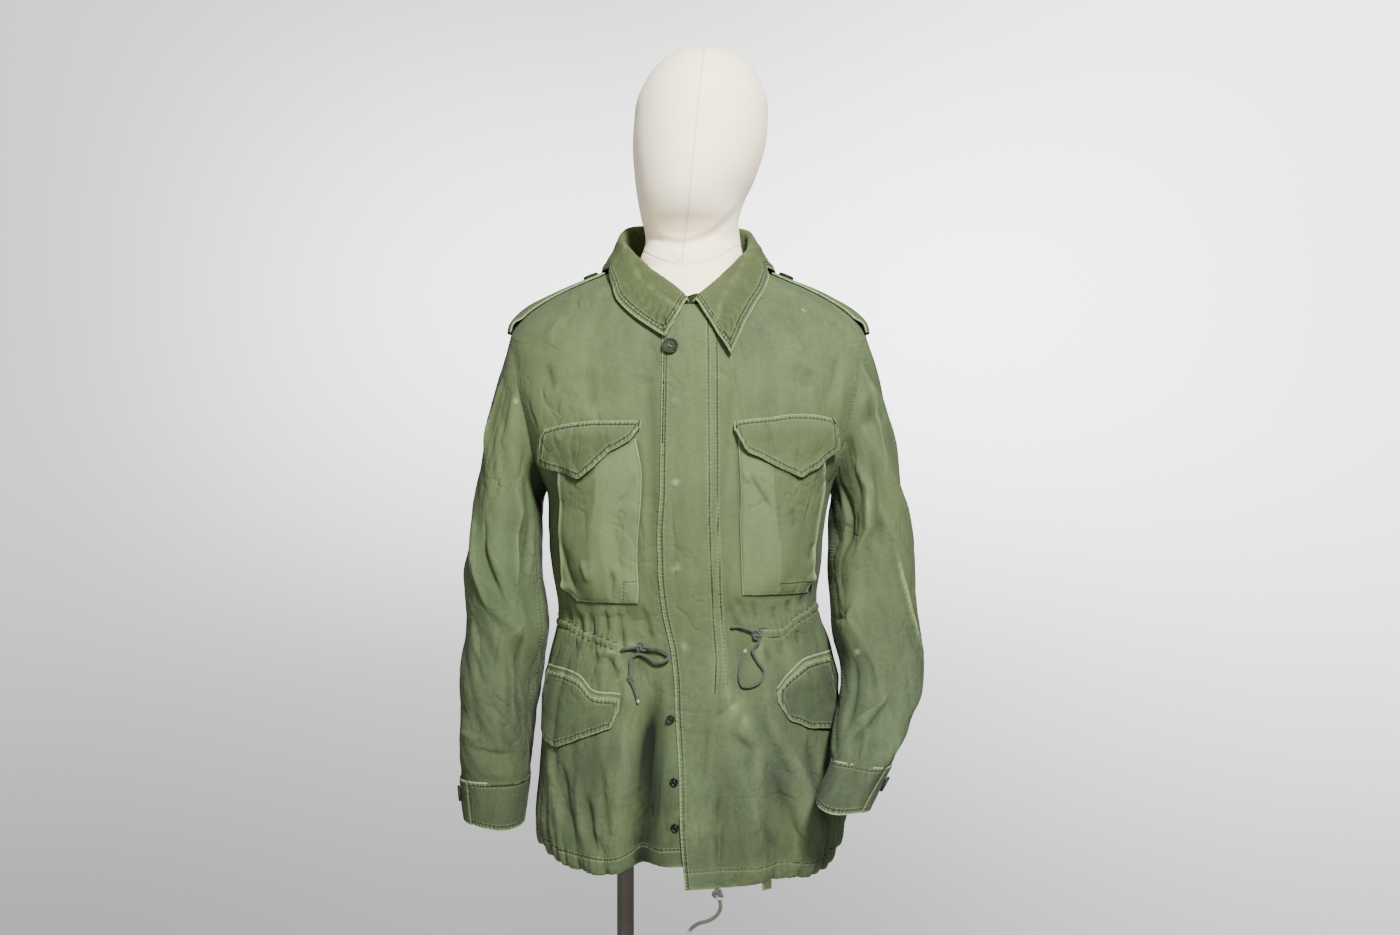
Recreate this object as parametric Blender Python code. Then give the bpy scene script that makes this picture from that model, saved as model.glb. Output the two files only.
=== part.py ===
"""A field jacket worn by a headed dress form on a pole stand.

Metres, +Z up. The front faces -Y and the wearer's left is +X. The origin is on the floor, in the
middle of the outline seen from above.

Every cloth piece is a thin wall. The body of the jacket is one closed surface of level rings,
cut into fronts and back at the side seams, the shoulder seams and the armholes. Whatever lies on
the body is made from the same surface, moved out.
"""

import math

import bmesh
import bpy
import numpy as np
from mathutils import Matrix, Vector

# ---------------------------------------------------------------- driving sizes
WALL = 0.0018  # cotton sateen with its seam allowance
GAP = 0.0003  # between sewn pieces
SEAM_GAP = 0.00034  # between panels that meet edge to edge
LIE = 0.0011  # under a piece that lies on a panel

ARMPIT_Z = 1.240
SHOULDER_Z = 1.425  # tip of the shoulder seam
ARMHOLE_FRONT = 0.070  # half depths of the armhole
ARMHOLE_BACK = 0.080
ARMHOLE_STEPS = 7
SLEEVE_TOP_Z = 1.200  # first level ring of the sleeve

FLY_LIFT = WALL + 2 * GAP
FLY_HEM_LIFT = 0.0022  # more, where the fly passes over the hem's double thickness
FLY_HEM_START_Z = 0.900  # where that begins, and where it is full
FLY_HEM_FULL_Z = 0.840
ZIP_X = 0.0215  # how far the wearer's right front runs under the fly, past the centre
FLY_SETTLE_X = 0.034  # where the left front is down on the form's line again
OVERLAP_COLUMNS = 4
FRONT_COLUMNS = 14  # beyond the overlap
FRONT_COLUMN_GROWTH = 0.35  # how much closer they stand at first
BACK_HALF_COLUMNS = 10
HEM_DEPTH = 0.024
HEM_PROUD = 0.0006  # the turned-up hem is thicker than one layer, on each face
WAIST_GATHER = 0.0020
HEM_GATHER = 0.0026
HEM_GATHER_FADE = 0.6  # how much weaker the hem's gathers are at the top of its band
GATHER_START = 0.034  # gathers begin this far from the centre front,
GATHER_FULL = 0.060  # and are full from here on
GATHER_RETURN = 0.7  # how deep the hollows are for the ridges' height
GATHER_FADE_COLUMNS = 3

BUTTON_RADIUS = 0.0095
BUTTON_THICKNESS = 0.0030
BUTTON_BEVEL = 0.0008
BUTTON_DISH = 0.0009
BUTTON_SEGMENTS = 16
NECK_BUTTON_X = -0.0205
NECK_BUTTON_Z = 1.4050
NECK_BUTTON_LIFT = 0.0010  # clears the round of the fly
SNAP_RADIUS = 0.0048
SNAP_HEIGHT = 0.0020
SNAP_BEVEL = 0.0007
SNAP_CLEARANCE = 0.0012  # from the free edge of the fly
WAIST_CORD_RADIUS = 0.0018
HEM_CORD_RADIUS = 0.0022

FORM_FOOT_Z = 0.868
FORM_COLUMNS = 22
POLE_X = -0.0775
POLE_RADIUS = 0.0105
FLANGE_RADIUS = 0.032
FLANGE_THICKNESS = 0.006
SOCKET_RADIUS = 0.019
SOCKET_HEIGHT = 0.035
SOCKET_BEVEL = 0.003
BASE_RADIUS = 0.190
BASE_THICKNESS = 0.010
BASE_BEVEL = 0.002

MATERIALS = {  # colour, roughness, metallic
    "sateen": ((0.165, 0.215, 0.110), 0.90, 0.0),
    "cord": ((0.150, 0.180, 0.130), 0.85, 0.0),
    "button": ((0.080, 0.065, 0.050), 0.40, 0.0),
    "snap_metal": ((0.060, 0.045, 0.040), 0.45, 0.8),
    "form_cloth": ((0.800, 0.730, 0.620), 0.80, 0.0),
    "steel": ((0.330, 0.310, 0.300), 0.35, 0.9),
}


# ---------------------------------------------------------------- tables
class Table:
    """Rows of sizes at rising stations, read between rows along a smooth curve."""

    def __init__(self, columns, *rows):
        rows = np.array(sorted(rows), float)
        self.stations = rows[:, 0]
        self.values = dict(zip(columns[1:], rows[:, 1:].T))

    def __call__(self, column, at):
        x, y = self.stations, self.values[column]
        at = np.clip(np.asarray(at, float), x[0], x[-1])
        slope = np.diff(y) / np.diff(x)
        tangent = np.concatenate([slope[:1], (slope[1:] + slope[:-1]) / 2, slope[-1:]])
        flat = np.concatenate([[False], slope[1:] * slope[:-1] <= 0, [False]])
        tangent[flat] = 0.0
        i = np.clip(np.searchsorted(x, at, side="right") - 1, 0, len(x) - 2)
        step = x[i + 1] - x[i]
        t = (at - x[i]) / step
        return (
            (2 * t**3 - 3 * t**2 + 1) * y[i]
            + (t**3 - 2 * t**2 + t) * step * tangent[i]
            + (3 * t**2 - 2 * t**3) * y[i + 1]
            + (t**3 - t**2) * step * tangent[i + 1]
        )


def smooth(edge0, edge1, at):
    """0 at edge0, 1 at edge1, with soft ends."""
    t = np.clip((np.asarray(at, float) - edge0) / (edge1 - edge0), 0.0, 1.0)
    return t * t * (3 - 2 * t)


# The body's level rings. square 0 is an ellipse, more is boxier.
BODY = Table(
    ("z", "middle", "half_width", "front", "back", "square"),
    (0.740, 0.002, 0.172, 0.134, 0.128, 0.030),
    (0.780, 0.003, 0.178, 0.137, 0.130, 0.030),
    (0.815, 0.003, 0.184, 0.140, 0.132, 0.030),
    (0.850, 0.003, 0.190, 0.142, 0.133, 0.030),
    (0.900, 0.004, 0.188, 0.141, 0.130, 0.030),
    (0.950, 0.003, 0.184, 0.137, 0.124, 0.028),
    (0.985, 0.002, 0.181, 0.133, 0.119, 0.026),
    (1.020, 0.003, 0.176, 0.127, 0.113, 0.024),
    (1.050, 0.003, 0.169, 0.122, 0.108, 0.022),
    (1.078, 0.001, 0.160, 0.120, 0.107, 0.022),
    (1.100, -0.001, 0.157, 0.122, 0.109, 0.024),
    (1.140, -0.003, 0.163, 0.128, 0.116, 0.028),
    (1.185, -0.003, 0.168, 0.132, 0.123, 0.032),
    (1.240, 0.000, 0.175, 0.133, 0.129, 0.040),
    (1.280, 0.000, 0.193, 0.130, 0.131, 0.055),
    (1.330, 0.000, 0.209, 0.126, 0.130, 0.060),
    (1.380, 0.000, 0.219, 0.119, 0.126, 0.048),
    (1.425, 0.000, 0.2185, 0.107, 0.118, 0.018),
    (1.450, 0.000, 0.200, 0.098, 0.110, 0.005),
    (1.466, 0.000, 0.178, 0.090, 0.104, 0.000),
    (1.480, 0.000, 0.152, 0.082, 0.097, 0.000),
    (1.492, 0.000, 0.124, 0.073, 0.089, 0.000),
    (1.502, 0.000, 0.100, 0.066, 0.081, 0.000),
    (1.511, 0.000, 0.083, 0.060, 0.075, 0.000),
    (1.530, 0.002, 0.074, 0.055, 0.070, 0.000),
)

# Height of the neck seam round one side: 0 centre front, 1 shoulder, 2 centre back.
NECKLINE = Table(
    ("around", "z"),
    (0.00, 1.455),
    (0.15, 1.460),
    (0.30, 1.471),
    (0.50, 1.488),
    (0.70, 1.501),
    (1.00, 1.511),
    (1.50, 1.520),
    (2.00, 1.523),
)

# Free edge of the fly, from the centre. It swings over as the skirt flares.
FLY_EDGE = Table(
    ("z", "x"),
    (0.760, -0.003),
    (0.805, -0.008),
    (0.860, -0.012),
    (0.940, -0.0145),
    (1.000, -0.017),
    (1.042, -0.021),
    (1.100, -0.0285),
    (1.440, -0.0300),
)

# Height of the hem's foot round each side: 0 centre front, 1 side seam, 2 centre back.
HEM = {
    +1: Table(
        ("around", "z"),
        (-0.20, 0.780),
        (0.15, 0.784),
        (0.35, 0.788),
        (0.50, 0.786),
        (0.65, 0.793),
        (0.80, 0.808),
        (1.00, 0.824),
        (2.00, 0.814),
    ),
    -1: Table(
        ("around", "z"),
        (-0.20, 0.806),
        (0.15, 0.808),
        (0.24, 0.799),
        (0.32, 0.794),
        (0.50, 0.796),
        (0.65, 0.801),
        (0.80, 0.812),
        (1.00, 0.824),
        (2.00, 0.814),
    ),
}

# The largest folds, as a line on the body seen from the front or the back, and how far it is
# pushed out or in.
FOLD_COLUMNS = ("x0", "z0", "x1", "z1", "half_width", "depth")
FRONT_FOLDS = (
    (-0.043, 1.000, -0.046, 0.780, 0.017, -0.019),  # deep pleat beside the fly
    (-0.020, 0.940, -0.026, 0.790, 0.012, 0.004),
    (-0.088, 0.920, -0.070, 0.790, 0.016, 0.006),
    (0.030, 0.975, 0.020, 0.800, 0.022, -0.005),
    (0.078, 0.945, 0.072, 0.790, 0.016, 0.006),
    (0.105, 0.925, 0.112, 0.790, 0.014, -0.006),
    (0.135, 0.925, 0.142, 0.800, 0.014, 0.005),
    (-0.068, 1.100, -0.052, 1.030, 0.012, -0.004),  # drawn in at the waist cord
    (-0.122, 1.100, -0.112, 1.040, 0.014, -0.004),
    (0.050, 1.120, 0.066, 1.040, 0.014, -0.005),
    (0.030, 1.060, 0.042, 0.960, 0.018, 0.004),
    (-0.036, 1.420, -0.034, 1.240, 0.014, -0.003),  # soft drape over the chest
    (0.110, 1.420, 0.085, 1.340, 0.022, 0.003),
    (-0.110, 1.420, -0.095, 1.340, 0.022, -0.003),
)
BACK_FOLDS = (
    (-0.100, 1.380, -0.055, 1.230, 0.022, 0.005),
    (0.110, 1.370, 0.065, 1.220, 0.022, 0.005),
    (-0.040, 1.140, -0.030, 1.050, 0.018, -0.005),
    (0.055, 1.150, 0.040, 1.050, 0.018, -0.005),
    (-0.105, 1.140, -0.090, 1.050, 0.018, 0.005),
    (-0.060, 0.990, -0.074, 0.810, 0.020, 0.007),
    (0.012, 1.000, 0.004, 0.810, 0.018, -0.007),
    (0.085, 0.980, 0.097, 0.810, 0.020, 0.007),
)


def fold_height(x, z, folds):
    """How far the folds push the cloth out at a place seen from the front or back."""
    height = np.zeros(np.broadcast(x, z).shape)
    for row in folds:
        fold = dict(zip(FOLD_COLUMNS, row))
        along = np.array([fold["x1"] - fold["x0"], fold["z1"] - fold["z0"]])
        length = np.hypot(*along)
        share = ((x - fold["x0"]) * along[0] + (z - fold["z0"]) * along[1]) / length**2
        aside = ((x - fold["x0"]) * along[1] - (z - fold["z0"]) * along[0]) / length
        ends = smooth(-0.15, 0.25, share) * smooth(1.20, 0.80, share)
        height = height + fold["depth"] * ends * np.exp(-((aside / fold["half_width"]) ** 2))
    return height


# ---------------------------------------------------------------- the body's surface
def ring(turn, z):
    """A point of the plain body: turn is 0 at centre front, 0.25 at the left side, 0.5 behind."""
    angle = 2 * np.pi * np.asarray(turn, float)
    square = BODY("square", z)
    aside = (np.sin(angle) + square * np.sin(3 * angle)) / (1 - square)
    ahead = (np.cos(angle) - square * np.cos(3 * angle)) / (1 - square)
    x = BODY("middle", z) + BODY("half_width", z) * aside
    depth = np.where(ahead > 0, BODY("front", z), BODY("back", z))
    return np.stack(np.broadcast_arrays(x, -depth * ahead, z), axis=-1)


def unit(v):
    return v / np.maximum(np.linalg.norm(v, axis=-1, keepdims=True), 1e-12)


def body_normal(turn, z):
    small = 1e-4
    around = ring(turn + small, z) - ring(turn - small, z)
    upward = ring(turn, z + small) - ring(turn, z - small)
    return unit(np.cross(around, upward))


def body(turn, z, out=0.0):
    """A point of the draped body, moved out along the plain body's normal."""
    turn, z = np.broadcast_arrays(np.asarray(turn, float), np.asarray(z, float))
    point = ring(turn, z)
    folds = np.where(
        point[..., 1] < 0,
        fold_height(point[..., 0], z, FRONT_FOLDS),
        fold_height(point[..., 0], z, BACK_FOLDS),
    )
    away_from_side = smooth(0.0, 0.035, np.abs(point[..., 1]))
    push = folds * away_from_side + out
    return point + body_normal(turn, z) * push[..., None]


FRONT_TURNS = np.linspace(-0.06, 0.25, 94)


def turn_at_x(x, z):
    """The turn on the front that is this far to the side of the centre."""
    x, z = np.broadcast_arrays(np.asarray(x, float), np.asarray(z, float))
    found = [
        np.interp(aside, ring(FRONT_TURNS, h)[:, 0] - ring(0.0, h)[0], FRONT_TURNS)
        for aside, h in zip(x.ravel(), z.ravel())
    ]
    return np.array(found).reshape(x.shape)


def armhole_turn(z, facing):
    """Turn of the armhole's edge at a height, on its front (-1) or its back (+1)."""
    middle, half = (SHOULDER_Z + ARMPIT_Z) / 2, (SHOULDER_Z - ARMPIT_Z) / 2
    depth = ARMHOLE_FRONT if facing < 0 else ARMHOLE_BACK
    reach = depth * np.sqrt(max(1 - ((z - middle) / half) ** 2, 0.0))
    turns = np.linspace(0.25, 0.25 + facing * 0.20, 61)
    return float(np.interp(reach, np.abs(ring(turns, z)[:, 1]), turns))


def outer_turn(z, facing):
    """Turn of a panel's outer edge: side seam, armhole, then shoulder seam."""
    seam_half = SEAM_GAP / 2 / (2 * np.pi * float(BODY("front" if facing < 0 else "back", z)))
    in_armhole = ARMPIT_Z < z < SHOULDER_Z
    return (armhole_turn(z, facing) if in_armhole else 0.25) + facing * seam_half


# ---------------------------------------------------------------- making solids
JACKET = bpy.data.collections.new("field_jacket_on_dress_form")


def clear_scene():
    for item in list(bpy.data.objects):
        bpy.data.objects.remove(item)
    bpy.context.scene.collection.children.link(JACKET)


def material_named(name):
    found = bpy.data.materials.get(name)
    if found:
        return found
    colour, roughness, metallic = MATERIALS[name]
    made = bpy.data.materials.new(name)
    made.use_nodes = True
    shader = made.node_tree.nodes["Principled BSDF"]
    shader.inputs["Base Color"].default_value = (*colour, 1.0)
    shader.inputs["Roughness"].default_value = roughness
    shader.inputs["Metallic"].default_value = metallic
    made.diffuse_color = (*colour, 1.0)
    return made


def add_object(name, data, material):
    made = bpy.data.objects.new(name, data)
    data.materials.append(material_named(material))
    JACKET.objects.link(made)
    return made


def add_bmesh(name, shape, material, sharp_degrees=50):
    mesh = bpy.data.meshes.new(name)
    shape.to_mesh(mesh)
    shape.free()
    mesh.shade_smooth()
    mesh.set_sharp_from_angle(angle=math.radians(sharp_degrees))
    return add_object(name, mesh, material)


def strip(shape, lower, upper):
    """Faces between two rows of vertices, where one row may have twice the columns."""
    if len(lower) == len(upper):
        for a, b, c, d in zip(lower, lower[1:], upper[1:], upper):
            shape.faces.new((a, b, c, d))
        return
    coarse, fine = sorted((lower, upper), key=len)
    for i in range(len(coarse) - 1):
        left, middle, right = fine[2 * i : 2 * i + 3]
        shape.faces.new((coarse[i], left, middle))
        shape.faces.new((coarse[i], middle, coarse[i + 1]))
        shape.faces.new((coarse[i + 1], middle, right))


def wall(name, outer_rows, inner_rows, material="sateen", tube=False):
    """A closed wall between two surfaces given as rows of points. A tube's rows join up."""
    shape = bmesh.new()
    sides = []
    for rows in (outer_rows, inner_rows):
        made = []
        for row in rows:
            verts = [shape.verts.new(point) for point in row]
            made.append(verts + verts[:1] if tube else verts)
        for lower, upper in zip(made, made[1:]):
            strip(shape, lower, upper)
        sides.append(made)
    outer, inner = sides
    for end in (0, -1):
        strip(shape, outer[end], inner[end])
    if not tube:
        for end in (0, -1):
            strip(shape, [row[end] for row in outer], [row[end] for row in inner])
    bmesh.ops.recalc_face_normals(shape, faces=shape.faces)
    return add_bmesh(name, shape, material)


def closed_loft(name, rows, material):
    """A solid through rings, closed by a flat face at each end."""
    shape = bmesh.new()
    made = [[shape.verts.new(point) for point in row] for row in rows]
    for lower, upper in zip(made, made[1:]):
        strip(shape, lower + lower[:1], upper + upper[:1])
    for end in (0, -1):
        shape.faces.new(made[end])
    bmesh.ops.recalc_face_normals(shape, faces=shape.faces)
    return add_bmesh(name, shape, material, sharp_degrees=60)


def cylinder(name, radius, height, foot, material, axis=(0, 0, 1), segments=32, top_bevel=0.0, dish=0.0):
    """A cylinder from its foot along an axis, its top rim rounded or its top face dished."""
    shape = bmesh.new()
    bmesh.ops.create_cone(
        shape, cap_ends=True, segments=segments, radius1=radius, radius2=radius, depth=height
    )
    bmesh.ops.translate(shape, verts=shape.verts, vec=(0, 0, height / 2))
    if top_bevel:
        rim = [edge for edge in shape.edges if min(vert.co.z for vert in edge.verts) > height / 2]
        bmesh.ops.bevel(shape, geom=rim, offset=top_bevel, segments=1, affect="EDGES")
    if dish:
        top = max(shape.faces, key=lambda face: face.calc_center_median().z)
        bmesh.ops.inset_individual(shape, faces=[top], thickness=radius * 0.28, depth=0.0)
        bmesh.ops.translate(shape, verts=top.verts, vec=(0, 0, -dish))
    turn = Vector((0, 0, 1)).rotation_difference(Vector(axis)).to_matrix().to_4x4()
    shape.transform(Matrix.Translation(Vector(foot)) @ turn)
    return add_bmesh(name, shape, material, sharp_degrees=40)


# ---------------------------------------------------------------- body panels
LOW_LEVELS = (0.870, 0.925, 0.975, 1.018, 1.047)
WAIST_LEVELS = (1.060, 1.072, 1.084)  # the drawn-in channel of the waist cord
CHEST_LEVELS = (1.102, 1.142, 1.182, 1.214)
SHOULDER_LEVELS = (1.444, 1.463, 1.481, 1.497)
HEM_SHARES = (0.0, 1.0)  # rows of the hem band, foot to top
HEM_LEVEL_Z = 0.840  # where the side seam's turn is read for them
NECK_SLOPE_DROP = 0.110  # the rows turn from level to the neckline's slope from this far under the shoulder


def panel_levels():
    """Names the rows of a panel: hem shares first, then heights on the outer edge."""
    steps = np.pi * (1 - np.arange(ARMHOLE_STEPS + 1) / ARMHOLE_STEPS)
    middle, half = (SHOULDER_Z + ARMPIT_Z) / 2, (SHOULDER_Z - ARMPIT_Z) / 2
    armhole = middle + half * np.cos(steps)
    neck = float(NECKLINE("z", 1.0))
    rows = [("hem", share) for share in HEM_SHARES]
    rows += [("height", z) for z in (*LOW_LEVELS, *WAIST_LEVELS, *CHEST_LEVELS, *armhole)]
    return rows + [("height", z) for z in (*SHOULDER_LEVELS, neck)]


def halved(stops):
    """The same columns with one more in the middle of each."""
    middles = (stops[1:] + stops[:-1]) / 2
    return np.insert(stops, np.arange(1, len(stops)), middles)


def front_stops(left):
    """Gives the columns of a front at a height: the same ones where the two fronts overlap."""

    def stops(z, outer):
        edges = (float(FLY_EDGE("x", z)), ZIP_X) if left else (-ZIP_X, -float(FLY_EDGE("x", z)))
        overlap = np.linspace(*edges, OVERLAP_COLUMNS + 1)
        if left:
            overlap = np.append(overlap, FLY_SETTLE_X)
        turns = turn_at_x(overlap, z)
        count = FRONT_COLUMNS - (1 if left else 0)
        share = np.arange(1, count + 1) / count
        grown = share * (1 - FRONT_COLUMN_GROWTH + FRONT_COLUMN_GROWTH * share)
        return np.concatenate([turns, turns[-1] + (outer - turns[-1]) * grown])

    return stops


def back_stops(_, outer):
    return 0.5 + (outer - 0.5) * np.arange(BACK_HALF_COLUMNS + 1) / BACK_HALF_COLUMNS


def panel_row(row, side, facing, stops):
    """Turns and heights of one row of a panel, from its inner edge to its outer edge."""
    kind, level = row
    fine = kind == "hem" or level in WAIST_LEVELS
    level_z = HEM_LEVEL_Z if kind == "hem" else float(level)
    outer = outer_turn(level_z, facing)
    inner_z = level_z
    for _ in range(3):  # the columns depend on the height at the inner edge, and it on them
        turn = stops(inner_z, outer)
        around = turn * 4
        if kind == "hem":
            z = HEM[side]("z", around) + HEM_DEPTH * level
        else:
            high = smooth(SHOULDER_Z - NECK_SLOPE_DROP, float(NECKLINE("z", 1.0)), level)
            z = level + high * (NECKLINE("z", np.abs(around)) - NECKLINE("z", abs(outer) * 4))
        inner_z = float(z[0])
    return (halved(turn), halved(z)) if fine else (turn, z)


def waves(count, height):
    """Alternate columns out and in, fading towards both ends."""
    at = np.arange(count)
    fade = np.clip(np.minimum(at, count - 1 - at) / GATHER_FADE_COLUMNS, 0.0, 1.0)
    return height * fade * np.where(at % 2 == 1, 1.0, -GATHER_RETURN)


def fly_lift(turn, z):
    x = ring(turn, z)[..., 0] - ring(0.0, z)[..., 0]
    lift = FLY_LIFT + FLY_HEM_LIFT * smooth(FLY_HEM_START_Z, FLY_HEM_FULL_Z, z)
    return lift * smooth(FLY_SETTLE_X, ZIP_X, x)


def panel_faces(side, facing, stops, lifted):
    """Outer and inner rows of one body panel."""
    outer_rows, inner_rows = [], []
    for row in panel_levels():
        turn, z = panel_row(row, side, facing, stops)
        kind, level = row
        from_centre = np.abs(ring(turn, z)[:, 0])
        calm = smooth(GATHER_START, GATHER_FULL, from_centre) if facing < 0 else 1.0
        out = fly_lift(turn, z) if lifted else np.zeros(len(turn))
        proud = 0.0
        if kind == "hem":
            out = out + waves(len(turn), HEM_GATHER) * calm * (1.0 - HEM_GATHER_FADE * level)
            proud = HEM_PROUD
        elif level in WAIST_LEVELS:
            out = out + waves(len(turn), WAIST_GATHER) * calm
        outer_rows.append(body(side * turn, z, out + proud))
        inner_rows.append(body(side * turn, z, out - WALL - proud))
    return outer_rows, inner_rows


def front(name, side):
    left = side > 0
    return wall(name, *panel_faces(side, -1, front_stops(left), lifted=left))


def back(name):
    """The back is one piece from side seam to side seam."""
    faces = []
    halves = [panel_faces(side, +1, back_stops, lifted=False) for side in (+1, -1)]
    for left_rows, right_rows in zip(*halves):
        faces.append([np.concatenate([a[::-1], b[1:]]) for a, b in zip(left_rows, right_rows)])
    return wall(name, *faces)


# ---------------------------------------------------------------- sleeves and cuffs
SLEEVE_COLUMNS = ("z", "x", "y", "half_width", "half_depth", "lean")
SLEEVES = {  # lean is the rise of the ring's outer edge, for each metre to the side
    -1: Table(
        SLEEVE_COLUMNS,
        (0.770, 0.227, -0.004, 0.0300, 0.049, 0.00),
        (0.797, 0.229, -0.004, 0.0310, 0.050, 0.00),
        (0.831, 0.235, -0.004, 0.0344, 0.053, 0.00),
        (0.862, 0.2362, -0.004, 0.0385, 0.057, 0.05),
        (0.905, 0.2362, -0.004, 0.0430, 0.063, 0.00),
        (0.954, 0.2335, -0.004, 0.0455, 0.068, 0.00),
        (1.028, 0.2285, -0.004, 0.0515, 0.073, 0.00),
        (1.077, 0.2225, -0.004, 0.0510, 0.076, 0.00),
        (1.1385, 0.2255, -0.004, 0.0455, 0.080, 0.00),
        (1.200, 0.2210, -0.002, 0.0420, 0.083, 0.00),
        (1.300, 0.2050, 0.000, 0.0400, 0.083, 0.00),
    ),
    +1: Table(
        SLEEVE_COLUMNS,
        (0.8525, 0.1650, -0.156, 0.0270, 0.044, -0.25),
        (0.8816, 0.1735, -0.148, 0.0280, 0.046, -0.20),
        (0.9238, 0.1965, -0.124, 0.0345, 0.051, -0.10),
        (0.9470, 0.2080, -0.102, 0.0418, 0.055, 0.00),
        (0.9730, 0.2175, -0.080, 0.0452, 0.060, 0.00),
        (0.9917, 0.2245, -0.063, 0.0475, 0.064, 0.00),
        (1.0316, 0.2290, -0.042, 0.0498, 0.069, 0.00),
        (1.0787, 0.2240, -0.026, 0.0535, 0.074, 0.00),
        (1.1385, 0.2235, -0.014, 0.0535, 0.079, 0.00),
        (1.2000, 0.2215, -0.006, 0.0485, 0.083, 0.00),
        (1.3000, 0.2050, 0.000, 0.0400, 0.083, 0.00),
    ),
}
CUFF_TOP_Z = {-1: 0.890, +1: 0.929}
CUFF_FOOT_Z = {-1: 0.834, +1: 0.881}
SLEEVE_FOLDS = {  # on the sleeve's outer side: place round (turns), height, then where it runs to
    -1: (
        (0.30, 1.210, 0.40, 1.080, 0.020, -0.006),
        (0.22, 1.180, 0.33, 1.050, 0.020, 0.005),
        (0.12, 1.150, 0.20, 1.020, 0.024, -0.005),
        (0.30, 1.060, 0.42, 1.000, 0.018, -0.006),
        (0.10, 0.960, 0.20, 0.900, 0.024, 0.004),
        (0.70, 1.180, 0.60, 1.060, 0.030, -0.005),
        (0.80, 1.020, 0.70, 0.940, 0.030, 0.005),
    ),
    +1: (
        (0.20, 1.230, 0.34, 1.120, 0.020, -0.006),
        (0.30, 1.180, 0.36, 1.060, 0.018, 0.006),
        (0.12, 1.060, 0.06, 0.980, 0.022, 0.005),
        (0.30, 1.050, 0.22, 0.980, 0.022, -0.005),
        (0.18, 0.990, 0.34, 0.925, 0.018, -0.006),
        (0.10, 0.965, 0.24, 0.915, 0.016, 0.005),
        (0.70, 1.180, 0.62, 1.060, 0.030, -0.005),
        (0.56, 1.040, 0.60, 0.900, 0.035, -0.009),  # lies against the hip
        (0.82, 1.020, 0.70, 0.940, 0.030, 0.005),
    ),
}
SLEEVE_GIRTH = 0.39  # metres to one turn of the sleeve, for placing folds
SLEEVE_HEAD_SLOPE = 0.26
SLEEVE_HEAD_FLARE = 0.45  # how far the cloth leaves the armhole outwards under the arm,
SLEEVE_HEAD_FLARE_TOP = 0.10  # and at the shoulder's tip
SLEEVE_TANGENT_STEP = 0.01
SLEEVE_HEAD_ROWS = (0.0, 0.12, 0.30, 0.50, 0.70, 0.85)
SLEEVE_ROWS = 14
SLEEVE_SQUARE = 0.03
CUFF_COLUMNS = 22
CUFF_SHARES = (0.0, 0.45, 1.0)  # rows of the cuff, from its top to its foot
CUFF_START = 0.10  # where the cuff's band begins, in turns
CUFF_LAP = 0.05
CUFF_SAG = 0.004
CUFF_FLARE = 0.0016
CUFF_PROUD = 0.0004
CUFF_BUTTON_PLACE = 1.07
CUFF_BUTTON_SHARE = 0.40
CUFF_BUTTON_LIFT = 0.0003  # clears the round of the wrist


def sleeve_ring(side, place, z, out=0.0):
    """A point of the hanging sleeve: place is 0 outside, 0.25 in front, 0.5 inside, 0.75 behind."""
    table = SLEEVES[side]
    place, z = np.broadcast_arrays(np.asarray(place, float), np.asarray(z, float))
    angle = 2 * np.pi * place
    pushes = np.zeros(place.shape)
    for x0, z0, x1, z1, half_width, depth in SLEEVE_FOLDS[side]:
        row = (x0 * SLEEVE_GIRTH, z0, x1 * SLEEVE_GIRTH, z1, half_width, depth)
        pushes = pushes + fold_height((place % 1.0) * SLEEVE_GIRTH, z, (row,))
    square = SLEEVE_SQUARE
    across = (np.cos(angle) - square * np.cos(3 * angle)) / (1 - square)
    ahead = (np.sin(angle) + square * np.sin(3 * angle)) / (1 - square)
    width, depth = table("half_width", z), table("half_depth", z)
    normal = unit(np.stack([across / width, ahead / depth], axis=-1))
    reach = out + pushes
    aside = across * width + normal[..., 0] * reach
    x = side * (table("x", z) + aside)
    y = table("y", z) - ahead * depth - normal[..., 1] * reach
    return np.stack(np.broadcast_arrays(x, y, z + table("lean", z) * aside), axis=-1)


def armhole_loop(side):
    """The armhole's edge, from the shoulder tip forward and round, and the way out from it."""
    steps = np.arange(2 * ARMHOLE_STEPS) * np.pi / ARMHOLE_STEPS
    z = (SHOULDER_Z + ARMPIT_Z) / 2 + (SHOULDER_Z - ARMPIT_Z) / 2 * np.cos(steps)
    turn = np.array([outer_turn(h, -1 if i <= ARMHOLE_STEPS else +1) for i, h in enumerate(z)])
    return body(side * turn, z), body_normal(side * turn, z)


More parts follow.
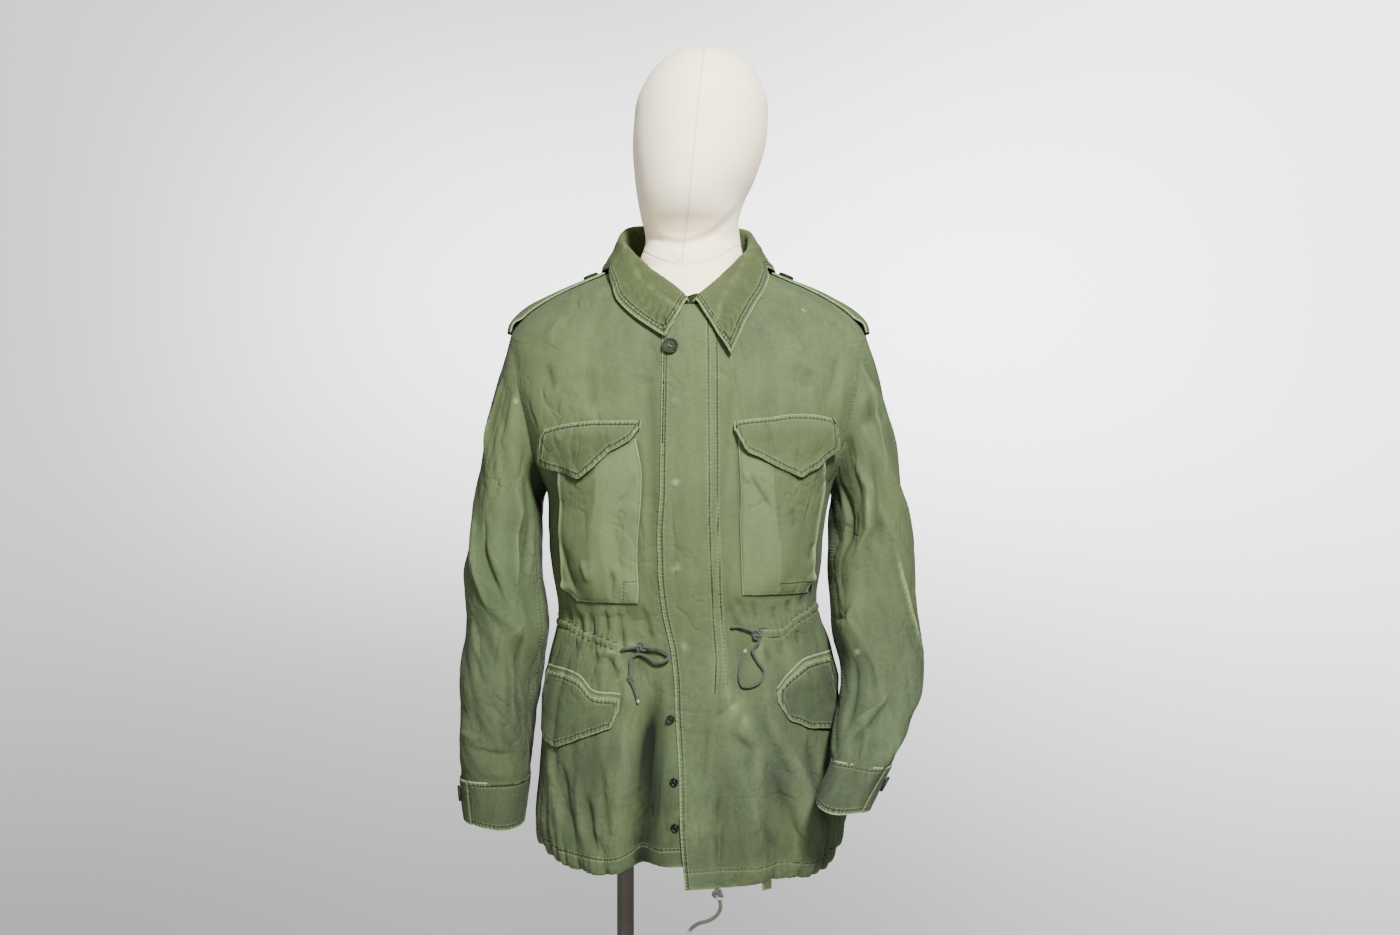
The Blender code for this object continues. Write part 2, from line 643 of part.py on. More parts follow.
def sleeve_rows(side, out, foot_z):
    """Rows of a sleeve's wall: from the armhole's edge the cloth bends down into level rings."""
    place = np.arange(2 * ARMHOLE_STEPS) / (2 * ARMHOLE_STEPS)
    seam, away = armhole_loop(side)
    end = sleeve_ring(side, place, SLEEVE_TOP_Z, out)
    below = sleeve_ring(side, place, SLEEVE_TOP_Z - SLEEVE_TANGENT_STEP, out)
    chord = np.linalg.norm(end - seam, axis=1, keepdims=True)
    topmost = (1 + np.cos(2 * np.pi * place))[:, None] / 2
    down = unit(np.array([side * SLEEVE_HEAD_SLOPE, 0, -1.0]))
    flare = SLEEVE_HEAD_FLARE + (SLEEVE_HEAD_FLARE_TOP - SLEEVE_HEAD_FLARE) * topmost
    leave = unit(down + away * flare) * chord
    tangent = np.roll(seam, -1, axis=0) - np.roll(seam, 1, axis=0)
    face = side * unit(np.cross(tangent, leave))
    start = seam + away * (GAP + WALL / 2) + face * (out + WALL / 2)
    arrive = unit(below - end) * chord
    rows = []
    for t in SLEEVE_HEAD_ROWS:
        rows.append(
            (2 * t**3 - 3 * t**2 + 1) * start
            + (t**3 - 2 * t**2 + t) * leave
            + (3 * t**2 - 2 * t**3) * end
            + (t**3 - t**2) * arrive
        )
    for z in np.linspace(SLEEVE_TOP_Z, foot_z, SLEEVE_ROWS):
        rows.append(sleeve_ring(side, place, z, out))
    return rows


def sleeve(name, side):
    foot = CUFF_TOP_Z[side] + GAP
    wall(name, sleeve_rows(side, 0.0, foot), sleeve_rows(side, -WALL, foot), tube=True)


def cuff_face(side, place, share, depth):
    """A point of the cuff's outer face, or under it: share runs from its top to its foot."""
    z = CUFF_TOP_Z[side] + (CUFF_FOOT_Z[side] - CUFF_TOP_Z[side]) * share
    z = z + share * CUFF_SAG * np.sin(2 * np.pi * (2 * place + 0.1))
    lapped = smooth(0.92, 0.985, place - CUFF_START) * (WALL + 2 * GAP)
    flare = share * CUFF_FLARE * np.sin(2 * np.pi * 3 * place)
    return sleeve_ring(side, place, z, CUFF_PROUD + lapped + flare - depth)


def cuff(name, side):
    """A band round the wrist that laps over its own start and buttons on the outer side."""
    place = CUFF_START + np.linspace(0.0, 1.0 + CUFF_LAP, CUFF_COLUMNS + 1)
    faces = [[cuff_face(side, place, share, depth) for share in CUFF_SHARES] for depth in (0.0, WALL)]
    wall(name, *faces)


def cuff_button(name, side):
    here = cuff_face(side, CUFF_BUTTON_PLACE, CUFF_BUTTON_SHARE, 0.0)
    along = cuff_face(side, CUFF_BUTTON_PLACE + 0.01, CUFF_BUTTON_SHARE, 0.0) - here
    down = cuff_face(side, CUFF_BUTTON_PLACE, CUFF_BUTTON_SHARE + 0.02, 0.0) - here
    axis = side * unit(np.cross(along, down))
    button(name, here + axis * CUFF_BUTTON_LIFT, axis)


# ---------------------------------------------------------------- what lies on the fronts
BAG_COLUMNS = ("z", "inner", "outer", "puff")
CHEST_BAGS = {
    -1: Table(
        BAG_COLUMNS,
        (1.108, 0.056, 0.128, 0.0004),
        (1.126, 0.054, 0.142, 0.0030),
        (1.160, 0.055, 0.145, 0.0050),
        (1.210, 0.053, 0.146, 0.0055),
        (1.253, 0.053, 0.150, 0.0045),
        (1.298, 0.060, 0.152, 0.0010),
    ),
    +1: Table(
        BAG_COLUMNS,
        (1.117, 0.066, 0.142, 0.0004),
        (1.135, 0.065, 0.148, 0.0030),
        (1.170, 0.064, 0.152, 0.0050),
        (1.210, 0.062, 0.155, 0.0055),
        (1.253, 0.060, 0.160, 0.0045),
        (1.298, 0.058, 0.160, 0.0010),
    ),
}
FLAP_COLUMNS = ("x", "top", "foot")
CHEST_FLAPS = {
    -1: Table(
        FLAP_COLUMNS,
        (0.054, 1.3190, 1.3120),
        (0.064, 1.3190, 1.2970),
        (0.088, 1.3190, 1.2830),
        (0.106, 1.3190, 1.2660),
        (0.121, 1.3180, 1.2530),
        (0.145, 1.3150, 1.2620),
        (0.170, 1.3090, 1.2730),
    ),
    +1: Table(
        FLAP_COLUMNS,
        (0.053, 1.3180, 1.3100),
        (0.060, 1.3190, 1.2950),
        (0.067, 1.3200, 1.2830),
        (0.095, 1.3230, 1.2700),
        (0.127, 1.3270, 1.2550),
        (0.150, 1.3260, 1.2700),
        (0.171, 1.3220, 1.2880),
    ),
}
HIP_FLAPS = {
    -1: Table(
        FLAP_COLUMNS,
        (0.080, 0.9960, 0.9850),
        (0.088, 0.9970, 0.9640),
        (0.115, 1.0000, 0.9540),
        (0.131, 1.0140, 0.9470),
        (0.152, 1.0200, 0.9360),
        (0.176, 1.0210, 0.9480),
    ),
    +1: Table(
        FLAP_COLUMNS,
        (0.102, 1.0020, 0.9940),
        (0.114, 1.0160, 0.9720),
        (0.138, 1.0320, 0.9610),
        (0.155, 1.0360, 0.9570),
        (0.176, 1.0370, 0.9540),
    ),
}
HIP_WELT_HEIGHT = 0.007
HIP_Z = 0.985  # the height at which the hip flaps' places to the side are given
HIP_FLAP_RISE = 0.0012
FLAP_RISE = 0.0068  # how far a chest flap's end stands off, over the bag
FLAP_RISE_DROP = 0.014  # it has risen this far below its seam
FLAP_COLUMN_COUNT = 9
FLAP_ROW_COUNT = 5
BAG_COLUMN_COUNT = 8
BAG_ROW_COUNT = 8
BAG_SWELL_SHARE = 0.22  # how much of a bag's width it takes to stand off


def on_front(side, x, z, out, taper_z=None):
    """A point at a distance to the side, which may shrink and grow with the body's width."""
    if taper_z:
        x = x * BODY("half_width", z) / BODY("half_width", taper_z)
    return body(side * turn_at_x(x, z), z, out)


def chest_bag(name, side):
    """A patch pocket's bag, sewn down round its edge and standing off inside it."""
    table = CHEST_BAGS[side]
    rows = [[], []]
    across = np.linspace(0.0, 1.0, BAG_COLUMN_COUNT)
    standing = smooth(0.0, BAG_SWELL_SHARE, across) * smooth(1.0, 1 - BAG_SWELL_SHARE, across)
    for z in np.linspace(table.stations[0], table.stations[-1], BAG_ROW_COUNT):
        x = table("inner", z) + (table("outer", z) - table("inner", z)) * across
        out = LIE + table("puff", z) * standing
        for face, depth in zip(rows, (out + WALL, out)):
            face.append(on_front(side, x, np.full(x.shape, z), depth))
    wall(name, *rows)


def flap(name, side, table, rise, taper_z=None):
    """A pocket flap: sewn down along its top, standing off towards its shaped foot."""
    rows = [[], []]
    x = np.linspace(table.stations[0], table.stations[-1], FLAP_COLUMN_COUNT)
    for share in np.linspace(0.0, 1.0, FLAP_ROW_COUNT):
        z = table("top", x) + (table("foot", x) - table("top", x)) * share
        drop = table("top", x) - z
        out = LIE + rise * smooth(0.0, FLAP_RISE_DROP, drop)
        for face, depth in zip(rows, (out + WALL, out)):
            face.append(on_front(side, x, z, depth, taper_z))
    wall(name, *rows)


def hip_welt(name, side):
    """The narrow stitched strip that the hip flap hangs from."""
    table = HIP_FLAPS[side]
    rows = [[], []]
    x = np.linspace(table.stations[0], table.stations[-1], FLAP_COLUMN_COUNT)
    for rise in (GAP, GAP + HIP_WELT_HEIGHT):
        for face, depth in zip(rows, (LIE + WALL, LIE)):
            face.append(on_front(side, x, table("top", x) + rise, depth, HIP_Z))
    wall(name, *rows)


# ---------------------------------------------------------------- epaulettes
EPAULETTE = Table(
    ("z", "half_width", "lift"),
    (1.4270, 0.0240, 0.0010),
    (1.4400, 0.0245, 0.0050),
    (1.4550, 0.0240, 0.0040),
    (1.4700, 0.0225, 0.0016),
    (1.4850, 0.0205, 0.0004),
    (1.4960, 0.0170, 0.0002),
    (1.5010, 0.0105, 0.0002),
)
EPAULETTE_WALL = 0.0024
EPAULETTE_LEVELS = (1.4270, 1.4350, 1.4440, 1.4535, 1.4630, 1.4720, 1.4810, 1.4890, 1.4960, 1.5010)
EPAULETTE_COLUMN_COUNT = 6
EPAULETTE_BUTTON_Z = 1.4945
EPAULETTE_BUTTON_LIFT = 0.0007  # clears the crown of the strap


def epaulette(name, side):
    """A strap along the shoulder seam, caught in the sleeve's seam and buttoned by the collar."""
    rows = [[], []]
    across = np.linspace(-1.0, 1.0, EPAULETTE_COLUMN_COUNT)
    for z in EPAULETTE_LEVELS:
        depth = np.where(across < 0, BODY("front", z), BODY("back", z))
        turn = 0.25 + np.arcsin(across * EPAULETTE("half_width", z) / depth) / (2 * np.pi)
        out = LIE + GAP + EPAULETTE("lift", z)
        for face, reach in zip(rows, (out + EPAULETTE_WALL, out)):
            face.append(body(side * turn, z, reach))
    wall(name, *rows)


def epaulette_button(name, side):
    z = EPAULETTE_BUTTON_Z
    axis = body_normal(side * 0.25, z)
    lift = LIE + GAP + float(EPAULETTE("lift", z)) + EPAULETTE_WALL + EPAULETTE_BUTTON_LIFT
    button(name, body(side * 0.25, z, lift), axis)


def button(name, foot, axis):
    cylinder(
        name,
        BUTTON_RADIUS,
        BUTTON_THICKNESS,
        foot,
        "button",
        axis=axis,
        segments=BUTTON_SEGMENTS,
        top_bevel=BUTTON_BEVEL,
        dish=BUTTON_DISH,
    )


# ---------------------------------------------------------------- collar
COLLAR_COLUMNS = (
    "around",
    "base_turn",
    "fold_x",
    "fold_y",
    "fold_z",
    "edge_turn",
    "edge_z",
    "edge_lift",
)
COLLAR = Table(  # from the wearer's right end (0), behind the neck (1), to the left end (2)
    COLLAR_COLUMNS,
    (0.00, -0.0060, -0.0010, -0.1030, 1.4605, -0.0170, 1.4150, 0.0075),
    (0.10, -0.0170, -0.0070, -0.1005, 1.4690, -0.0260, 1.4230, 0.0068),
    (0.22, -0.0450, -0.0230, -0.0935, 1.4830, -0.0420, 1.4360, 0.0062),
    (0.36, -0.0900, -0.0440, -0.0770, 1.4990, -0.0700, 1.4580, 0.0052),
    (0.50, -0.1500, -0.0660, -0.0500, 1.5220, -0.1100, 1.4840, 0.0055),
    (0.64, -0.2300, -0.0820, -0.0060, 1.5460, -0.2000, 1.5020, 0.0065),
    (0.80, -0.3500, -0.0700, 0.0580, 1.5680, -0.3400, 1.4960, 0.0060),
    (1.00, -0.5000, 0.0020, 0.0870, 1.5770, -0.5000, 1.4900, 0.0060),
    (1.20, -0.6500, 0.0720, 0.0580, 1.5640, -0.6600, 1.4960, 0.0060),
    (1.36, -0.7700, 0.0760, -0.0020, 1.5380, -0.8000, 1.5020, 0.0065),
    (1.50, -0.8500, 0.0610, -0.0440, 1.5160, -0.8800, 1.4860, 0.0055),
    (1.64, -0.9100, 0.0420, -0.0760, 1.4940, -0.9250, 1.4620, 0.0052),
    (1.78, -0.9550, 0.0240, -0.0950, 1.4760, -0.9500, 1.4360, 0.0060),
    (1.90, -0.9820, 0.0135, -0.1010, 1.4670, -0.9620, 1.4120, 0.0072),
    (2.00, -0.9920, 0.0085, -0.1035, 1.4605, -0.9690, 1.3940, 0.0085),
)
COLLAR_COLUMNS_ROUND = 32
COLLAR_WALL = 0.0022
COLLAR_RISE = 0.0022  # of the middle of the wall over the neck seam
COLLAR_FRONT_RISE = 0.0020  # more, where it passes over the fly's top
COLLAR_RISE_START = 0.045  # the turns from the centre front between which that comes in
COLLAR_RISE_FULL = 0.020
FOLD_SPREAD = 0.0036  # half the room between stand and leaf just under the fold
FOLD_DROP = 0.0022  # how far under the fold that is


def collar(name):
    """Stand and leaf in one piece, as a wall along a folded section that turns round the neck."""
    sections = []
    for at in np.linspace(0.0, 2.0, COLLAR_COLUMNS_ROUND + 1):
        base_turn, edge_turn = COLLAR("base_turn", at), COLLAR("edge_turn", at)
        neck_turn = abs(((float(base_turn) + 0.5) % 1.0) - 0.5)
        seam_z = float(NECKLINE("z", neck_turn * 4))
        rise = COLLAR_RISE + COLLAR_FRONT_RISE * smooth(COLLAR_RISE_START, COLLAR_RISE_FULL, neck_turn)
        base = body(base_turn % 1.0, seam_z + rise, -WALL / 2)
        edge = body(edge_turn % 1.0, COLLAR("edge_z", at), COLLAR("edge_lift", at))
        fold = np.array([float(COLLAR(axis, at)) for axis in ("fold_x", "fold_y", "fold_z")])
        outward = unit(np.array([edge[0] - base[0], edge[1] - base[1], 0.0]))
        drop = np.array([0.0, 0.0, FOLD_DROP])
        stand_top = fold - outward * FOLD_SPREAD - drop
        leaf_top = fold + outward * FOLD_SPREAD - drop
        stand = [base, (base + stand_top) / 2, stand_top]
        sections.append([*stand, fold, leaf_top, (leaf_top + edge) / 2, edge])
    middle = np.array(sections)
    around = np.gradient(middle, axis=0)
    along = np.gradient(middle, axis=1)
    normal = unit(np.cross(around, along))
    rows = [middle + normal * half for half in (COLLAR_WALL / 2, -COLLAR_WALL / 2)]
    wall(name, *[list(face) for face in rows])


# ---------------------------------------------------------------- fastenings and cords
SNAPS = (  # height, and how far over the cloth's true line the stud sits
    (0.8535, 0.0000),
    (0.9055, 0.0004),
    (0.9760, 0.0015),
)
CORD_COLUMNS = ("x", "z", "out")
WAIST_CORD_RIGHT = (
    (-0.0800, 1.0530, 0.0016),
    (-0.0680, 1.0555, 0.0026),
    (-0.0560, 1.0570, 0.0030),
    (-0.0460, 1.0560, 0.0042),
    (-0.0340, 1.0545, 0.0050),
    (-0.0240, 1.0480, 0.0054),
    (-0.0290, 1.0410, 0.0052),
    (-0.0400, 1.0400, 0.0040),
    (-0.0500, 1.0460, 0.0028),
    (-0.0600, 1.0490, 0.0020),
    (-0.0680, 1.0440, 0.0016),
    (-0.0690, 1.0330, 0.0014),
    (-0.0680, 1.0200, 0.0014),
    (-0.0630, 1.0080, 0.0014),
    (-0.0585, 0.9935, 0.0020),
)
WAIST_CORD_LEFT = (
    (0.0490, 1.0800, 0.0024),
    (0.0580, 1.0800, 0.0024),
    (0.0680, 1.0770, 0.0026),
    (0.0775, 1.0710, 0.0030),
    (0.0785, 1.0620, 0.0030),
    (0.0715, 1.0530, 0.0022),
    (0.0765, 1.0400, 0.0016),
    (0.0840, 1.0280, 0.0016),
    (0.0790, 1.0170, 0.0016),
    (0.0690, 1.0120, 0.0014),
    (0.0590, 1.0130, 0.0014),
    (0.0560, 1.0250, 0.0014),
    (0.0590, 1.0420, 0.0016),
    (0.0640, 1.0540, 0.0022),
)
HEM_CORD = (
    (0.0330, 0.7828, -0.0009),
    (0.0345, 0.7760, -0.0006),
    (0.0370, 0.7680, 0.0000),
    (0.0375, 0.7600, 0.0004),
    (0.0330, 0.7520, 0.0010),
    (0.0240, 0.7460, 0.0014),
    (0.0130, 0.7430, 0.0014),
    (0.0040, 0.7370, 0.0010),
    (-0.0010, 0.7280, 0.0006),
)
HEM_CORD_PLANE_Z = 0.785  # below the hem the cord hangs straight down from this height's ring
HEM_TAPE = {"inner": 0.0835, "outer": 0.0955, "depth": 0.0100, "proud": 0.0002, "columns": 4}
HEM_TAPE_PLANE_Z = 0.790  # the height at which its places to the side are read


def smooth_route(points, spacing):
    """Even stations along a smooth curve through the points."""
    points = np.array(points)
    padded = np.vstack([2 * points[0] - points[1], points, 2 * points[-1] - points[-2]])
    dense = []
    for a, b, c, d in zip(padded, padded[1:], padded[2:], padded[3:]):
        for t in np.arange(12) / 12:
            bend = (2 * a - 5 * b + 4 * c - d) * t**2 + (3 * b - a - 3 * c + d) * t**3
            dense.append(0.5 * (2 * b + (c - a) * t + bend))
    dense = np.array(dense + [points[-1]])
    along = np.concatenate([[0.0], np.cumsum(np.linalg.norm(np.diff(dense, axis=0), axis=1))])
    stations = np.linspace(0.0, along[-1], round(along[-1] / spacing) + 1)
    return np.stack([np.interp(stations, along, dense[:, axis]) for axis in range(3)], axis=-1)


def cord(name, points, radius):
    route = smooth_route(points, 5 * radius)
    curve = bpy.data.curves.new(name, "CURVE")
    curve.dimensions = "3D"
    curve.bevel_depth = radius
    curve.bevel_resolution = 2
    curve.use_fill_caps = True
    spline = curve.splines.new("POLY")
    spline.points.add(len(route) - 1)
    for target, point in zip(spline.points, route):
        target.co = (*point, 1.0)
    add_object(name, curve, "cord")


def waist_cord(name, route):
    points = []
    for x, z, out in route:
        turn = turn_at_x(abs(x), z) * (1 if x > 0 else -1)
        points.append(body(turn, z, out + WAIST_CORD_RADIUS))
    cord(name, points, WAIST_CORD_RADIUS)


def hem_cord(name):
    """The end of the hem's cord, which comes out under the front and hangs."""
    points = []
    for x, z, out in HEM_CORD:
        hang = body(turn_at_x(x, HEM_CORD_PLANE_Z), HEM_CORD_PLANE_Z, out)
        points.append((x, hang[1], z))
    cord(name, points, HEM_CORD_RADIUS)


def hem_tape(name):
    """A short end of tape under the hem."""
    x = np.linspace(HEM_TAPE["inner"], HEM_TAPE["outer"], HEM_TAPE["columns"])
    foot = HEM[+1]("z", turn_at_x(x, HEM_TAPE_PLANE_Z) * 4)
    rows = [[], []]
    for drop in (GAP, GAP + HEM_TAPE["depth"]):
        for face, depth in zip(rows, (HEM_TAPE["proud"], -WALL)):
            face.append(on_front(+1, x, foot - drop, depth))
    wall(name, *rows)


def snaps():
    """Studs on the wearer's right front, beside the free edge of the fly."""
    for number, (z, lift) in enumerate(SNAPS, start=1):
        x = -float(FLY_EDGE("x", z)) + SNAP_RADIUS + SNAP_CLEARANCE
        turn = -turn_at_x(x, z)
        cylinder(
            f"snap_stud_{number}",
            SNAP_RADIUS,
            SNAP_HEIGHT,
            body(turn, z, lift),
            "snap_metal",
            axis=body_normal(turn, z),
            segments=BUTTON_SEGMENTS,
            top_bevel=SNAP_BEVEL,
        )


def neck_button():
    z = NECK_BUTTON_Z
    turn = -turn_at_x(-NECK_BUTTON_X, z)
    button("neck_button", body(turn, z, FLY_LIFT + NECK_BUTTON_LIFT), body_normal(turn, z))


# ---------------------------------------------------------------- dress form and stand
FORM_EASE = Table(  # between the jacket's inside and the form
    ("z", "ease"),
    (0.868, 0.030),
    (0.960, 0.027),
    (1.010, 0.018),
    (1.060, 0.012),
    (1.095, 0.009),
    (1.140, 0.010),
    (1.200, 0.012),
    (1.300, 0.010),
    (1.380, 0.010),
    (1.430, 0.0060),
    (1.455, 0.0015),
    (1.480, 0.0012),
    (1.492, 0.0020),
    (1.502, 0.0040),
)
FORM_HEAD = Table(  # from the neck's root to the crown, with a plain egg for a head
    ("z", "x", "half_width", "front", "back"),
    (1.5200, 0.0040, 0.0640, 0.0500, 0.0600),
    (1.5400, 0.0055, 0.0585, 0.0470, 0.0610),
    (1.5560, 0.0040, 0.0580, 0.0600, 0.0600),
    (1.5700, 0.0020, 0.0600, 0.0800, 0.0600),
    (1.5900, 0.0030, 0.0650, 0.0950, 0.0640),
    (1.6200, 0.0080, 0.0740, 0.1030, 0.0760),
    (1.6600, 0.0130, 0.0815, 0.1040, 0.0900),
    (1.7000, 0.0160, 0.0820, 0.0980, 0.0930),
    (1.7400, 0.0180, 0.0700, 0.0800, 0.0790),
    (1.7620, 0.0190, 0.0530, 0.0590, 0.0590),
    (1.7760, 0.0195, 0.0300, 0.0330, 0.0340),
    (1.7820, 0.0195, 0.0080, 0.0080, 0.0080),
)
FORM_SKIRT_LEVELS = (FORM_FOOT_Z, 0.900, 0.950, 1.000, 1.045, 1.085, 1.120, 1.165, 1.220)
FORM_CHEST_LEVELS = (1.280, 1.335, 1.380, 1.410, 1.430, 1.444, 1.463, 1.481, 1.492, 1.502)


def dress_form(name):
    """A headed form without limbs, which the jacket hangs on at the shoulders."""
    turn = np.arange(FORM_COLUMNS) / FORM_COLUMNS
    angle = 2 * np.pi * turn
    rows = []
    for z in (*FORM_SKIRT_LEVELS, *FORM_CHEST_LEVELS):
        depth = WALL + float(FORM_EASE("ease", z))
        row = ring(turn, z) - body_normal(turn, z) * depth
        if z == FORM_FOOT_Z:
            row[:, 2] = z
        rows.append(row)
    for z in FORM_HEAD.stations:
        sizes = {column: float(FORM_HEAD(column, z)) for column in ("x", "half_width", "front", "back")}
        reach = np.where(np.cos(angle) > 0, sizes["front"], sizes["back"])
        x = sizes["x"] + sizes["half_width"] * np.sin(angle)
        rows.append(np.stack([x, -reach * np.cos(angle), np.full(x.shape, z)], axis=-1))
    closed_loft(name, rows, "form_cloth")


def stand():
    cylinder(
        "stand_base", BASE_RADIUS, BASE_THICKNESS, (0, 0, 0), "steel", segments=48, top_bevel=BASE_BEVEL
    )
    foot = BASE_THICKNESS + GAP
    cylinder(
        "stand_socket", SOCKET_RADIUS, SOCKET_HEIGHT, (POLE_X, 0, foot), "steel", top_bevel=SOCKET_BEVEL
    )
    pole_foot = foot + SOCKET_HEIGHT + GAP
    flange_foot = FORM_FOOT_Z - GAP - FLANGE_THICKNESS
    cylinder(
        "stand_pole", POLE_RADIUS, flange_foot - GAP - pole_foot, (POLE_X, 0, pole_foot), "steel", segments=24
    )
    cylinder("stand_flange", FLANGE_RADIUS, FLANGE_THICKNESS, (POLE_X, 0, flange_foot), "steel")


# ---------------------------------------------------------------- the whole
def main():
    clear_scene()
    dress_form("dress_form")
    stand()
    back("back")
    for side, hand in ((+1, "left"), (-1, "right")):
        front(f"front_{hand}", side)
        sleeve(f"sleeve_{hand}", side)
        cuff(f"cuff_{hand}", side)
        cuff_button(f"cuff_button_{hand}", side)
        chest_bag(f"chest_pocket_{hand}", side)
        flap(f"chest_flap_{hand}", side, CHEST_FLAPS[side], FLAP_RISE)
        hip_welt(f"hip_welt_{hand}", side)
        flap(f"hip_flap_{hand}", side, HIP_FLAPS[side], HIP_FLAP_RISE, HIP_Z)
        epaulette(f"epaulette_{hand}", side)
        epaulette_button(f"epaulette_button_{hand}", side)
    collar("collar")
    neck_button()
    snaps()
    waist_cord("waist_cord_right", WAIST_CORD_RIGHT)
    waist_cord("waist_cord_left", WAIST_CORD_LEFT)
    hem_cord("hem_cord")
    hem_tape("hem_tape")


main()
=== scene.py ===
"""A worn field jacket on a headed dress form with a pole stand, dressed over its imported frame."""

import math

import bmesh
import bpy
import numpy as np
from mathutils import Matrix, Vector


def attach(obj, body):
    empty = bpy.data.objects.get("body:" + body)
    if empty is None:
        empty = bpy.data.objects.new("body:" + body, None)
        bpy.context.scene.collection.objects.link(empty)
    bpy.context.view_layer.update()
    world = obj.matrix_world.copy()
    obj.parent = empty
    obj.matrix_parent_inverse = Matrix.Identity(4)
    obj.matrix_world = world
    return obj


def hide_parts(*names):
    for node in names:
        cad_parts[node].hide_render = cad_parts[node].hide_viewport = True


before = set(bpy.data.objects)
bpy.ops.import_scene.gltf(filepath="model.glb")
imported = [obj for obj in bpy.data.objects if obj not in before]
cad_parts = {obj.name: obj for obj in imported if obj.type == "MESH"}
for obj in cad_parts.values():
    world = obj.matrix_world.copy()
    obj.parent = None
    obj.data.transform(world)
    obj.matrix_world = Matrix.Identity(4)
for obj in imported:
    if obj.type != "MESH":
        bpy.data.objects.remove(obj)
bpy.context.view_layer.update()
bpy.ops.object.select_all(action="DESELECT")

# ---------------------------------------------------------------- camera
CAMERA_PLACE = (0.0141, -2.0, 1.265)
CAMERA_LENS = 41.81
SENSOR = 36.0


def place_camera():
    camera = bpy.data.objects.new("camera", bpy.data.cameras.new("camera"))
    bpy.context.scene.collection.objects.link(camera)
    camera.location = CAMERA_PLACE
    camera.rotation_euler = (math.radians(90), 0, 0)
    camera.data.sensor_width = SENSOR
    camera.data.lens = CAMERA_LENS
    bpy.context.scene.camera = camera


place_camera()

# ---------------------------------------------------------------- sizes shared with the frame
WALL = 0.0018
GAP = 0.0003
SEAM_GAP = 0.00034
LIE = 0.0011
ARMPIT_Z = 1.240
SHOULDER_Z = 1.425
ARMHOLE_FRONT = 0.070
ARMHOLE_BACK = 0.080
SLEEVE_TOP_Z = 1.200
FLY_LIFT = WALL + 2 * GAP
FLY_HEM_LIFT = 0.0022
ZIP_X = 0.0215
FLY_SETTLE_X = 0.034
HEM_DEPTH = 0.024
HEM_PROUD = 0.0006
HEM_Z = 0.840
SKIRT_Z = 0.870
WAIST_CORD_RADIUS = 0.0018
HEM_CORD_RADIUS = 0.0022
HEM_STITCH = 0.0205  # the hem's line of stitches, up from the edge
ARMHOLE_STITCHES = (0.0022, 0.0085)
HANDS = ((+1, "left"), (-1, "right"))


def thousandths(*rows):
    """Rows of numbers that are written in thousandths of a metre, or of a turn."""
    return [tuple(value / 1000 for value in row) for row in rows]


def creases(*rows):
    """Points, half width and push outward, from rows in thousandths that end with the points."""
    return [(np.reshape(row[2:], (-1, 2)) / 1000, row[0] / 1000, row[1] / 1000) for row in rows]


def hermite(t, start, leave, end, arrive):
    """A smooth step from one value to another, with the slopes that it leaves and arrives with."""
    return (
        (2 * t**3 - 3 * t**2 + 1) * start
        + (t**3 - 2 * t**2 + t) * leave
        + (3 * t**2 - 2 * t**3) * end
        + (t**3 - t**2) * arrive
    )


class Table:
    """Rows of thousandths at rising stations, read between rows along a smooth curve."""

    def __init__(self, columns, *rows):
        rows = np.array(sorted(rows), float) / 1000
        self.stations = rows[:, 0]
        self.values = dict(zip(columns[1:], rows[:, 1:].T))
        self.tangents = {}
        for column, y in self.values.items():
            slope = np.diff(y) / np.diff(self.stations)
            tangent = np.concatenate([slope[:1], (slope[1:] + slope[:-1]) / 2, slope[-1:]])
            tangent[np.concatenate([[False], slope[1:] * slope[:-1] <= 0, [False]])] = 0.0
            self.tangents[column] = tangent

    def __call__(self, column, at):
        x, y, tangent = self.stations, self.values[column], self.tangents[column]
        at = np.clip(np.asarray(at, float), x[0], x[-1])
        i = np.clip(np.searchsorted(x, at, side="right") - 1, 0, len(x) - 2)
        step = x[i + 1] - x[i]
        return hermite((at - x[i]) / step, y[i], step * tangent[i], y[i + 1], step * tangent[i + 1])


def smooth(edge0, edge1, at):
    """0 at edge0, 1 at edge1, with soft ends."""
    t = np.clip((np.asarray(at, float) - edge0) / (edge1 - edge0), 0.0, 1.0)
    return t * t * (3 - 2 * t)


def bell(away, width):
    """1 at nothing, dying out over the width to both sides."""
    return np.exp(-((away / width) ** 2))


def unit(v):
    return v / np.maximum(np.linalg.norm(v, axis=-1, keepdims=True), 1e-12)


BODY = Table(
    ("z", "middle", "half_width", "front", "back", "square"),
    (740, 2, 172, 134, 128, 30), (780, 3, 178, 137, 130, 30), (815, 3, 184, 140, 132, 30),
    (850, 3, 190, 142, 133, 30), (900, 4, 188, 141, 130, 30), (950, 3, 184, 137, 124, 28),
    (985, 2, 181, 133, 119, 26), (1020, 3, 176, 127, 113, 24), (1050, 3, 169, 122, 108, 22),
    (1078, 1, 160, 120, 107, 22), (1100, -1, 157, 122, 109, 24), (1140, -3, 163, 128, 116, 28),
    (1185, -3, 168, 132, 123, 32), (1240, 0, 175, 133, 129, 40), (1280, 0, 193, 130, 131, 55),
    (1330, 0, 209, 126, 130, 60), (1380, 0, 219, 119, 126, 48), (1425, 0, 218.5, 107, 118, 18),
    (1450, 0, 200, 98, 110, 5), (1466, 0, 178, 90, 104, 0), (1480, 0, 152, 82, 97, 0),
    (1492, 0, 124, 73, 89, 0), (1502, 0, 100, 66, 81, 0), (1511, 0, 83, 60, 75, 0),
    (1530, 2, 74, 55, 70, 0),
)
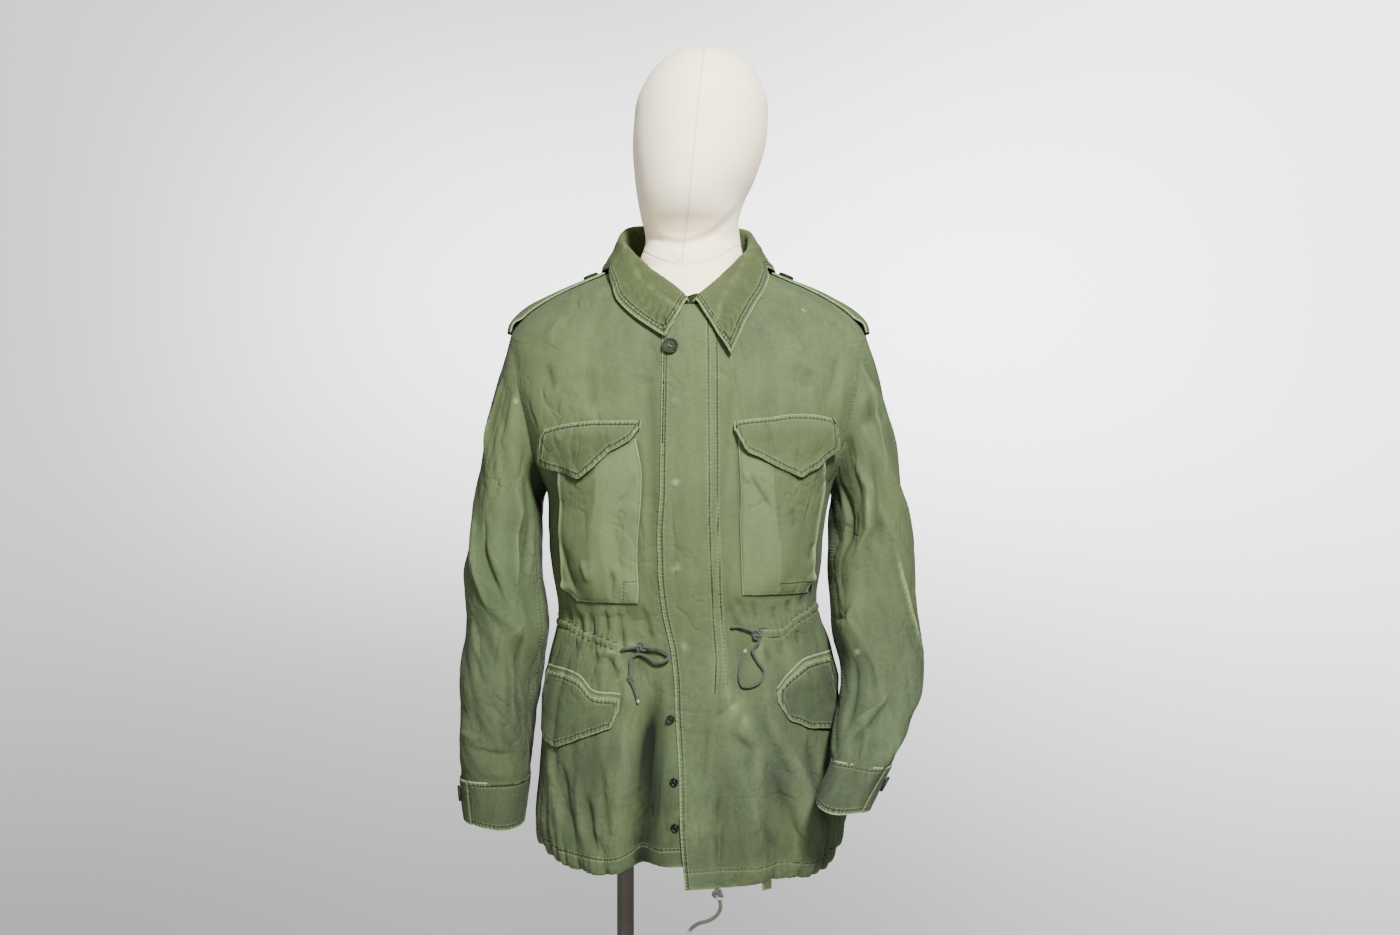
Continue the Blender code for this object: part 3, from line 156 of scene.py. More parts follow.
FORM_EASE = Table(  # between the jacket and the form
    ("z", "ease"),
    (868, 30), (960, 27), (1010, 18), (1060, 12), (1095, 9), (1140, 10), (1200, 12), (1300, 10), (1380, 10),
    (1430, 6), (1455, 1.5), (1480, 1.2), (1492, 2), (1502, 4),
)
NECKLINE = Table(
    ("around", "z"),
    (0, 1455), (150, 1460), (300, 1471), (500, 1488), (700, 1501), (1000, 1511), (1500, 1520), (2000, 1523),
)
NECK_TOP = float(NECKLINE("z", 1.0))
FLY_EDGE = Table(
    ("z", "x"),
    (760, -3), (805, -8), (860, -12), (940, -14.5), (1000, -17), (1042, -21), (1100, -28.5), (1440, -30),
)
HEM = {
    +1: Table(
        ("around", "z"),
        (-200, 780), (150, 784), (350, 788), (500, 786), (650, 793), (800, 808), (1000, 824), (2000, 814),
    ),
    -1: Table(
        ("around", "z"),
        (-200, 806), (150, 808), (240, 799), (320, 794), (500, 796), (650, 801), (800, 812), (1000, 824),
        (2000, 814),
    ),
}
# The largest folds: a line on the body seen from the front or the back, half width, push outward.
FRONT_FOLDS = thousandths(
    (-41, 995, -67, 770, 15.5, -28), (-20, 940, -26, 790, 12, 4), (-88, 920, -70, 790, 16, 6),
    (30, 975, 20, 800, 22, -5), (78, 945, 72, 790, 16, 6), (105, 925, 112, 790, 14, -6),
    (135, 925, 142, 800, 14, 5), (-68, 1100, -52, 1030, 12, -4), (-122, 1100, -112, 1040, 14, -4),
    (50, 1120, 66, 1040, 14, -5), (30, 1060, 42, 960, 18, 4), (-36, 1420, -34, 1240, 14, -3),
    (110, 1420, 85, 1340, 22, 3), (-110, 1420, -95, 1340, 22, -3),
)
BACK_FOLDS = thousandths(
    (-100, 1380, -55, 1230, 22, 5), (110, 1370, 65, 1220, 22, 5), (-40, 1140, -30, 1050, 18, -5),
    (55, 1150, 40, 1050, 18, -5), (-105, 1140, -90, 1050, 18, 5), (-60, 990, -74, 810, 20, 7),
    (12, 1000, 4, 810, 18, -7), (85, 980, 97, 810, 20, 7),
)
# Creases: the half width, how far each stands out or in, and the points that it runs through.
FRONT_CREASES = creases(
    (14, -2, -115, 1389, -111, 1343, -113, 1326), (9, -1.5, -167, 1389, -157, 1352),
    (6, -0.8, -69, 1370, -32, 1364), (8, -2, -46, 1401, -41, 1308, -38, 1158),
    (8, 1, -60, 1306, -49, 1204, -44, 1112), (16, -1.5, -90, 1470, -104, 1450, -113, 1407),
    (14, 1.5, -148, 1450, -165, 1401), (12, -1.8, 144, 1384, 137, 1352),
    (9, -1.6, 182, 1407, 170, 1360, 159, 1331), (12, -1.2, 55, 1401, 46, 1320, 42, 1227),
    (16, 1.5, 83, 1450, 118, 1412, 130, 1366), (4, -2.2, -129, 1098, -128, 1060),
    (4, -1.6, -115, 1094, -111, 1060), (4, -1.8, -98, 1100, -93, 1066), (4, -1.8, -144, 1106, -141, 1077),
    (5, -1.6, -81, 1106, -76, 1066, -73, 1048), (4, -2, -96, 1054, -85, 1029, -76, 1000),
    (4, -1.5, -113, 1056, -104, 1033), (4, -1.5, -136, 1066, -132, 1037),
    (5, 1.2, -83, 1054, -71, 1019, -67, 979), (7, -2, -55, 1112, -46, 1077, -38, 1054),
    (5, -2.2, 46, 1112, 55, 1091, 66, 1066), (5, -1.6, 57, 1116, 72, 1083), (4, -1.4, 74, 1112, 81, 1083),
    (4, -1.6, 118, 1112, 122, 1089), (4, -1.6, 134, 1115, 137, 1098), (4, -1.4, 101, 1106, 104, 1082),
    (4, -1.6, 90, 1060, 97, 1033), (4, -1.4, 112, 1066, 111, 1042), (4, -1.4, 130, 1075, 133, 1056),
    (10, -1.8, 28, 1002, 21, 950, 14, 881), (5, -1.5, 58, 996, 40, 982, 28, 971),
    (7, -2.2, 43, 965, 74, 942, 66, 896), (6, -2, 81, 985, 104, 938, 124, 896),
    (7, -2.2, 97, 927, 120, 866, 139, 803), (5, -1.8, 81, 866, 95, 834, 109, 819),
    (7, 2, 70, 892, 83, 846, 89, 802), (10, 3, 118, 950, 137, 892, 153, 823),
    (7, -3, 139, 956, 155, 892, 164, 840), (8, 1.2, 3, 892, 11, 834, 14, 802),
    (9, -1.5, 37, 904, 40, 857, 33, 805), (9, 3, -76, 985, -69, 915, -73, 842),
    (8, -2, -102, 938, -95, 881, -88, 823), (8, -3, -119, 892, -111, 846, -98, 808),
    (9, -2.5, -148, 927, -141, 869, -127, 823), (8, 2.5, -130, 915, -125, 857, -113, 811),
    (8, 2, -162, 938, -157, 881, -148, 834), (6, -1.5, -63, 915, -62, 846, -60, 802),
    (6, 1.5, -26, 938, -28, 881, -32, 805),
)
BACK_CREASES = creases(
    (12, -2.2, -140, 1390, -120, 1340, -112, 1290), (12, -2.4, 150, 1385, 128, 1330, 118, 1270),
    (16, -1.4, -30, 1430, -20, 1360, -28, 1280), (15, 1.6, 45, 1420, 36, 1330, 40, 1250),
    (12, -1.8, 0, 1300, 6, 1220, -4, 1150), (9, -2.6, -90, 1230, -72, 1170, -66, 1100),
    (9, -2.6, 96, 1240, 82, 1180, 78, 1105), (7, 2.2, -128, 1200, -118, 1140, -112, 1095),
    (7, 2, 125, 1190, 116, 1140, 110, 1095), (5, -2.2, 20, 1130, 26, 1095, 22, 1066),
    (5, -2, -14, 1126, -10, 1092, -16, 1064), (5, -2, -56, 1118, -52, 1088), (5, -1.8, 60, 1122, 64, 1090),
    (4, -1.8, 98, 1112, 96, 1086), (4, -1.8, -94, 1110, -90, 1084), (6, -2, -36, 1060, -44, 1020, -40, 975),
    (6, -2.2, 34, 1062, 44, 1015, 52, 960), (5, -1.6, 76, 1060, 86, 1026), (5, -1.6, -80, 1060, -92, 1020),
    (6, 1.8, 0, 1056, 6, 1010, -2, 960), (10, -3.4, -110, 980, -124, 900, -118, 830),
    (9, -2.8, -30, 940, -38, 880, -34, 825), (9, -3, 46, 930, 52, 870, 46, 822),
    (10, -3.2, 120, 970, 134, 890, 128, 830), (6, 2.2, -88, 890, -96, 850, -92, 822),
    (7, 2, 20, 900, 26, 850, 22, 820), (8, 2.2, -145, 930, -152, 880, -148, 835),
    (8, 2.4, 148, 940, 158, 880, 152, 835),
)
SLEEVE_CREASES = {
    -1: creases(
        (9, 3, 271, 1257, 331, 1213, 343, 1109), (7, -3, 324, 1262, 396, 1203, 384, 1121),
        (8, -2.5, 163, 1213, 193, 1167, 288, 1095), (9, 2, 95, 1227, 144, 1156, 219, 1086),
        (7, 1.5, 97, 1384, 90, 1325, 116, 1262), (9, -1.5, 198, 1403, 181, 1344, 202, 1286),
        (6, -1.5, 153, 1045, 204, 1015, 239, 1005), (8, 1.5, 109, 1086, 181, 1039),
        (9, -2, 273, 1062, 315, 1004, 316, 945), (4, -0.7, 114, 937, 254, 927, 380, 924),
        (4, 1, 85, 951, 227, 943), (6, -2, 335, 1086, 348, 992, 405, 921),
        (10, -3, 640, 1240, 700, 1150, 760, 1080), (10, 2.6, 820, 1200, 760, 1120, 700, 1060),
        (7, -2.4, 600, 1110, 680, 1070, 800, 1056), (8, -2.2, 880, 1050, 780, 1020, 660, 1010),
        (7, 1.8, 700, 990, 800, 960, 880, 940),
    ),
    +1: creases(
        (9, 2, 408, 1307, 267, 1338, 77, 1361), (8, -1.8, 362, 1291, 224, 1320, 17, 1338),
        (9, 4, 314, 1284, 276, 1240, 290, 1192, 339, 1151), (8, -4, 392, 1250, 352, 1204, 383, 1157),
        (9, -2, 238, 1262, 234, 1204, 249, 1157), (5, 2, 197, 1177, 172, 1133, 62, 1034),
        (6, -1.5, 135, 1157, 108, 1099, 32, 1053), (5, -1.5, 439, 1082, 367, 1088, 326, 1111),
        (6, -2, 226, 994, 281, 969, 361, 945), (6, 1.5, 218, 1006, 283, 985, 359, 969),
        (6, -2, 55, 1008, 73, 977, 77, 949), (9, 1.5, 317, 1064, 268, 1006, 227, 972),
        (8, -2, 359, 1047, 365, 995, 371, 954), (10, -3, 640, 1230, 690, 1150, 780, 1090),
        (10, 2.6, 840, 1190, 760, 1110, 700, 1040), (7, -2.4, 620, 1090, 720, 1060, 860, 1050),
        (8, -2.2, 900, 1030, 800, 1000, 700, 985),
    ),
}


def lattice_noise(u, v, around, seed):
    """Soft noise of about one to either side of nothing, on a lattice that joins up round u = 1."""
    lattice = np.random.RandomState(seed).uniform(-1, 1, (around, 97))
    a = np.asarray(u, float) * around
    b = np.asarray(v, float)
    i, j = np.floor(a).astype(int), np.floor(b).astype(int)
    f, g = a - i, b - j
    f, g = f * f * (3 - 2 * f), g * g * (3 - 2 * g)
    i0, i1, j0, j1 = i % around, (i + 1) % around, j % 97, (j + 1) % 97
    low = lattice[i0, j0] * (1 - f) + lattice[i1, j0] * f
    high = lattice[i0, j1] * (1 - f) + lattice[i1, j1] * f
    return low * (1 - g) + high * g


def fold_height(x, z, folds):
    """How far the large folds push the cloth out at a place seen from the front or back."""
    height = np.zeros(np.broadcast(x, z).shape)
    for x0, z0, x1, z1, half_width, depth in folds:
        along = np.array([x1 - x0, z1 - z0])
        length = np.hypot(*along)
        share = ((x - x0) * along[0] + (z - z0) * along[1]) / length**2
        aside = ((x - x0) * along[1] - (z - z0) * along[0]) / length
        ends = smooth(-0.15, 0.25, share) * smooth(1.20, 0.80, share)
        height = height + depth * ends * bell(aside, half_width)
    return height


CREASE_STRENGTH = 2.6


def crease_height(x, z, creases):
    """Sharp troughs and ridges, steeper on one side, dying out at both ends."""
    x, z = np.broadcast_arrays(x, z)
    height = np.zeros(x.shape)
    for points, half_width, depth in creases:
        low, high = points.min(0) - 3 * half_width, points.max(0) + 3 * half_width
        near = (x > low[0]) & (x < high[0]) & (z > low[1]) & (z < high[1])
        if not near.any():
            continue
        px, pz = x[near], z[near]
        best, at, easy = np.full(px.shape, 1e9), np.zeros(px.shape), np.zeros(px.shape)
        legs = np.diff(points, axis=0)
        lengths = np.hypot(legs[:, 0], legs[:, 1])
        before = np.concatenate([[0.0], np.cumsum(lengths)])
        for foot, leg, length, start in zip(points, legs, lengths, before):
            share = np.clip(((px - foot[0]) * leg[0] + (pz - foot[1]) * leg[1]) / length**2, 0, 1)
            away = np.hypot(px - foot[0] - share * leg[0], pz - foot[1] - share * leg[1])
            closer = away < best
            best[closer] = away[closer]
            at[closer] = (start + share * length)[closer] / before[-1]
            easy[closer] = ((px - foot[0]) * leg[1] - (pz - foot[1]) * leg[0] > 0)[closer]
        swell = smooth(0.0, 0.35, at) * smooth(1.0, 0.65, at)
        width = half_width * (0.50 + 0.35 * swell) * (0.55 + 0.80 * easy)
        soft = np.sqrt((best / width) ** 2 + 0.02) - 0.141
        height[near] += CREASE_STRENGTH * depth * swell * np.exp(-(soft**1.15))
    return height


def ring(turn, z):
    """A point of the plain body: turn is 0 at centre front, 0.25 at the left side, 0.5 behind."""
    angle = 2 * np.pi * np.asarray(turn, float)
    square = BODY("square", z)
    aside = (np.sin(angle) + square * np.sin(3 * angle)) / (1 - square)
    ahead = (np.cos(angle) - square * np.cos(3 * angle)) / (1 - square)
    x = BODY("middle", z) + BODY("half_width", z) * aside
    depth = np.where(ahead > 0, BODY("front", z), BODY("back", z))
    return np.stack(np.broadcast_arrays(x, -depth * ahead, z), axis=-1)


def body_normal(turn, z):
    small = 1e-4
    around = ring(turn + small, z) - ring(turn - small, z)
    upward = ring(turn, z + small) - ring(turn, z - small)
    return unit(np.cross(around, upward))


def crumple(u, v, around, seed):
    """Flat places that meet in crisp ridges and folds, of about 1 to either side of nothing."""
    warp = 0.35 * lattice_noise(u, v * 0.7 + 1.3, around, seed + 5)
    ridges = 1 - 2.2 * np.abs(lattice_noise(u, v + warp, around, seed))
    hollows = 2.2 * np.abs(lattice_noise(u, v * 1.6 + warp + 9.1, around * 2, seed + 1)) - 1
    return 0.65 * ridges + 0.35 * hollows


LOOSE_AT = (0.80, 0.98, 1.06, 1.12, 1.20, 1.36, 1.44)
LOOSENESS = (2.6, 2.4, 2.0, 1.6, 0.9, 0.8, 0.0)


def drape(turn, z, point):
    """How far the hanging cloth stands off the plain body."""
    x = point[..., 0]
    ahead = point[..., 1] < 0
    folds = np.where(ahead, fold_height(x, z, FRONT_FOLDS), fold_height(x, z, BACK_FOLDS))
    creases = np.where(ahead, crease_height(x, z, FRONT_CREASES), crease_height(x, z, BACK_CREASES))
    looseness = np.interp(z, LOOSE_AT, LOOSENESS) * (0.35 + 0.65 * smooth(0.015, 0.060, np.abs(x)))
    height = (z - 1.0) / np.where(z > 1.0, 0.085, 0.190)
    uneven = 0.0016 * crumple(turn, height + turn * 3, 18, 3) * looseness
    push = (folds + creases) * smooth(0.0, 0.035, np.abs(point[..., 1])) + uneven
    room = FORM_EASE("ease", z) * 0.85
    return np.where(push < 0, room * np.tanh(push / room), push)


def body(turn, z, out=0.0):
    """A point of the draped body, moved out along the plain body's normal."""
    turn, z = np.broadcast_arrays(np.asarray(turn, float), np.asarray(z, float))
    point = ring(turn, z)
    push = drape(turn, z, point) + out
    return point + body_normal(turn, z) * push[..., None]


def turn_at_x(x, z):
    """The turn on the front that is this far to the side of the centre."""
    x, z = np.broadcast_arrays(np.asarray(x, float), np.asarray(z, float))
    square, wide = BODY("square", z), BODY("half_width", z)
    low, high = np.full(x.shape, -0.06), np.full(x.shape, 0.25)
    for _ in range(34):
        middle = (low + high) / 2
        angle = 2 * np.pi * middle
        beyond = wide * (np.sin(angle) + square * np.sin(3 * angle)) / (1 - square) > x
        high, low = np.where(beyond, middle, high), np.where(beyond, low, middle)
    return (low + high) / 2


def armhole_turn(z, facing):
    """Turn of the armhole's edge at a height, on its front (-1) or its back (+1)."""
    middle, half = (SHOULDER_Z + ARMPIT_Z) / 2, (SHOULDER_Z - ARMPIT_Z) / 2
    depth = ARMHOLE_FRONT if facing < 0 else ARMHOLE_BACK
    reach = depth * np.sqrt(max(1 - ((z - middle) / half) ** 2, 0.0))
    turns = np.linspace(0.25, 0.25 + facing * 0.20, 61)
    return float(np.interp(reach, np.abs(ring(turns, z)[:, 1]), turns))


def outer_turn(z, facing):
    """Turn of a panel's outer edge: side seam, armhole, then shoulder seam."""
    seam_half = SEAM_GAP / 2 / (2 * np.pi * float(BODY("front" if facing < 0 else "back", z)))
    in_armhole = ARMPIT_Z < z < SHOULDER_Z
    return (armhole_turn(z, facing) if in_armhole else 0.25) + facing * seam_half


# ---------------------------------------------------------------- shader maths
class Wire:
    """A shader value. Sums and products of wires add the Math nodes for them."""

    def __init__(self, finish, socket):
        self.finish, self.socket = finish, socket

    def maths(self, operation, first, second=None):
        return self.finish.node("ShaderNodeMath", {"operation": operation}, first, second)

    def __add__(self, other):
        return self.maths("ADD", self, other)

    def __sub__(self, other):
        return self.maths("SUBTRACT", self, other)

    def __rsub__(self, other):
        return self.maths("SUBTRACT", other, self)

    def __mul__(self, other):
        return self.maths("MULTIPLY", self, other)

    def __abs__(self):
        return self.maths("ABSOLUTE", self)

    __radd__ = __add__
    __rmul__ = __mul__

    def sine(self):
        return self.maths("SINE", self)

    def held(self):
        """Kept from 0 to 1."""
        return self.between(0.0, 1.0, "LINEAR")

    def between(self, low, high, curve="SMOOTHSTEP"):
        """0 at low and 1 at high; low may be the larger."""
        ends = (low, high, 0.0, 1.0) if low < high else (high, low, 1.0, 0.0)
        settings = {"interpolation_type": curve, "clamp": True}
        return self.finish.node("ShaderNodeMapRange", settings, self, *ends)


class Tree:
    """A node tree that is being built."""

    def __init__(self, tree):
        self.tree = tree

    def node(self, kind, settings, *values, out=0, **named):
        made = self.tree.nodes.new(kind)
        for key, value in settings.items():
            setattr(made, key, value)
        pairs = [(made.inputs[i], value) for i, value in enumerate(values)]
        pairs += [(made.inputs[key], value) for key, value in named.items()]
        for socket, value in pairs:
            if isinstance(value, Wire):
                self.tree.links.new(value.socket, socket)
            elif value is not None:
                socket.default_value = value
        return Wire(self, made.outputs[out])


class Finish(Tree):
    """A material under construction."""

    def __init__(self, name, colour=(0.5, 0.5, 0.5), **constants):
        self.material = bpy.data.materials.new(name)
        self.material.use_nodes = True
        self.tree = self.material.node_tree
        self.shader = self.tree.nodes["Principled BSDF"]
        self.shader.inputs["Base Color"].default_value = (*colour, 1.0)
        self.material.diffuse_color = (*colour, 1.0)
        for key, value in constants.items():
            self.shader.inputs[key.replace("_", " ").title().replace("Ior", "IOR")].default_value = value
        self.where = self.node("ShaderNodeTexCoord", {}, out="Object")

    def attribute(self, name):
        return self.node("ShaderNodeAttribute", {"attribute_name": name}, out="Fac")

    def stretched(self, scale, vector=None):
        return self.node("ShaderNodeMapping", {}, Vector=vector or self.where, Scale=scale)

    def noise(self, scale, detail=2.0, roughness=0.5, vector=None):
        """About 0.5, from 0 to 1."""
        vector = vector or self.where
        return self.node(
            "ShaderNodeTexNoise", {}, Vector=vector, Scale=scale, Detail=detail, Roughness=roughness
        )

    def blend(self, factor, first, second, mode="MIX"):
        """Two colours, the second by the factor."""
        made = self.tree.nodes.new("ShaderNodeMix")
        made.data_type, made.blend_type, made.clamp_factor = "RGBA", mode, True
        for socket, value in zip((made.inputs[0], made.inputs[6], made.inputs[7]), (factor, first, second)):
            if isinstance(value, Wire):
                self.tree.links.new(value.socket, socket)
            else:
                socket.default_value = (*value, 1.0) if isinstance(value, tuple) else value
        return Wire(self, made.outputs[2])

    def give(self, socket, value):
        self.tree.links.new(value.socket, self.shader.inputs[socket])

    def bumps(self, height, strength=1.0):
        """Relief, its height in metres."""
        self.give("Normal", self.node("ShaderNodeBump", {}, Height=height, Distance=1.0, Strength=strength))


# ---------------------------------------------------------------- finishes
CLOTH_SHADE = (0.0365, 0.0460, 0.0290)
CLOTH_LIGHT = (0.0785, 0.1085, 0.0465)
CLOTH_FADED = (0.108, 0.148, 0.066)
# Pale rubbed cloth; the finish also uses it for the painted highlight on ridges.
CLOTH_PALE_WEAR_AND_HIGHLIGHT = (0.230, 0.285, 0.145)
# The colour of painted shade in creases, folds, stitch grooves and pucker troughs.
CLOTH_PAINTED_SHADE = (0.0088, 0.0122, 0.0072)
THREAD_COLOUR = (0.120, 0.155, 0.075)
PUCKER_PITCH = 0.0047


WARM_TINT = (1.05, 1.0, 0.90)
COOL_TINT = (0.86, 0.91, 0.98)


def sateen(name, stitched=(), pale=1.0, colour_scale=(1.0, 1.0, 1.0), combed=0.0):
    """Faded cotton sateen, its stitch lines at distances from the edge and puckered up to combed, with painted
    shade in creases, folds, stitch grooves and pucker troughs, painted shade that darkens it lower down, and a
    painted highlight on ridges.
    """
    shade = tuple(a * b for a, b in zip(CLOTH_SHADE, colour_scale))
    light = tuple(a * b for a, b in zip(CLOTH_LIGHT, colour_scale))
    made = Finish(name, CLOTH_LIGHT, roughness=0.85, specular_ior_level=0.06, sheen_weight=0.02)
    keys = ("edge", "run", "worn", "seam", "relief")
    edge, run, worn, seam, painted_crease_shade = (made.attribute(key) for key in keys)
    broad = made.noise(7.0, 3.0, 0.55)
    streaks = made.noise(1.0, 3.0, 0.6, made.stretched((60.0, 60.0, 9.0)))
    fine = made.noise(230.0, 3.0, 0.65)
    tone = 0.70 + (broad - 0.5) * 1.15 + (streaks - 0.5) * 0.72 + (fine - 0.5) * 0.62
    # Painted shade: the cloth is darker lower down, from 1.18 m to 0.92 m.
    height = made.node("ShaderNodeSeparateXYZ", {}, made.where, out="Z")
    tone = tone - height.between(1.18, 0.92) * 0.40
    colour = made.blend(tone.held(), shade, light)
    warm, cool = made.noise(4.5, 2.0).between(0.40, 0.66), made.noise(17.0, 3.0, 0.6).between(0.50, 0.72)
    colour = made.blend(warm * 0.6, colour, WARM_TINT, "MULTIPLY")
    colour = made.blend(cool * 0.5, colour, COOL_TINT, "MULTIPLY")
    cloth = made.node("ShaderNodeUVMap", {"uv_map": "cloth"})
    weave = made.noise(1.0, 2.0, 0.5, made.stretched((1500.0, 420.0, 1.0), cloth))
    ripple = (run * (2 * math.pi / PUCKER_PITCH) + (made.noise(90.0, 1.0) * 12.0)).sine()
    relief = weave * 0.00010 + fine * 0.00012
    for scale, way, size in ((1.0, (26.0, 26.0, 11.0), 0.0030), (34.0, None, 0.0016)):
        folds = made.noise(scale, 2.0, 0.45, made.stretched(way) if way else made.where)
        where = made.noise(9.0 if way else 13.0, 1.0).between(0.42, 0.62)
        relief = relief - abs(folds - 0.5).between(0.070, 0.0, "LINEAR") * where * (size * 0.42)
    rub = made.noise(420.0, 2.0, 0.6)
    # Painted shade in creases and deep folds, and a painted highlight on ridges, read from the relief
    # attribute.
    colour = made.blend((painted_crease_shade * 0.92).held(), colour, CLOTH_PAINTED_SHADE)
    colour = made.blend((painted_crease_shade * -0.34 * rub).held(), colour, CLOTH_PALE_WEAR_AND_HIGHLIGHT)
    broken = made.noise(260.0, 1.0).between(0.30, 0.55)
    if combed:
        band = edge.between(combed + 0.0008, combed - 0.0012)
        relief = relief + ripple * band * 0.00022
        high = ripple.between(0.0, 0.9) * band * rub * (0.40 * pale)
        # Painted shade in the troughs between the puckers.
        low = ripple.between(0.1, -0.9) * band * edge.between(0.0014, 0.0026) * 0.26
        colour = made.blend(high.held(), colour, CLOTH_PALE_WEAR_AND_HIGHLIGHT)
        colour = made.blend(low.held(), colour, CLOTH_PAINTED_SHADE)
    for aside in [abs(edge - offset) for offset in stitched] + [seam]:
        groove = aside.between(0.0013, 0.0005)
        lip = abs(aside - 0.0021).between(0.0010, 0.0002) * rub
        ticks = (ripple * 0.5 + 0.5) * aside.between(0.0042, 0.0012) * (rub * 0.22 * pale)
        relief = relief + ripple * aside.between(0.0052, 0.0008) * 0.00016 - groove * 0.00035
        colour = made.blend((lip * 0.16 + ticks).held(), colour, CLOTH_PALE_WEAR_AND_HIGHLIGHT)
        # Painted shade in the stitch groove.
        colour = made.blend((groove * (broken * 0.25 + 0.58)).held(), colour, CLOTH_PAINTED_SHADE)
    rim = edge.between(0.0020, 0.0010) * (0.55 + rub * 0.9) * pale
    colour = made.blend(rim.held(), colour, CLOTH_PALE_WEAR_AND_HIGHLIGHT)
    colour = made.blend((worn * 3.2).held(), colour, made.blend(tone.held(), light, CLOTH_FADED))
    colour = made.blend(((worn - 0.14) * (broken * 0.5 + rub * 0.9)).held(), colour, CLOTH_PALE_WEAR_AND_HIGHLIGHT)
    specks = made.noise(48.0, 1.0, 0.5).between(0.80, 0.84) * 0.35
    colour = made.blend(specks, colour, CLOTH_PALE_WEAR_AND_HIGHLIGHT)
    made.give("Base Color", colour)
    made.bumps(relief)
    return made.material


def thread():
    made = Finish("thread", THREAD_COLOUR, roughness=0.8)
    shade = made.noise(300.0, 2.0)
    made.give("Base Color", made.blend(shade, (0.040, 0.054, 0.026), (0.120, 0.150, 0.078)))
    return made.material


BRAID_PITCH = 0.0026


def cord_finish(name, dark, light, pale_tip=0.0):
    made = Finish(name, dark, roughness=0.9, sheen_weight=0.2)
    run, around = made.attribute("run"), made.attribute("around")
    along, round_it = run * (2 * math.pi / BRAID_PITCH), around * (2 * math.pi)
    braid = (along + round_it).sine() * (along - round_it).sine()
    grime = made.noise(140.0, 3.0, 0.6)
    tone = (grime * 0.9 + braid * 0.22 - 0.05).held()
    colour = made.blend(tone, dark, light)
    if pale_tip:
        left = made.attribute("left")
        colour = made.blend(left.between(pale_tip, pale_tip * 0.4), colour, (0.26, 0.26, 0.19))
    made.give("Base Color", colour)
    made.bumps(braid * 0.00022 + grime * 0.0001)
    return made.material


def button_finish():
    """Mottled brown-grey plastic, dulled on its high places."""
    made = Finish("button_plastic", (0.09, 0.075, 0.06), roughness=0.50, specular_ior_level=0.10)
    swirl = made.noise(1.0, 4.0, 0.6, made.stretched((260.0, 260.0, 520.0)))
    colour = made.blend(swirl.between(0.30, 0.70), (0.006, 0.0065, 0.004), (0.026, 0.031, 0.015))
    made.give("Base Color", colour)
    made.give("Roughness", made.noise(600.0, 2.0) * 0.3 + 0.42)
    made.bumps(made.noise(900.0, 2.0) * 0.00004)
    return made.material


def snap_finish():
    """Blackened brass, worn brown."""
    made = Finish("snap_brass", (0.05, 0.04, 0.035), roughness=0.45, metallic=0.8)
    wear = made.noise(500.0, 3.0, 0.6).between(0.45, 0.75)
    made.give("Base Color", made.blend(wear, (0.008, 0.007, 0.006), (0.050, 0.038, 0.030)))
    made.give("Roughness", wear * 0.25 + 0.35)
    return made.material


def form_finish():
    """Cream cotton jersey pulled tight over the form, with its sewn seams."""
    made = Finish("form_cover", (0.80, 0.74, 0.66), roughness=0.85, sheen_weight=0.08)
    broad = made.noise(6.0, 2.0)
    colour = made.blend(broad, (0.900, 0.780, 0.540), (0.970, 0.870, 0.660))
    seam = abs(made.attribute("seam"))
    groove = seam.between(0.0022, 0.0004)
    # Painted shade in the seams' grooves.
    colour = made.blend(groove * 0.30, colour, (0.42, 0.36, 0.28))
    colour = made.blend(made.noise(90.0, 3.0).between(0.62, 0.80) * 0.10, colour, (0.55, 0.48, 0.38))
    made.give("Base Color", colour)
    knit = made.noise(1.0, 1.0, 0.5, made.stretched((1300.0, 1300.0, 700.0)))
    made.bumps(knit * 0.00012 - groove * 0.0006)
    return made.material


def steel_finish():
    """Brushed nickel-plated steel, its scratches round the pole."""
    made = Finish("brushed_steel", (0.33, 0.31, 0.30), roughness=0.35, metallic=0.9)
    scratches = made.noise(1.0, 3.0, 0.7, made.stretched((90.0, 90.0, 2400.0)))
    stain = made.noise(12.0, 3.0)
    colour = made.blend(stain, (0.070, 0.062, 0.052), (0.150, 0.135, 0.118))
    made.give("Base Color", colour)
    made.give("Roughness", scratches * 0.25 + 0.26)
    made.bumps(scratches * 0.00003)
    return made.material


# ---------------------------------------------------------------- cloth shells
def lengths_along(points, axis):
    """Length along each line of a grid from its first point, evened over the grid."""
    steps = np.linalg.norm(np.diff(points, axis=axis), axis=-1)
    start = np.zeros(np.take(steps, [0], axis=axis).shape)
    return np.concatenate([start, np.cumsum(steps, axis=axis)], axis=axis)


def read_line(at, along, points):
    """Points of a line at lengths along it."""
    return np.stack([np.interp(at, along, points[:, axis]) for axis in range(3)], axis=-1)


def grid_faces(rows, columns, spans):
    """The faces of a grid of points, joined up round it where there are as many spans as columns."""
    r, c = np.meshgrid(np.arange(rows - 1), np.arange(spans), indexing="ij")
    n = (c + 1) % columns
    corners = (r * columns + c, r * columns + n, (r + 1) * columns + n, (r + 1) * columns + c)
    return np.stack(corners, -1).reshape(-1, 4)


def solid_mesh(name, points, faces, **values):
    """A smooth mesh with a number for each point under each name."""
    mesh = bpy.data.meshes.new(name)
    mesh.from_pydata(points.tolist(), [], faces)
    for key, value in values.items():
        mesh.attributes.new(key, "FLOAT", "POINT").data.foreach_set("value", value.astype(np.float32))
    mesh.shade_smooth()
    return mesh


def capped_tube(name, rings, ends, **values):
    """A tube round rings of points, closed on a point at each end."""
    count, columns = rings.shape[:2]
    faces = grid_faces(count, columns, columns).tolist()
    foot, last = count * columns, (count - 1) * columns
    for k in range(columns):
        m = (k + 1) % columns
        faces += [[m, k, foot], [last + k, last + m, foot + 1]]
    return solid_mesh(name, np.concatenate([rings.reshape(-1, 3), ends]), faces, **values)


ALL_BORDERS = ("left", "right", "foot", "top")


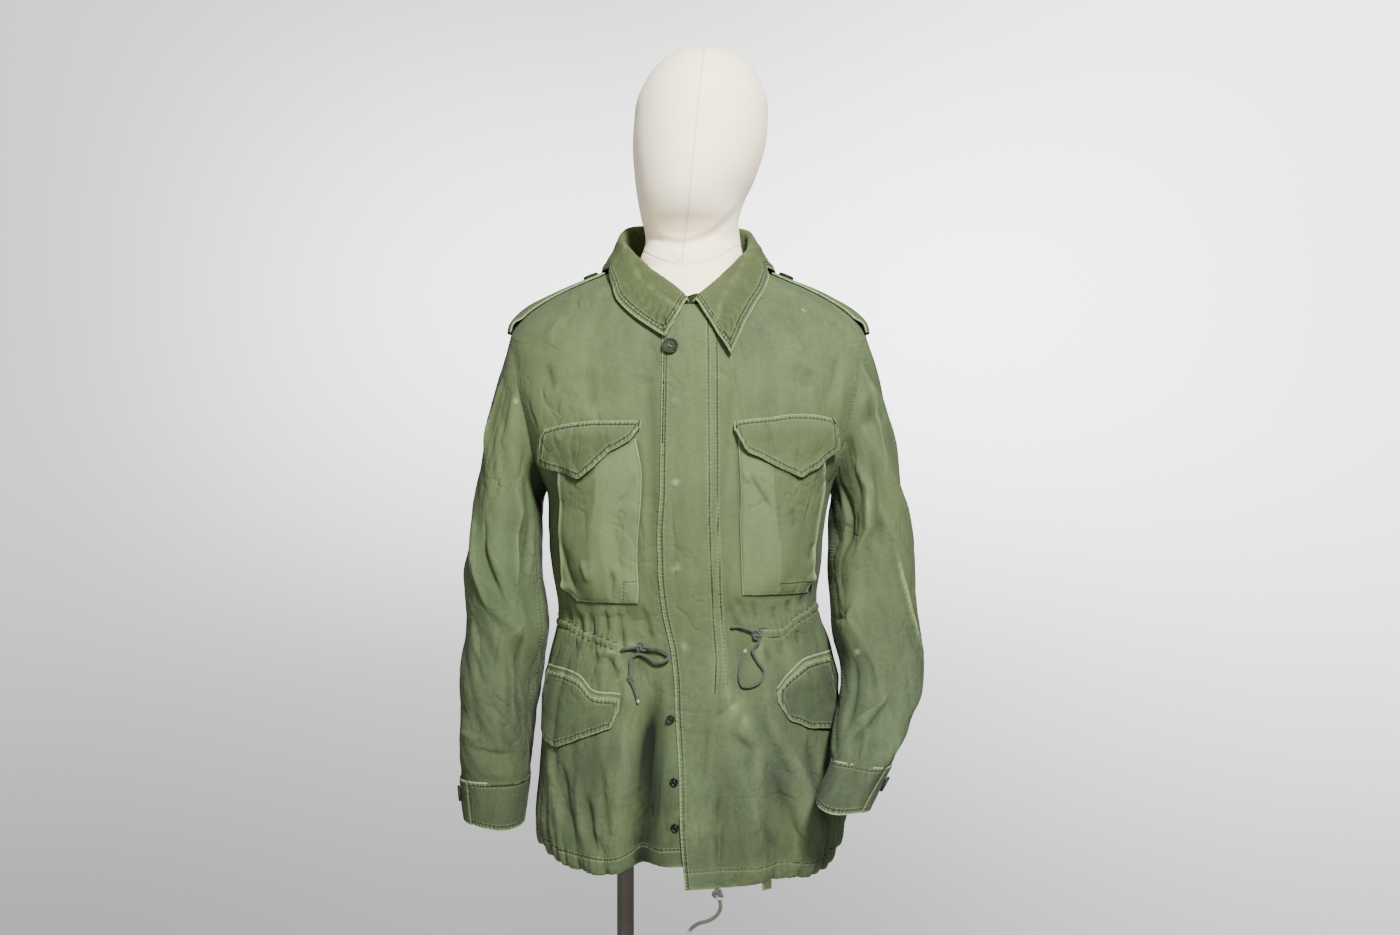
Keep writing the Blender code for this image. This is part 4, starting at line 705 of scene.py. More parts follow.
class Cloth:
    """A piece of cloth as a grid of points: rows from its foot up, columns round it or across it."""

    def __init__(self, middle, wall=WALL, closed=False, lined_up=None, rounded=ALL_BORDERS):
        self.closed, self.wall = closed, wall
        self.rounded = [b for b in rounded if not (closed and b in ("left", "right"))]
        self.middle = np.asarray(middle, float)
        wrapped = np.concatenate([self.middle[:, -1:], self.middle, self.middle[:, :1]], axis=1)
        around = (wrapped[:, 2:] - wrapped[:, :-2]) if closed else np.gradient(self.middle, axis=1)
        self.normal = unit(np.cross(around, np.gradient(self.middle, axis=0)))
        if lined_up is not None:
            facing = np.sign(np.sum(self.normal * lined_up, axis=-1).mean())
            self.normal = self.normal * facing
        self.across = lengths_along(self.middle, 1)
        self.up = lengths_along(self.middle, 0)
        self.borders = {
            "left": (self.across, self.up),
            "right": (self.across[:, -1:] - self.across, self.up),
            "foot": (self.up, self.across),
            "top": (self.up[-1:] - self.up, self.across),
        }

    def pushed(self, height):
        """The same cloth, its points moved out by a height at each."""
        self.middle = self.middle + self.normal * np.asarray(height)[..., None]
        return self

    def rimmed(self):
        """Half the wall's thickness at each point, thinner at the open edges so that they are round."""
        near = np.full(self.across.shape, 1.0)
        for border in self.rounded:
            near = np.minimum(near, self.borders[border][0])
        return self.wall / 2 * (0.38 + 0.62 * np.sqrt(smooth(-0.0002, 0.0016, near)))

    def edges(self, names):
        """Distance to the nearest of the named borders, and the length along that border."""
        edge, run = np.full(self.across.shape, 1.0), np.zeros(self.across.shape)
        for name in names:
            distance, along = self.borders[name]
            closer = distance < edge
            edge, run = np.where(closer, distance, edge), np.where(closer, along, run)
        return edge, run

    def face(self, side):
        return self.middle + self.normal * (side * self.rimmed())[..., None]

    def under(self, reach):
        """How far each point lies under the mean of the cloth within a reach of it."""
        steps = (self.up[-1].mean() / (len(self.up) - 1), self.across[:, -1].mean() / (self.up.shape[1] - 1))
        level = self.middle
        for axis, step in enumerate(steps):
            half = int(np.clip(round(reach / step), 1, level.shape[axis] // 2 - 1))
            mode = "wrap" if axis == 1 and self.closed else "edge"
            widths = [(0, 0)] * 3
            widths[axis] = (half + 1, half)
            sums = np.cumsum(np.pad(level, widths, mode=mode), axis=axis)
            count = np.arange(level.shape[axis])
            span = 2 * half + 1
            level = (np.take(sums, count + span, axis=axis) - np.take(sums, count, axis=axis)) / span
        below = np.sum((level - self.middle) * self.normal, axis=-1)
        return below - np.median(below)

    def hollows(self):
        """Above 0 in creases and most in deep folds, below 0 on ridges: the finish paints shade and highlight
        from it.
        """
        near = np.clip(self.under(0.010) / 0.0030, -1, 1)
        deep = 0.0 if self.closed else smooth(0.0046, 0.0150, self.under(0.034))
        return near * 0.34 + deep

    def line(self, row, column, lift=0.0):
        """Points and normals on the outer face, at rows and columns given in fractions of steps."""
        outer = self.face(+1)
        rows, columns = outer.shape[:2]
        row = np.clip(np.asarray(row, float), 0, rows - 1.001)
        column = np.asarray(column, float)
        column = column % columns if self.closed else np.clip(column, 0, columns - 1.001)
        r, c = np.floor(row).astype(int), np.floor(column).astype(int)
        n = (c + 1) % columns
        f, g = (row - r)[..., None], (column - c)[..., None]

        def read(grid):
            low = grid[r, c] * (1 - g) + grid[r, n] * g
            high = grid[r + 1, c] * (1 - g) + grid[r + 1, n] * g
            return low * (1 - f) + high * f

        normal = unit(read(self.normal))
        return read(outer) + normal * lift, normal


def cloth_mesh(name, cloth, finished=(), worn=0.0, edge=None, run=None, seam=None, seam_run=None, soiled=0.0):
    """Both faces and the borders of a cloth as one closed mesh, with what its finish reads."""
    outer, inner = cloth.face(+1), cloth.face(-1)
    rows, columns = outer.shape[:2]
    spans = columns if cloth.closed else columns - 1
    count = rows * columns
    ids = np.arange(count).reshape(rows, columns)
    front = grid_faces(rows, columns, spans)
    c = np.arange(spans)
    n = (c + 1) % columns
    rims = [(ids[0][n], ids[0][c]), (ids[-1][c], ids[-1][n])]
    if not cloth.closed:
        rims += [(ids[:-1, 0], ids[1:, 0]), (ids[1:, -1], ids[:-1, -1])]
    walls = [np.stack([a, b, b + count, a + count], -1) for a, b in rims]
    faces = np.concatenate([front, front[:, ::-1] + count, *walls])
    points = np.concatenate([outer.reshape(-1, 3), inner.reshape(-1, 3)])
    a, b, d, e = (points[faces[:, corner]] for corner in range(4))
    if np.sum(a * np.cross(b, d)) + np.sum(a * np.cross(d, e)) < 0:
        faces = faces[:, ::-1]
    if edge is None:
        edge, run = cloth.edges(finished)
    if seam is None:
        seam, seam_run = np.full(edge.shape, 1.0), run
    # The relief attribute: painted shade in creases, folds and where more is passed in, and painted highlight
    # on ridges.
    hollows = cloth.hollows()
    hollows = np.maximum(hollows, hollows * (1 - np.clip(2 * np.asarray(soiled), 0, 1)) + soiled)
    values = {"edge": edge, "run": np.where(seam < 0.010, seam_run, run)}
    values |= {"worn": np.broadcast_to(worn, edge.shape), "seam": seam, "relief": hollows}
    both = {key: np.tile(value.ravel(), 2) for key, value in values.items()}
    mesh = solid_mesh(name, points, faces.tolist(), **both)
    flat = np.tile(np.stack([cloth.across.ravel(), cloth.up.ravel()], -1), (2, 1))[faces.ravel()]
    mesh.uv_layers.new(name="cloth").data.foreach_set("uv", flat.astype(np.float32).ravel())
    return mesh


def show(name, mesh, material, slot, *nodes):
    """Links a finished mesh as a piece that rides on the root and stands for its CAD nodes."""
    made = bpy.data.objects.new(name, mesh)
    mesh.materials.append(material)
    bpy.context.scene.collection.objects.link(made)
    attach(made, "root")
    if nodes:
        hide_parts(*nodes)
    return made


def cloth_piece(name, cloth, material, held, node=None, **kwargs):
    made = show(name, cloth_mesh(name, cloth, **kwargs), material, "sateen", *([node] if node else []))


# ---------------------------------------------------------------- stitching
STITCH_PITCH = 0.0033
STITCH_LENGTH = 0.0025
STITCH_RADIUS = 0.00022
STITCH_RINGS = ((-0.5, 0.0), (-0.34, 0.85), (0.0, 1.0), (0.34, 0.85), (0.5, 0.0))
STITCH_CORNERS = [
    (ring + k, ring + (k + 1) % 4, ring + 4 + (k + 1) % 4, ring + 4 + k) for ring in (0, 4) for k in range(4)
]
STITCH_CORNERS += [((k + 1) % 4, k, 12) for k in range(4)]
STITCH_CORNERS += [(8 + k, 8 + (k + 1) % 4, 13) for k in range(4)]
stitch_points, stitch_faces = [], []


def stitches(points, normals):
    """Thread lying along a line of points on cloth, one small capsule for each stitch."""
    along = lengths_along(points, 0)
    count = int(along[-1] / STITCH_PITCH)
    if count < 1:
        return
    middles = (np.arange(count) + 0.5) * along[-1] / count
    centre = read_line(middles, along, points)
    near = STITCH_PITCH * 0.3
    ahead = unit(read_line(middles + near, along, points) - read_line(middles - near, along, points))
    up = unit(read_line(middles, along, normals))
    aside = unit(np.cross(up, ahead))
    for share, wide in STITCH_RINGS[1:-1]:
        lift = STITCH_RADIUS * (0.55 - 1.6 * abs(share))
        middle = centre + ahead * (share * STITCH_LENGTH) + up * lift
        for a, b in ((1, 0), (0, 1), (-1, 0), (0, -1)):
            stitch_points.append(middle + (aside * a + up * b) * (STITCH_RADIUS * wide))
    for end in (-0.5, 0.5):
        stitch_points.append(centre + ahead * (end * STITCH_LENGTH) - up * STITCH_RADIUS * 0.6)
    first = sum(len(block) for block in stitch_points[:-14])
    ids = first + np.arange(14)[:, None] * count + np.arange(count)[None, :]
    stitch_faces.extend(np.stack([ids[k] for k in corners], -1) for corners in STITCH_CORNERS)


def sew(cloth, rows, columns):
    """Stitches along a line on a cloth, where either its row or its column may be a single number."""
    stitches(*cloth.line(*np.broadcast_arrays(rows, columns)))


def finish_stitching(name, material):
    """All the thread that was laid since the last time, as one piece."""
    faces = [face for block in stitch_faces for face in block.tolist()]
    mesh = solid_mesh(name, np.concatenate(stitch_points), faces)
    stitch_points.clear()
    stitch_faces.clear()
    show(name, mesh, material, "sateen")


# ---------------------------------------------------------------- cords
WAIST_CORD_RIGHT = thousandths(
    (-80, 1053, 1.6), (-68, 1055.5, 2.6), (-56, 1057, 3), (-46, 1056, 4.2), (-34, 1054.5, 5),
    (-24, 1048, 5.4), (-29, 1041, 5.2), (-40, 1040, 4), (-50, 1046, 2.8), (-60, 1049, 2), (-68, 1044, 1.6),
    (-69, 1033, 1.4), (-68, 1020, 1.4), (-63, 1008, 1.4), (-58.5, 993.5, 2),
)
WAIST_CORD_LEFT = thousandths(
    (49, 1080, 2.4), (58, 1080, 2.4), (68, 1077, 2.6), (77.5, 1071, 3), (78.5, 1062, 3), (71.5, 1053, 2.2),
    (76.5, 1040, 1.6), (84, 1028, 1.6), (79, 1017, 1.6), (69, 1012, 1.4), (59, 1013, 1.4), (56, 1025, 1.4),
    (59, 1042, 1.6), (64, 1054, 2.2),
)
HEM_CORD = thousandths(
    (33, 782.8, -0.9), (34.5, 776, -0.6), (37, 768, 0), (37.5, 760, 0.4), (33, 752, 1), (24, 746, 1.4),
    (13, 743, 1.4), (4, 737, 1), (-1, 728, 0.6),
)
HEM_CORD_PLANE_Z = 0.785


def smooth_route(points, spacing):
    """Even stations along a smooth curve through the points."""
    points = np.array(points)
    padded = np.vstack([2 * points[0] - points[1], points, 2 * points[-1] - points[-2]])
    dense = []
    for a, b, c, d in zip(padded, padded[1:], padded[2:], padded[3:]):
        bend, sway = 2 * a - 5 * b + 4 * c - d, 3 * b - a - 3 * c + d
        dense += [0.5 * (2 * b + (c - a) * t + bend * t**2 + sway * t**3) for t in np.arange(12) / 12]
    dense = np.array(dense + [points[-1]])
    along = lengths_along(dense, 0)
    return read_line(np.linspace(0.0, along[-1], max(3, round(along[-1] / spacing) + 1)), along, dense)


BRAID_LAY = 0.0052  # length of one turn of the strands


def tube_mesh(name, route, radius, segments=14, relief=0.09, ends=1.0):
    """A braided cord round a route of close points. radius may be one for each point."""
    tangent = unit(np.gradient(route, axis=0))
    side = np.zeros(route.shape)
    side[0] = unit(np.cross(tangent[0], (0.3, 0.9, 0.2)))
    for k in range(1, len(route)):
        side[k] = unit(side[k - 1] - tangent[k] * np.dot(side[k - 1], tangent[k]))
    other = np.cross(tangent, side)
    run = lengths_along(route, 0)
    share = np.arange(segments) / segments
    angle = 2 * np.pi * share[None, :]
    phase = 2 * np.pi * run[:, None] / BRAID_LAY
    swell = 1 + relief * np.cos(2 * angle + phase) * np.cos(2 * angle - phase)
    end = np.minimum(run, run[-1] - run)[:, None]
    swell = swell * (1 - 0.45 * ends * smooth(0.0012, 0.0, end))
    reach = np.broadcast_to(np.asarray(radius, float).reshape(-1, 1), (len(route), 1)) * swell
    rows = (
        route[:, None]
        + side[:, None] * (np.cos(angle) * reach)[..., None]
        + other[:, None] * (np.sin(angle) * reach)[..., None]
    )
    values = {
        "run": np.append(np.repeat(run, segments), (0.0, run[-1])),
        "left": np.append(np.repeat(run[-1] - run, segments), (run[-1], 0.0)),
        "around": np.append(np.tile(share, len(route)), (0.0, 0.0)),
    }
    return capped_tube(name, rows, route[[0, -1]], **values)


def knot_mesh(name, centre, size, radius, tilt):
    """A pulled-tight overhand knot: a cord run along a small trefoil."""
    t = np.linspace(0, 2 * np.pi, 90)[:-1]
    reach = 1.9 + np.cos(3 * t)
    loop = np.stack([reach * np.cos(2 * t), np.sin(3 * t) * 1.1, reach * np.sin(2 * t)], -1)
    loop = loop * np.array([size * 0.42, size * 0.36, size * 0.34])
    route = loop @ np.array(Matrix.Rotation(tilt, 3, "Y")).T + np.array(centre)
    route = np.vstack([route, route[:2]])
    return tube_mesh(name, route, radius, segments=10, ends=0.0)


def on_body_route(route, radius):
    points = []
    for x, z, out in route:
        turn = turn_at_x(abs(x), z) * (1 if x > 0 else -1)
        points.append(body(turn, z, out + radius))
    return points


def joined(name, meshes):
    """Several meshes as one, their own meshes removed."""
    shape = bmesh.new()
    for mesh in meshes:
        shape.from_mesh(mesh)
    merged = bpy.data.meshes.new(name)
    shape.to_mesh(merged)
    shape.free()
    for mesh in meshes:
        bpy.data.meshes.remove(mesh)
    merged.shade_smooth()
    return merged


def declared_cord(name, route, radius, material, node):
    """A cord round its route."""
    points = smooth_route(route, 0.0009)
    made = show(name, tube_mesh(name, points, radius), material, "cord", node)


def make_cords():
    olives = (0.012, 0.018, 0.011), (0.050, 0.068, 0.038)
    olive = cord_finish("olive_cord", *olives, pale_tip=0.005)
    plain = cord_finish("olive_cord_knots", *olives)
    grey = cord_finish("grey_cord", (0.022, 0.024, 0.016), (0.085, 0.085, 0.060), pale_tip=0.010)
    right = on_body_route(WAIST_CORD_RIGHT, WAIST_CORD_RADIUS)
    left = on_body_route(WAIST_CORD_LEFT, WAIST_CORD_RADIUS)
    knots = []
    for name, centre, size, tilt in (
        ("waist_knot_right", right[2], 0.0052, 0.3),
        ("waist_knot_right_low", right[12], 0.0034, 1.2),
        ("waist_knot_left", left[3], 0.0052, -0.5),
    ):
        mesh = knot_mesh(name, centre, size, WAIST_CORD_RADIUS * 0.8, tilt)
        knots.append(show(name, mesh, plain, "cord"))
    for hand, route, tied in (("right", right, knots[:2]), ("left", left, knots[2:])):
        node = f"waist_cord_{hand}"
        declared_cord(f"waist_cord_end_{hand}", route, WAIST_CORD_RADIUS, olive, node)
    hang = []
    for x, z, out in HEM_CORD:
        there = body(turn_at_x(x, HEM_CORD_PLANE_Z), HEM_CORD_PLANE_Z, out)
        hang.append(np.array([x, there[1], z]))
    knot = show("hem_knot", knot_mesh("hem_knot", hang[1], 0.0050, 0.0019, 0.9), grey, "cord")
    fray = show("hem_cord_fray", fray_mesh("hem_cord_fray", hang[-2], hang[-1]), grey, "cord")
    declared_cord("hem_cord_end", hang, HEM_CORD_RADIUS, grey, "hem_cord")


def fray_mesh(name, before, tip):
    """Loose strands that spread from the cord's cut end."""
    dice = np.random.RandomState(11)
    ahead = unit(np.array(tip) - np.array(before))
    strands = []
    for number in range(16):
        spread = dice.uniform(-1, 1, 3) * np.array([0.75, 0.35, 0.55])
        long = dice.uniform(0.005, 0.009)
        start = np.array(tip) - ahead * 0.0016 + spread * 0.0014
        middle = start + (ahead + spread * 0.45) * long * 0.5
        end = middle + (ahead + spread + np.array([0, 0, -0.25])) * long * 0.4
        route = smooth_route([start, middle, end], 0.0008)
        thin = np.linspace(0.00034, 0.00016, len(route))
        strands.append(tube_mesh(f"strand_{number}", route, thin, segments=5, relief=0.0, ends=0.3))
    return joined(name, strands)


make_cords()

# ---------------------------------------------------------------- body panels
EDGE_STEPS = (0.0, 0.0006, 0.0014, 0.0028)


def stops_between(low, high, count, fine_low=True, fine_high=True):
    """Even stops in metres with a few close ones at the ends, where the edge is rounded."""
    close = np.array(EDGE_STEPS[1:])
    stops = [np.linspace(low, high, count), low + close * fine_low, high - close * fine_high]
    return np.unique(np.round(np.concatenate(stops), 6))


HEM_SHARES = (0.0, 0.025, 0.06, 0.12, 0.22, 0.34, 0.46, 0.58, 0.70, 0.80, 0.88, 0.95, 1.0)
SKIRT_SHARES = tuple(np.linspace(0.0, 1.0, 16)[1:-1])
LEVEL_STEP = 0.0026
ARMHOLE_STEPS = 66
SHOULDER_CLEAR = 0.0068  # closer rows would cross where they slope down to the neck


def panel_levels():
    """Names the rows of a panel: hem shares, the skirt over them, then heights on the outer edge."""
    steps = np.pi * (1 - np.arange(ARMHOLE_STEPS + 1) / ARMHOLE_STEPS)
    armhole = (SHOULDER_Z + ARMPIT_Z) / 2 + (SHOULDER_Z - ARMPIT_Z) / 2 * np.cos(steps)
    armhole = np.append(armhole[armhole < SHOULDER_Z - SHOULDER_CLEAR], SHOULDER_Z)
    rows = [("hem", share) for share in HEM_SHARES]
    rows += [("skirt", share) for share in SKIRT_SHARES]
    low = np.linspace(SKIRT_Z, ARMPIT_Z, round((ARMPIT_Z - SKIRT_Z) / LEVEL_STEP))
    neck = stops_between(SHOULDER_Z, NECK_TOP, 28, fine_low=False)
    return rows + [("height", z) for z in (*low[:-1], *armhole, *neck[1:])]


FRONT_TURNS = np.linspace(-0.06, 0.25, 94)


def row_turns(x, z):
    """Turns on the front for distances to the side at one height."""
    return np.interp(x, ring(FRONT_TURNS, z)[:, 0] - ring(0.0, z)[0], FRONT_TURNS)


OUTER_SHARES = stops_between(0.0, 0.175, 82, fine_low=False) / 0.175


def front_stops(left):
    """Gives the columns of a front at a height."""

    def stops(z, outer):
        fly = float(FLY_EDGE("x", z))
        edges = (fly, ZIP_X) if left else (-ZIP_X, -fly)
        overlap = stops_between(*edges, 30 if left else 16, fine_high=False)
        wanted = 33 if left else 19
        overlap = np.interp(np.linspace(0, 1, wanted), np.linspace(0, 1, len(overlap)), overlap)
        overlap[: len(EDGE_STEPS)] = edges[0] + np.array(EDGE_STEPS)
        if left:
            overlap = np.append(overlap, np.linspace(ZIP_X, FLY_SETTLE_X, 8)[1:])
        turns = row_turns(overlap, z)
        return np.concatenate([turns, turns[-1] + (outer - turns[-1]) * OUTER_SHARES[1:]])

    return stops


BACK_SHARES = stops_between(0.0, 0.265, 78, fine_low=False) / 0.265


def back_stops(_, outer):
    return 0.5 + (outer - 0.5) * BACK_SHARES


def panel_row(row, side, facing, stops):
    """Turns and heights of one row of a panel, from its inner edge to its outer edge."""
    kind, level = row
    level_z = {"hem": HEM_Z, "skirt": HEM_Z + (SKIRT_Z - HEM_Z) * level}.get(kind, level)
    outer = outer_turn(level_z, facing)
    inner_z = level_z
    for _ in range(3):
        turn = stops(inner_z, outer)
        around = turn * 4
        hem = HEM[side]("z", around)
        if kind == "hem":
            z = hem + HEM_DEPTH * level
        elif kind == "skirt":
            z = (hem + HEM_DEPTH) * (1 - level) + SKIRT_Z * level
        else:
            high = smooth(SHOULDER_Z - 0.11, NECK_TOP, level)
            z = level + high * (NECKLINE("z", np.abs(around)) - NECKLINE("z", abs(outer) * 4))
        inner_z = float(z[0])
    return turn, z


def fly_lift(turn, z):
    x = ring(turn, z)[..., 0] - ring(0.0, z)[..., 0]
    lift = FLY_LIFT + FLY_HEM_LIFT * smooth(0.900, 0.840, z)
    return lift * smooth(FLY_SETTLE_X, ZIP_X, x)


WAIST_LINE = {  # middle of the drawcord's channel, by the distance to the side
    +1: Table(
        ("x", "z"),
        (60, 1072), (87, 1072.6), (113, 1073.3), (127, 1084.7), (150, 1095),
    ),
    -1: Table(
        ("x", "z"),
        (60, 1054), (81, 1054.6), (101, 1060.5), (125, 1067), (150, 1077.2),
    ),
}
WAIST_HALF = 0.0046


def waist_z(side, x, facing):
    """The channel's height; behind, the two sides run level across."""
    if facing < 0:
        return WAIST_LINE[side]("z", np.abs(x))
    ends = {+1: 1.0950, -1: 1.0772}[side]
    return ends + (1.084 - ends) * smooth(0.16, 0.02, np.abs(x))


def gathers(side, turn, z, facing):
    """Small pleats drawn in by the cords at the waist and at the hem."""
    x = ring(turn, z)[..., 0]
    girth = turn * 1.05
    wander = lattice_noise(turn, z * 0 + 3.5 + 20 * side, 40, 21)
    strength = 0.55 + 0.45 * lattice_noise(turn, z * 0 + 7.5, 60, 22)
    wave = 2 * np.abs(np.sin(np.pi * (girth / 0.0090) + 3.0 * wander)) - 1.3
    calm = smooth(0.072, 0.092, np.abs(x)) if facing < 0 else 1.0
    height = z - waist_z(side, x, facing)
    channel = bell(height, 0.010) * 0.0017 + bell(height, 0.026) * 0.0012
    waist = wave * channel * strength * calm
    ridge = -0.0014 * bell(np.abs(height) - WAIST_HALF, 0.0016) * calm
    ridge = ridge + 0.0012 * bell(height, 0.0034) * calm
    above = z - HEM[side]("z", turn * 4)
    bunch = 6.5 * lattice_noise(turn, z * 0 + 11.5, 24, 23)
    wave = 2 * np.abs(np.sin(np.pi * girth / 0.0230 + bunch))
    wave = wave + 0.8 * np.abs(np.sin(np.pi * girth / 0.0105 - bunch)) - 1.6
    strength = 0.25 + 1.1 * np.abs(lattice_noise(turn, z * 0 + 14.5, 34, 24))
    start = (0.062, 0.085) if side > 0 else (0.024, 0.042)
    calm = smooth(*start, np.abs(x)) if facing < 0 else 1.0
    strength = strength * (1 - 0.45 * bell(turn - 0.25, 0.05))
    full = 0.0044 if side > 0 else 0.0056
    hem = wave * strength * calm * (full * np.exp(-above / 0.022) + 0.0020 * np.exp(-above / 0.060))
    hem = hem - 0.0045 * calm * np.exp(-above / 0.0050)
    return waist + ridge + hem - 0.0007 * bell(above - HEM_STITCH, 0.0018)


FACING_LINES = (0.0, 0.0098)  # the two rows of stitches that hold the fly's facing
FLY_BUMPS = ((-0.0151, 1.3418), (-0.0138, 1.2471), (-0.0138, 1.1500), (-0.0045, 1.0563), (0.0001, 0.9679))


def fly_relief(turn, z):
    """Snaps that show through the fly, and the two stitched lines of its facing."""
    x = ring(turn, z)[..., 0]
    height = np.zeros(x.shape)
    for at_x, at_z in FLY_BUMPS:
        away = np.hypot(x - at_x, z - at_z)
        height += 0.0011 * smooth(0.0062, 0.0030, away) + 0.0003 * bell(away, 0.0016)
    within = smooth(1.002, 1.012, z) * smooth(1.455, 1.440, z)
    for shift in FACING_LINES:
        height -= 0.0008 * bell(x - facing_x(z) - shift, 0.0014) * within
    height += 0.0011 * bell(x - facing_x(z) - 0.0049, 0.0034) * within
    return height


def facing_x(z):
    """The inner line of stitches that holds the fly's facing."""
    return np.interp(z, (1.000, 1.046, 1.089, 1.20, 1.42), (0.0305, 0.0326, 0.0292, 0.0248, 0.0236))


def body_panel(side, facing, stops, lifted):
    """Turns, heights and the push out of a body panel's middle surface, and its wall."""
    turn, z = (np.array(part) for part in zip(*(panel_row(r, side, facing, stops) for r in panel_levels())))
    out = gathers(side, turn, z, facing)
    if lifted:
        out = out + fly_lift(turn, z) + fly_relief(turn, z)
    turned_up = smooth(HEM_DEPTH + 0.001, HEM_DEPTH - 0.002, z - HEM[side]("z", turn * 4))
    return turn, z, out, WALL + 2 * HEM_PROUD * turned_up


def patches(x, z, rows):
    """Soft spots added up: for each a place, a half width, a half height and how much."""
    spots = np.zeros(x.shape)
    for at_x, at_z, wide, high, much in rows:
        spots += much * np.exp(-(((x - at_x) / wide) ** 2) - (((z - at_z) / high) ** 2))
    return spots


# Patches: the place to the side and its height, half width, half height and how much.
# Painted shade: dark patches in the deep fold, beside the fly and in a few other places.
PAINTED_SHADE_PATCHES = thousandths(
    (-41, 985, 5, 22, 600), (-50, 900, 10, 50, 450), (-57, 850, 11, 35, 750), (-58, 806, 11, 22, 700),
    (-85, 828, 35, 25, 200), (-28, 862, 15, 75, 580), (-122, 895, 30, 50, 260), (85, 830, 50, 25, 240),
    (122, 1440, 30, 35, 160), (130, 1066, 20, 15, 220), (160, 1320, 10, 40, 200), (-45, 1330, 8, 40, 120),
    (-33, 1250, 7, 150, 220),
)
# Spots made paler.
PALER_PATCHES = thousandths(
    (54, 1112, 12, 30, 60), (-44, 1112, 12, 30, 40), (-100, 1098, 30, 15, 45), (53, 1225, 12, 50, 50),
    (-165, 1320, 20, 30, 60), (-100, 823, 20, 20, 50), (118, 860, 20, 30, 50), (-75, 860, 10, 60, 50),
)

WORN_PATCHES = thousandths(
    (54, 990, 11, 12, 250), (44, 1012, 5, 16, 200), (66, 972, 7, 12, 200), (36, 968, 20, 10, 60),
    (10, 850, 50, 20, 100), (-90, 870, 30, 40, 100), (-13.8, 1247.1, 4.5, 4, 420), (-13.8, 1150, 5, 4, 550),
    (-15.1, 1341.8, 4, 4, 250), (-4.5, 1056.3, 5, 5, 250), (-85, 1020, 4, 16, 300),
    (-100, 1052, 20, 4, 350), (-67, 1060, 12, 4, 300), (85, 1052, 6, 10, 220), (-4, 900, 20, 50, 100),
)


def make_front(name, node, side, material):
    turn, z, out, wall = body_panel(side, -1, front_stops(side > 0), side > 0)
    middle = body(side * turn, z, out - WALL / 2)
    borders = ("left", "foot") if side > 0 else ("foot",)
    cloth = Cloth(middle, lined_up=body_normal(side * turn, z), rounded=borders)
    cloth.wall = wall
    x = side * ring(turn, z)[..., 0]
    worn = patches(x, z, WORN_PATCHES) * (0.8 + 0.6 * lattice_noise(x * 4, z / 0.006, 60, 33))
    worn = worn + patches(x, z, PALER_PATCHES)
    dice = 0.5 + 0.5 * lattice_noise(cloth.up / 2.0, cloth.across / 0.01, 60, 31)
    armhole = cloth.borders["right"][0]
    worn = worn + (0.25 + 0.35 * dice) * bell(armhole, 0.0022) * smooth(1.21, 1.24, z)
    if side > 0:
        worn = worn + np.exp(-cloth.across / 0.0012) * (0.40 + 0.5 * dice)
    worn = worn + np.exp(-cloth.up / 0.0012) * (0.30 + 0.5 * dice)
    seam, seam_run = front_seams(cloth, side, turn, z)
    finish = {"finished": borders[:1], "worn": worn, "seam": seam, "seam_run": seam_run}
    # Painted shadow round the chest bag, and the painted shade patches.
    soiled = 0.50 * beside_bag(side, side * x, z) + patches(x, z, PAINTED_SHADE_PATCHES)
    cloth_piece(name, cloth, material, "hung", node, soiled=soiled, **finish)
    return cloth, z


def beside_bag(side, x, z):
    """1 in the painted shadow line where a chest pocket's bag meets the panel under it, 0 away from it."""
    table = CHEST_BAGS[side]
    low, high = table.stations[0], table.stations[-1]
    rise = np.linspace(low, high, 140)
    foot = np.linspace(float(table("inner", low)), float(table("outer", low)), 70)
    sides = [np.stack([table(column, rise), rise], -1) for column in ("inner", "outer")]
    outline = np.concatenate([*sides, np.stack([foot, np.full(foot.shape, low)], -1)])
    near = (x > 0.02) & (x < 0.16) & (z > low - 0.03) & (z < high)
    distance = np.full(x.shape, 1.0)
    at = np.stack([x[near], z[near]], -1)
    distance[near] = np.sqrt(np.min(np.sum((at[:, None] - outline[None]) ** 2, axis=-1), axis=1))
    return bell(distance, 0.0038)


def nearest_line(lines):
    """The smallest of several distances, with the length along that one's line."""
    seam, seam_run = lines[0]
    for distance, along in lines[1:]:
        closer = distance < seam
        seam, seam_run = np.where(closer, distance, seam), np.where(closer, along, seam_run)
    return seam, seam_run


def waist_seams(cloth, side, turn, z, facing):
    """Distances to the two lines of the drawcord's channel."""
    x = np.abs(ring(turn, z)[..., 0])
    away = 1.0 * (x < 0.081) if facing < 0 else 0.0
    off = np.abs(np.abs(z - waist_z(side, x, facing)) - WAIST_HALF) + away
    return off, cloth.across


def armhole_seams(cloth, z, border="right"):
    """Distances to the two lines beside the armhole and the shoulder seam."""
    edge, above = cloth.borders[border][0], 1.0 * (z < ARMPIT_Z)
    return [(np.abs(edge - inset) + above, cloth.up) for inset in ARMHOLE_STITCHES]


def front_seams(cloth, side, turn, z):
    x = ring(turn, z)[..., 0]
    lines = [waist_seams(cloth, side, turn, z, -1), *armhole_seams(cloth, z)]
    lines.append((np.abs(cloth.up - HEM_STITCH), cloth.across))
    if side > 0:
        away = 1.0 * ((z < 1.002) | (z > 1.450))
        lines += [(np.abs(x - facing_x(z) - shift) + away, z + 0 * x) for shift in FACING_LINES]
    return nearest_line(lines)


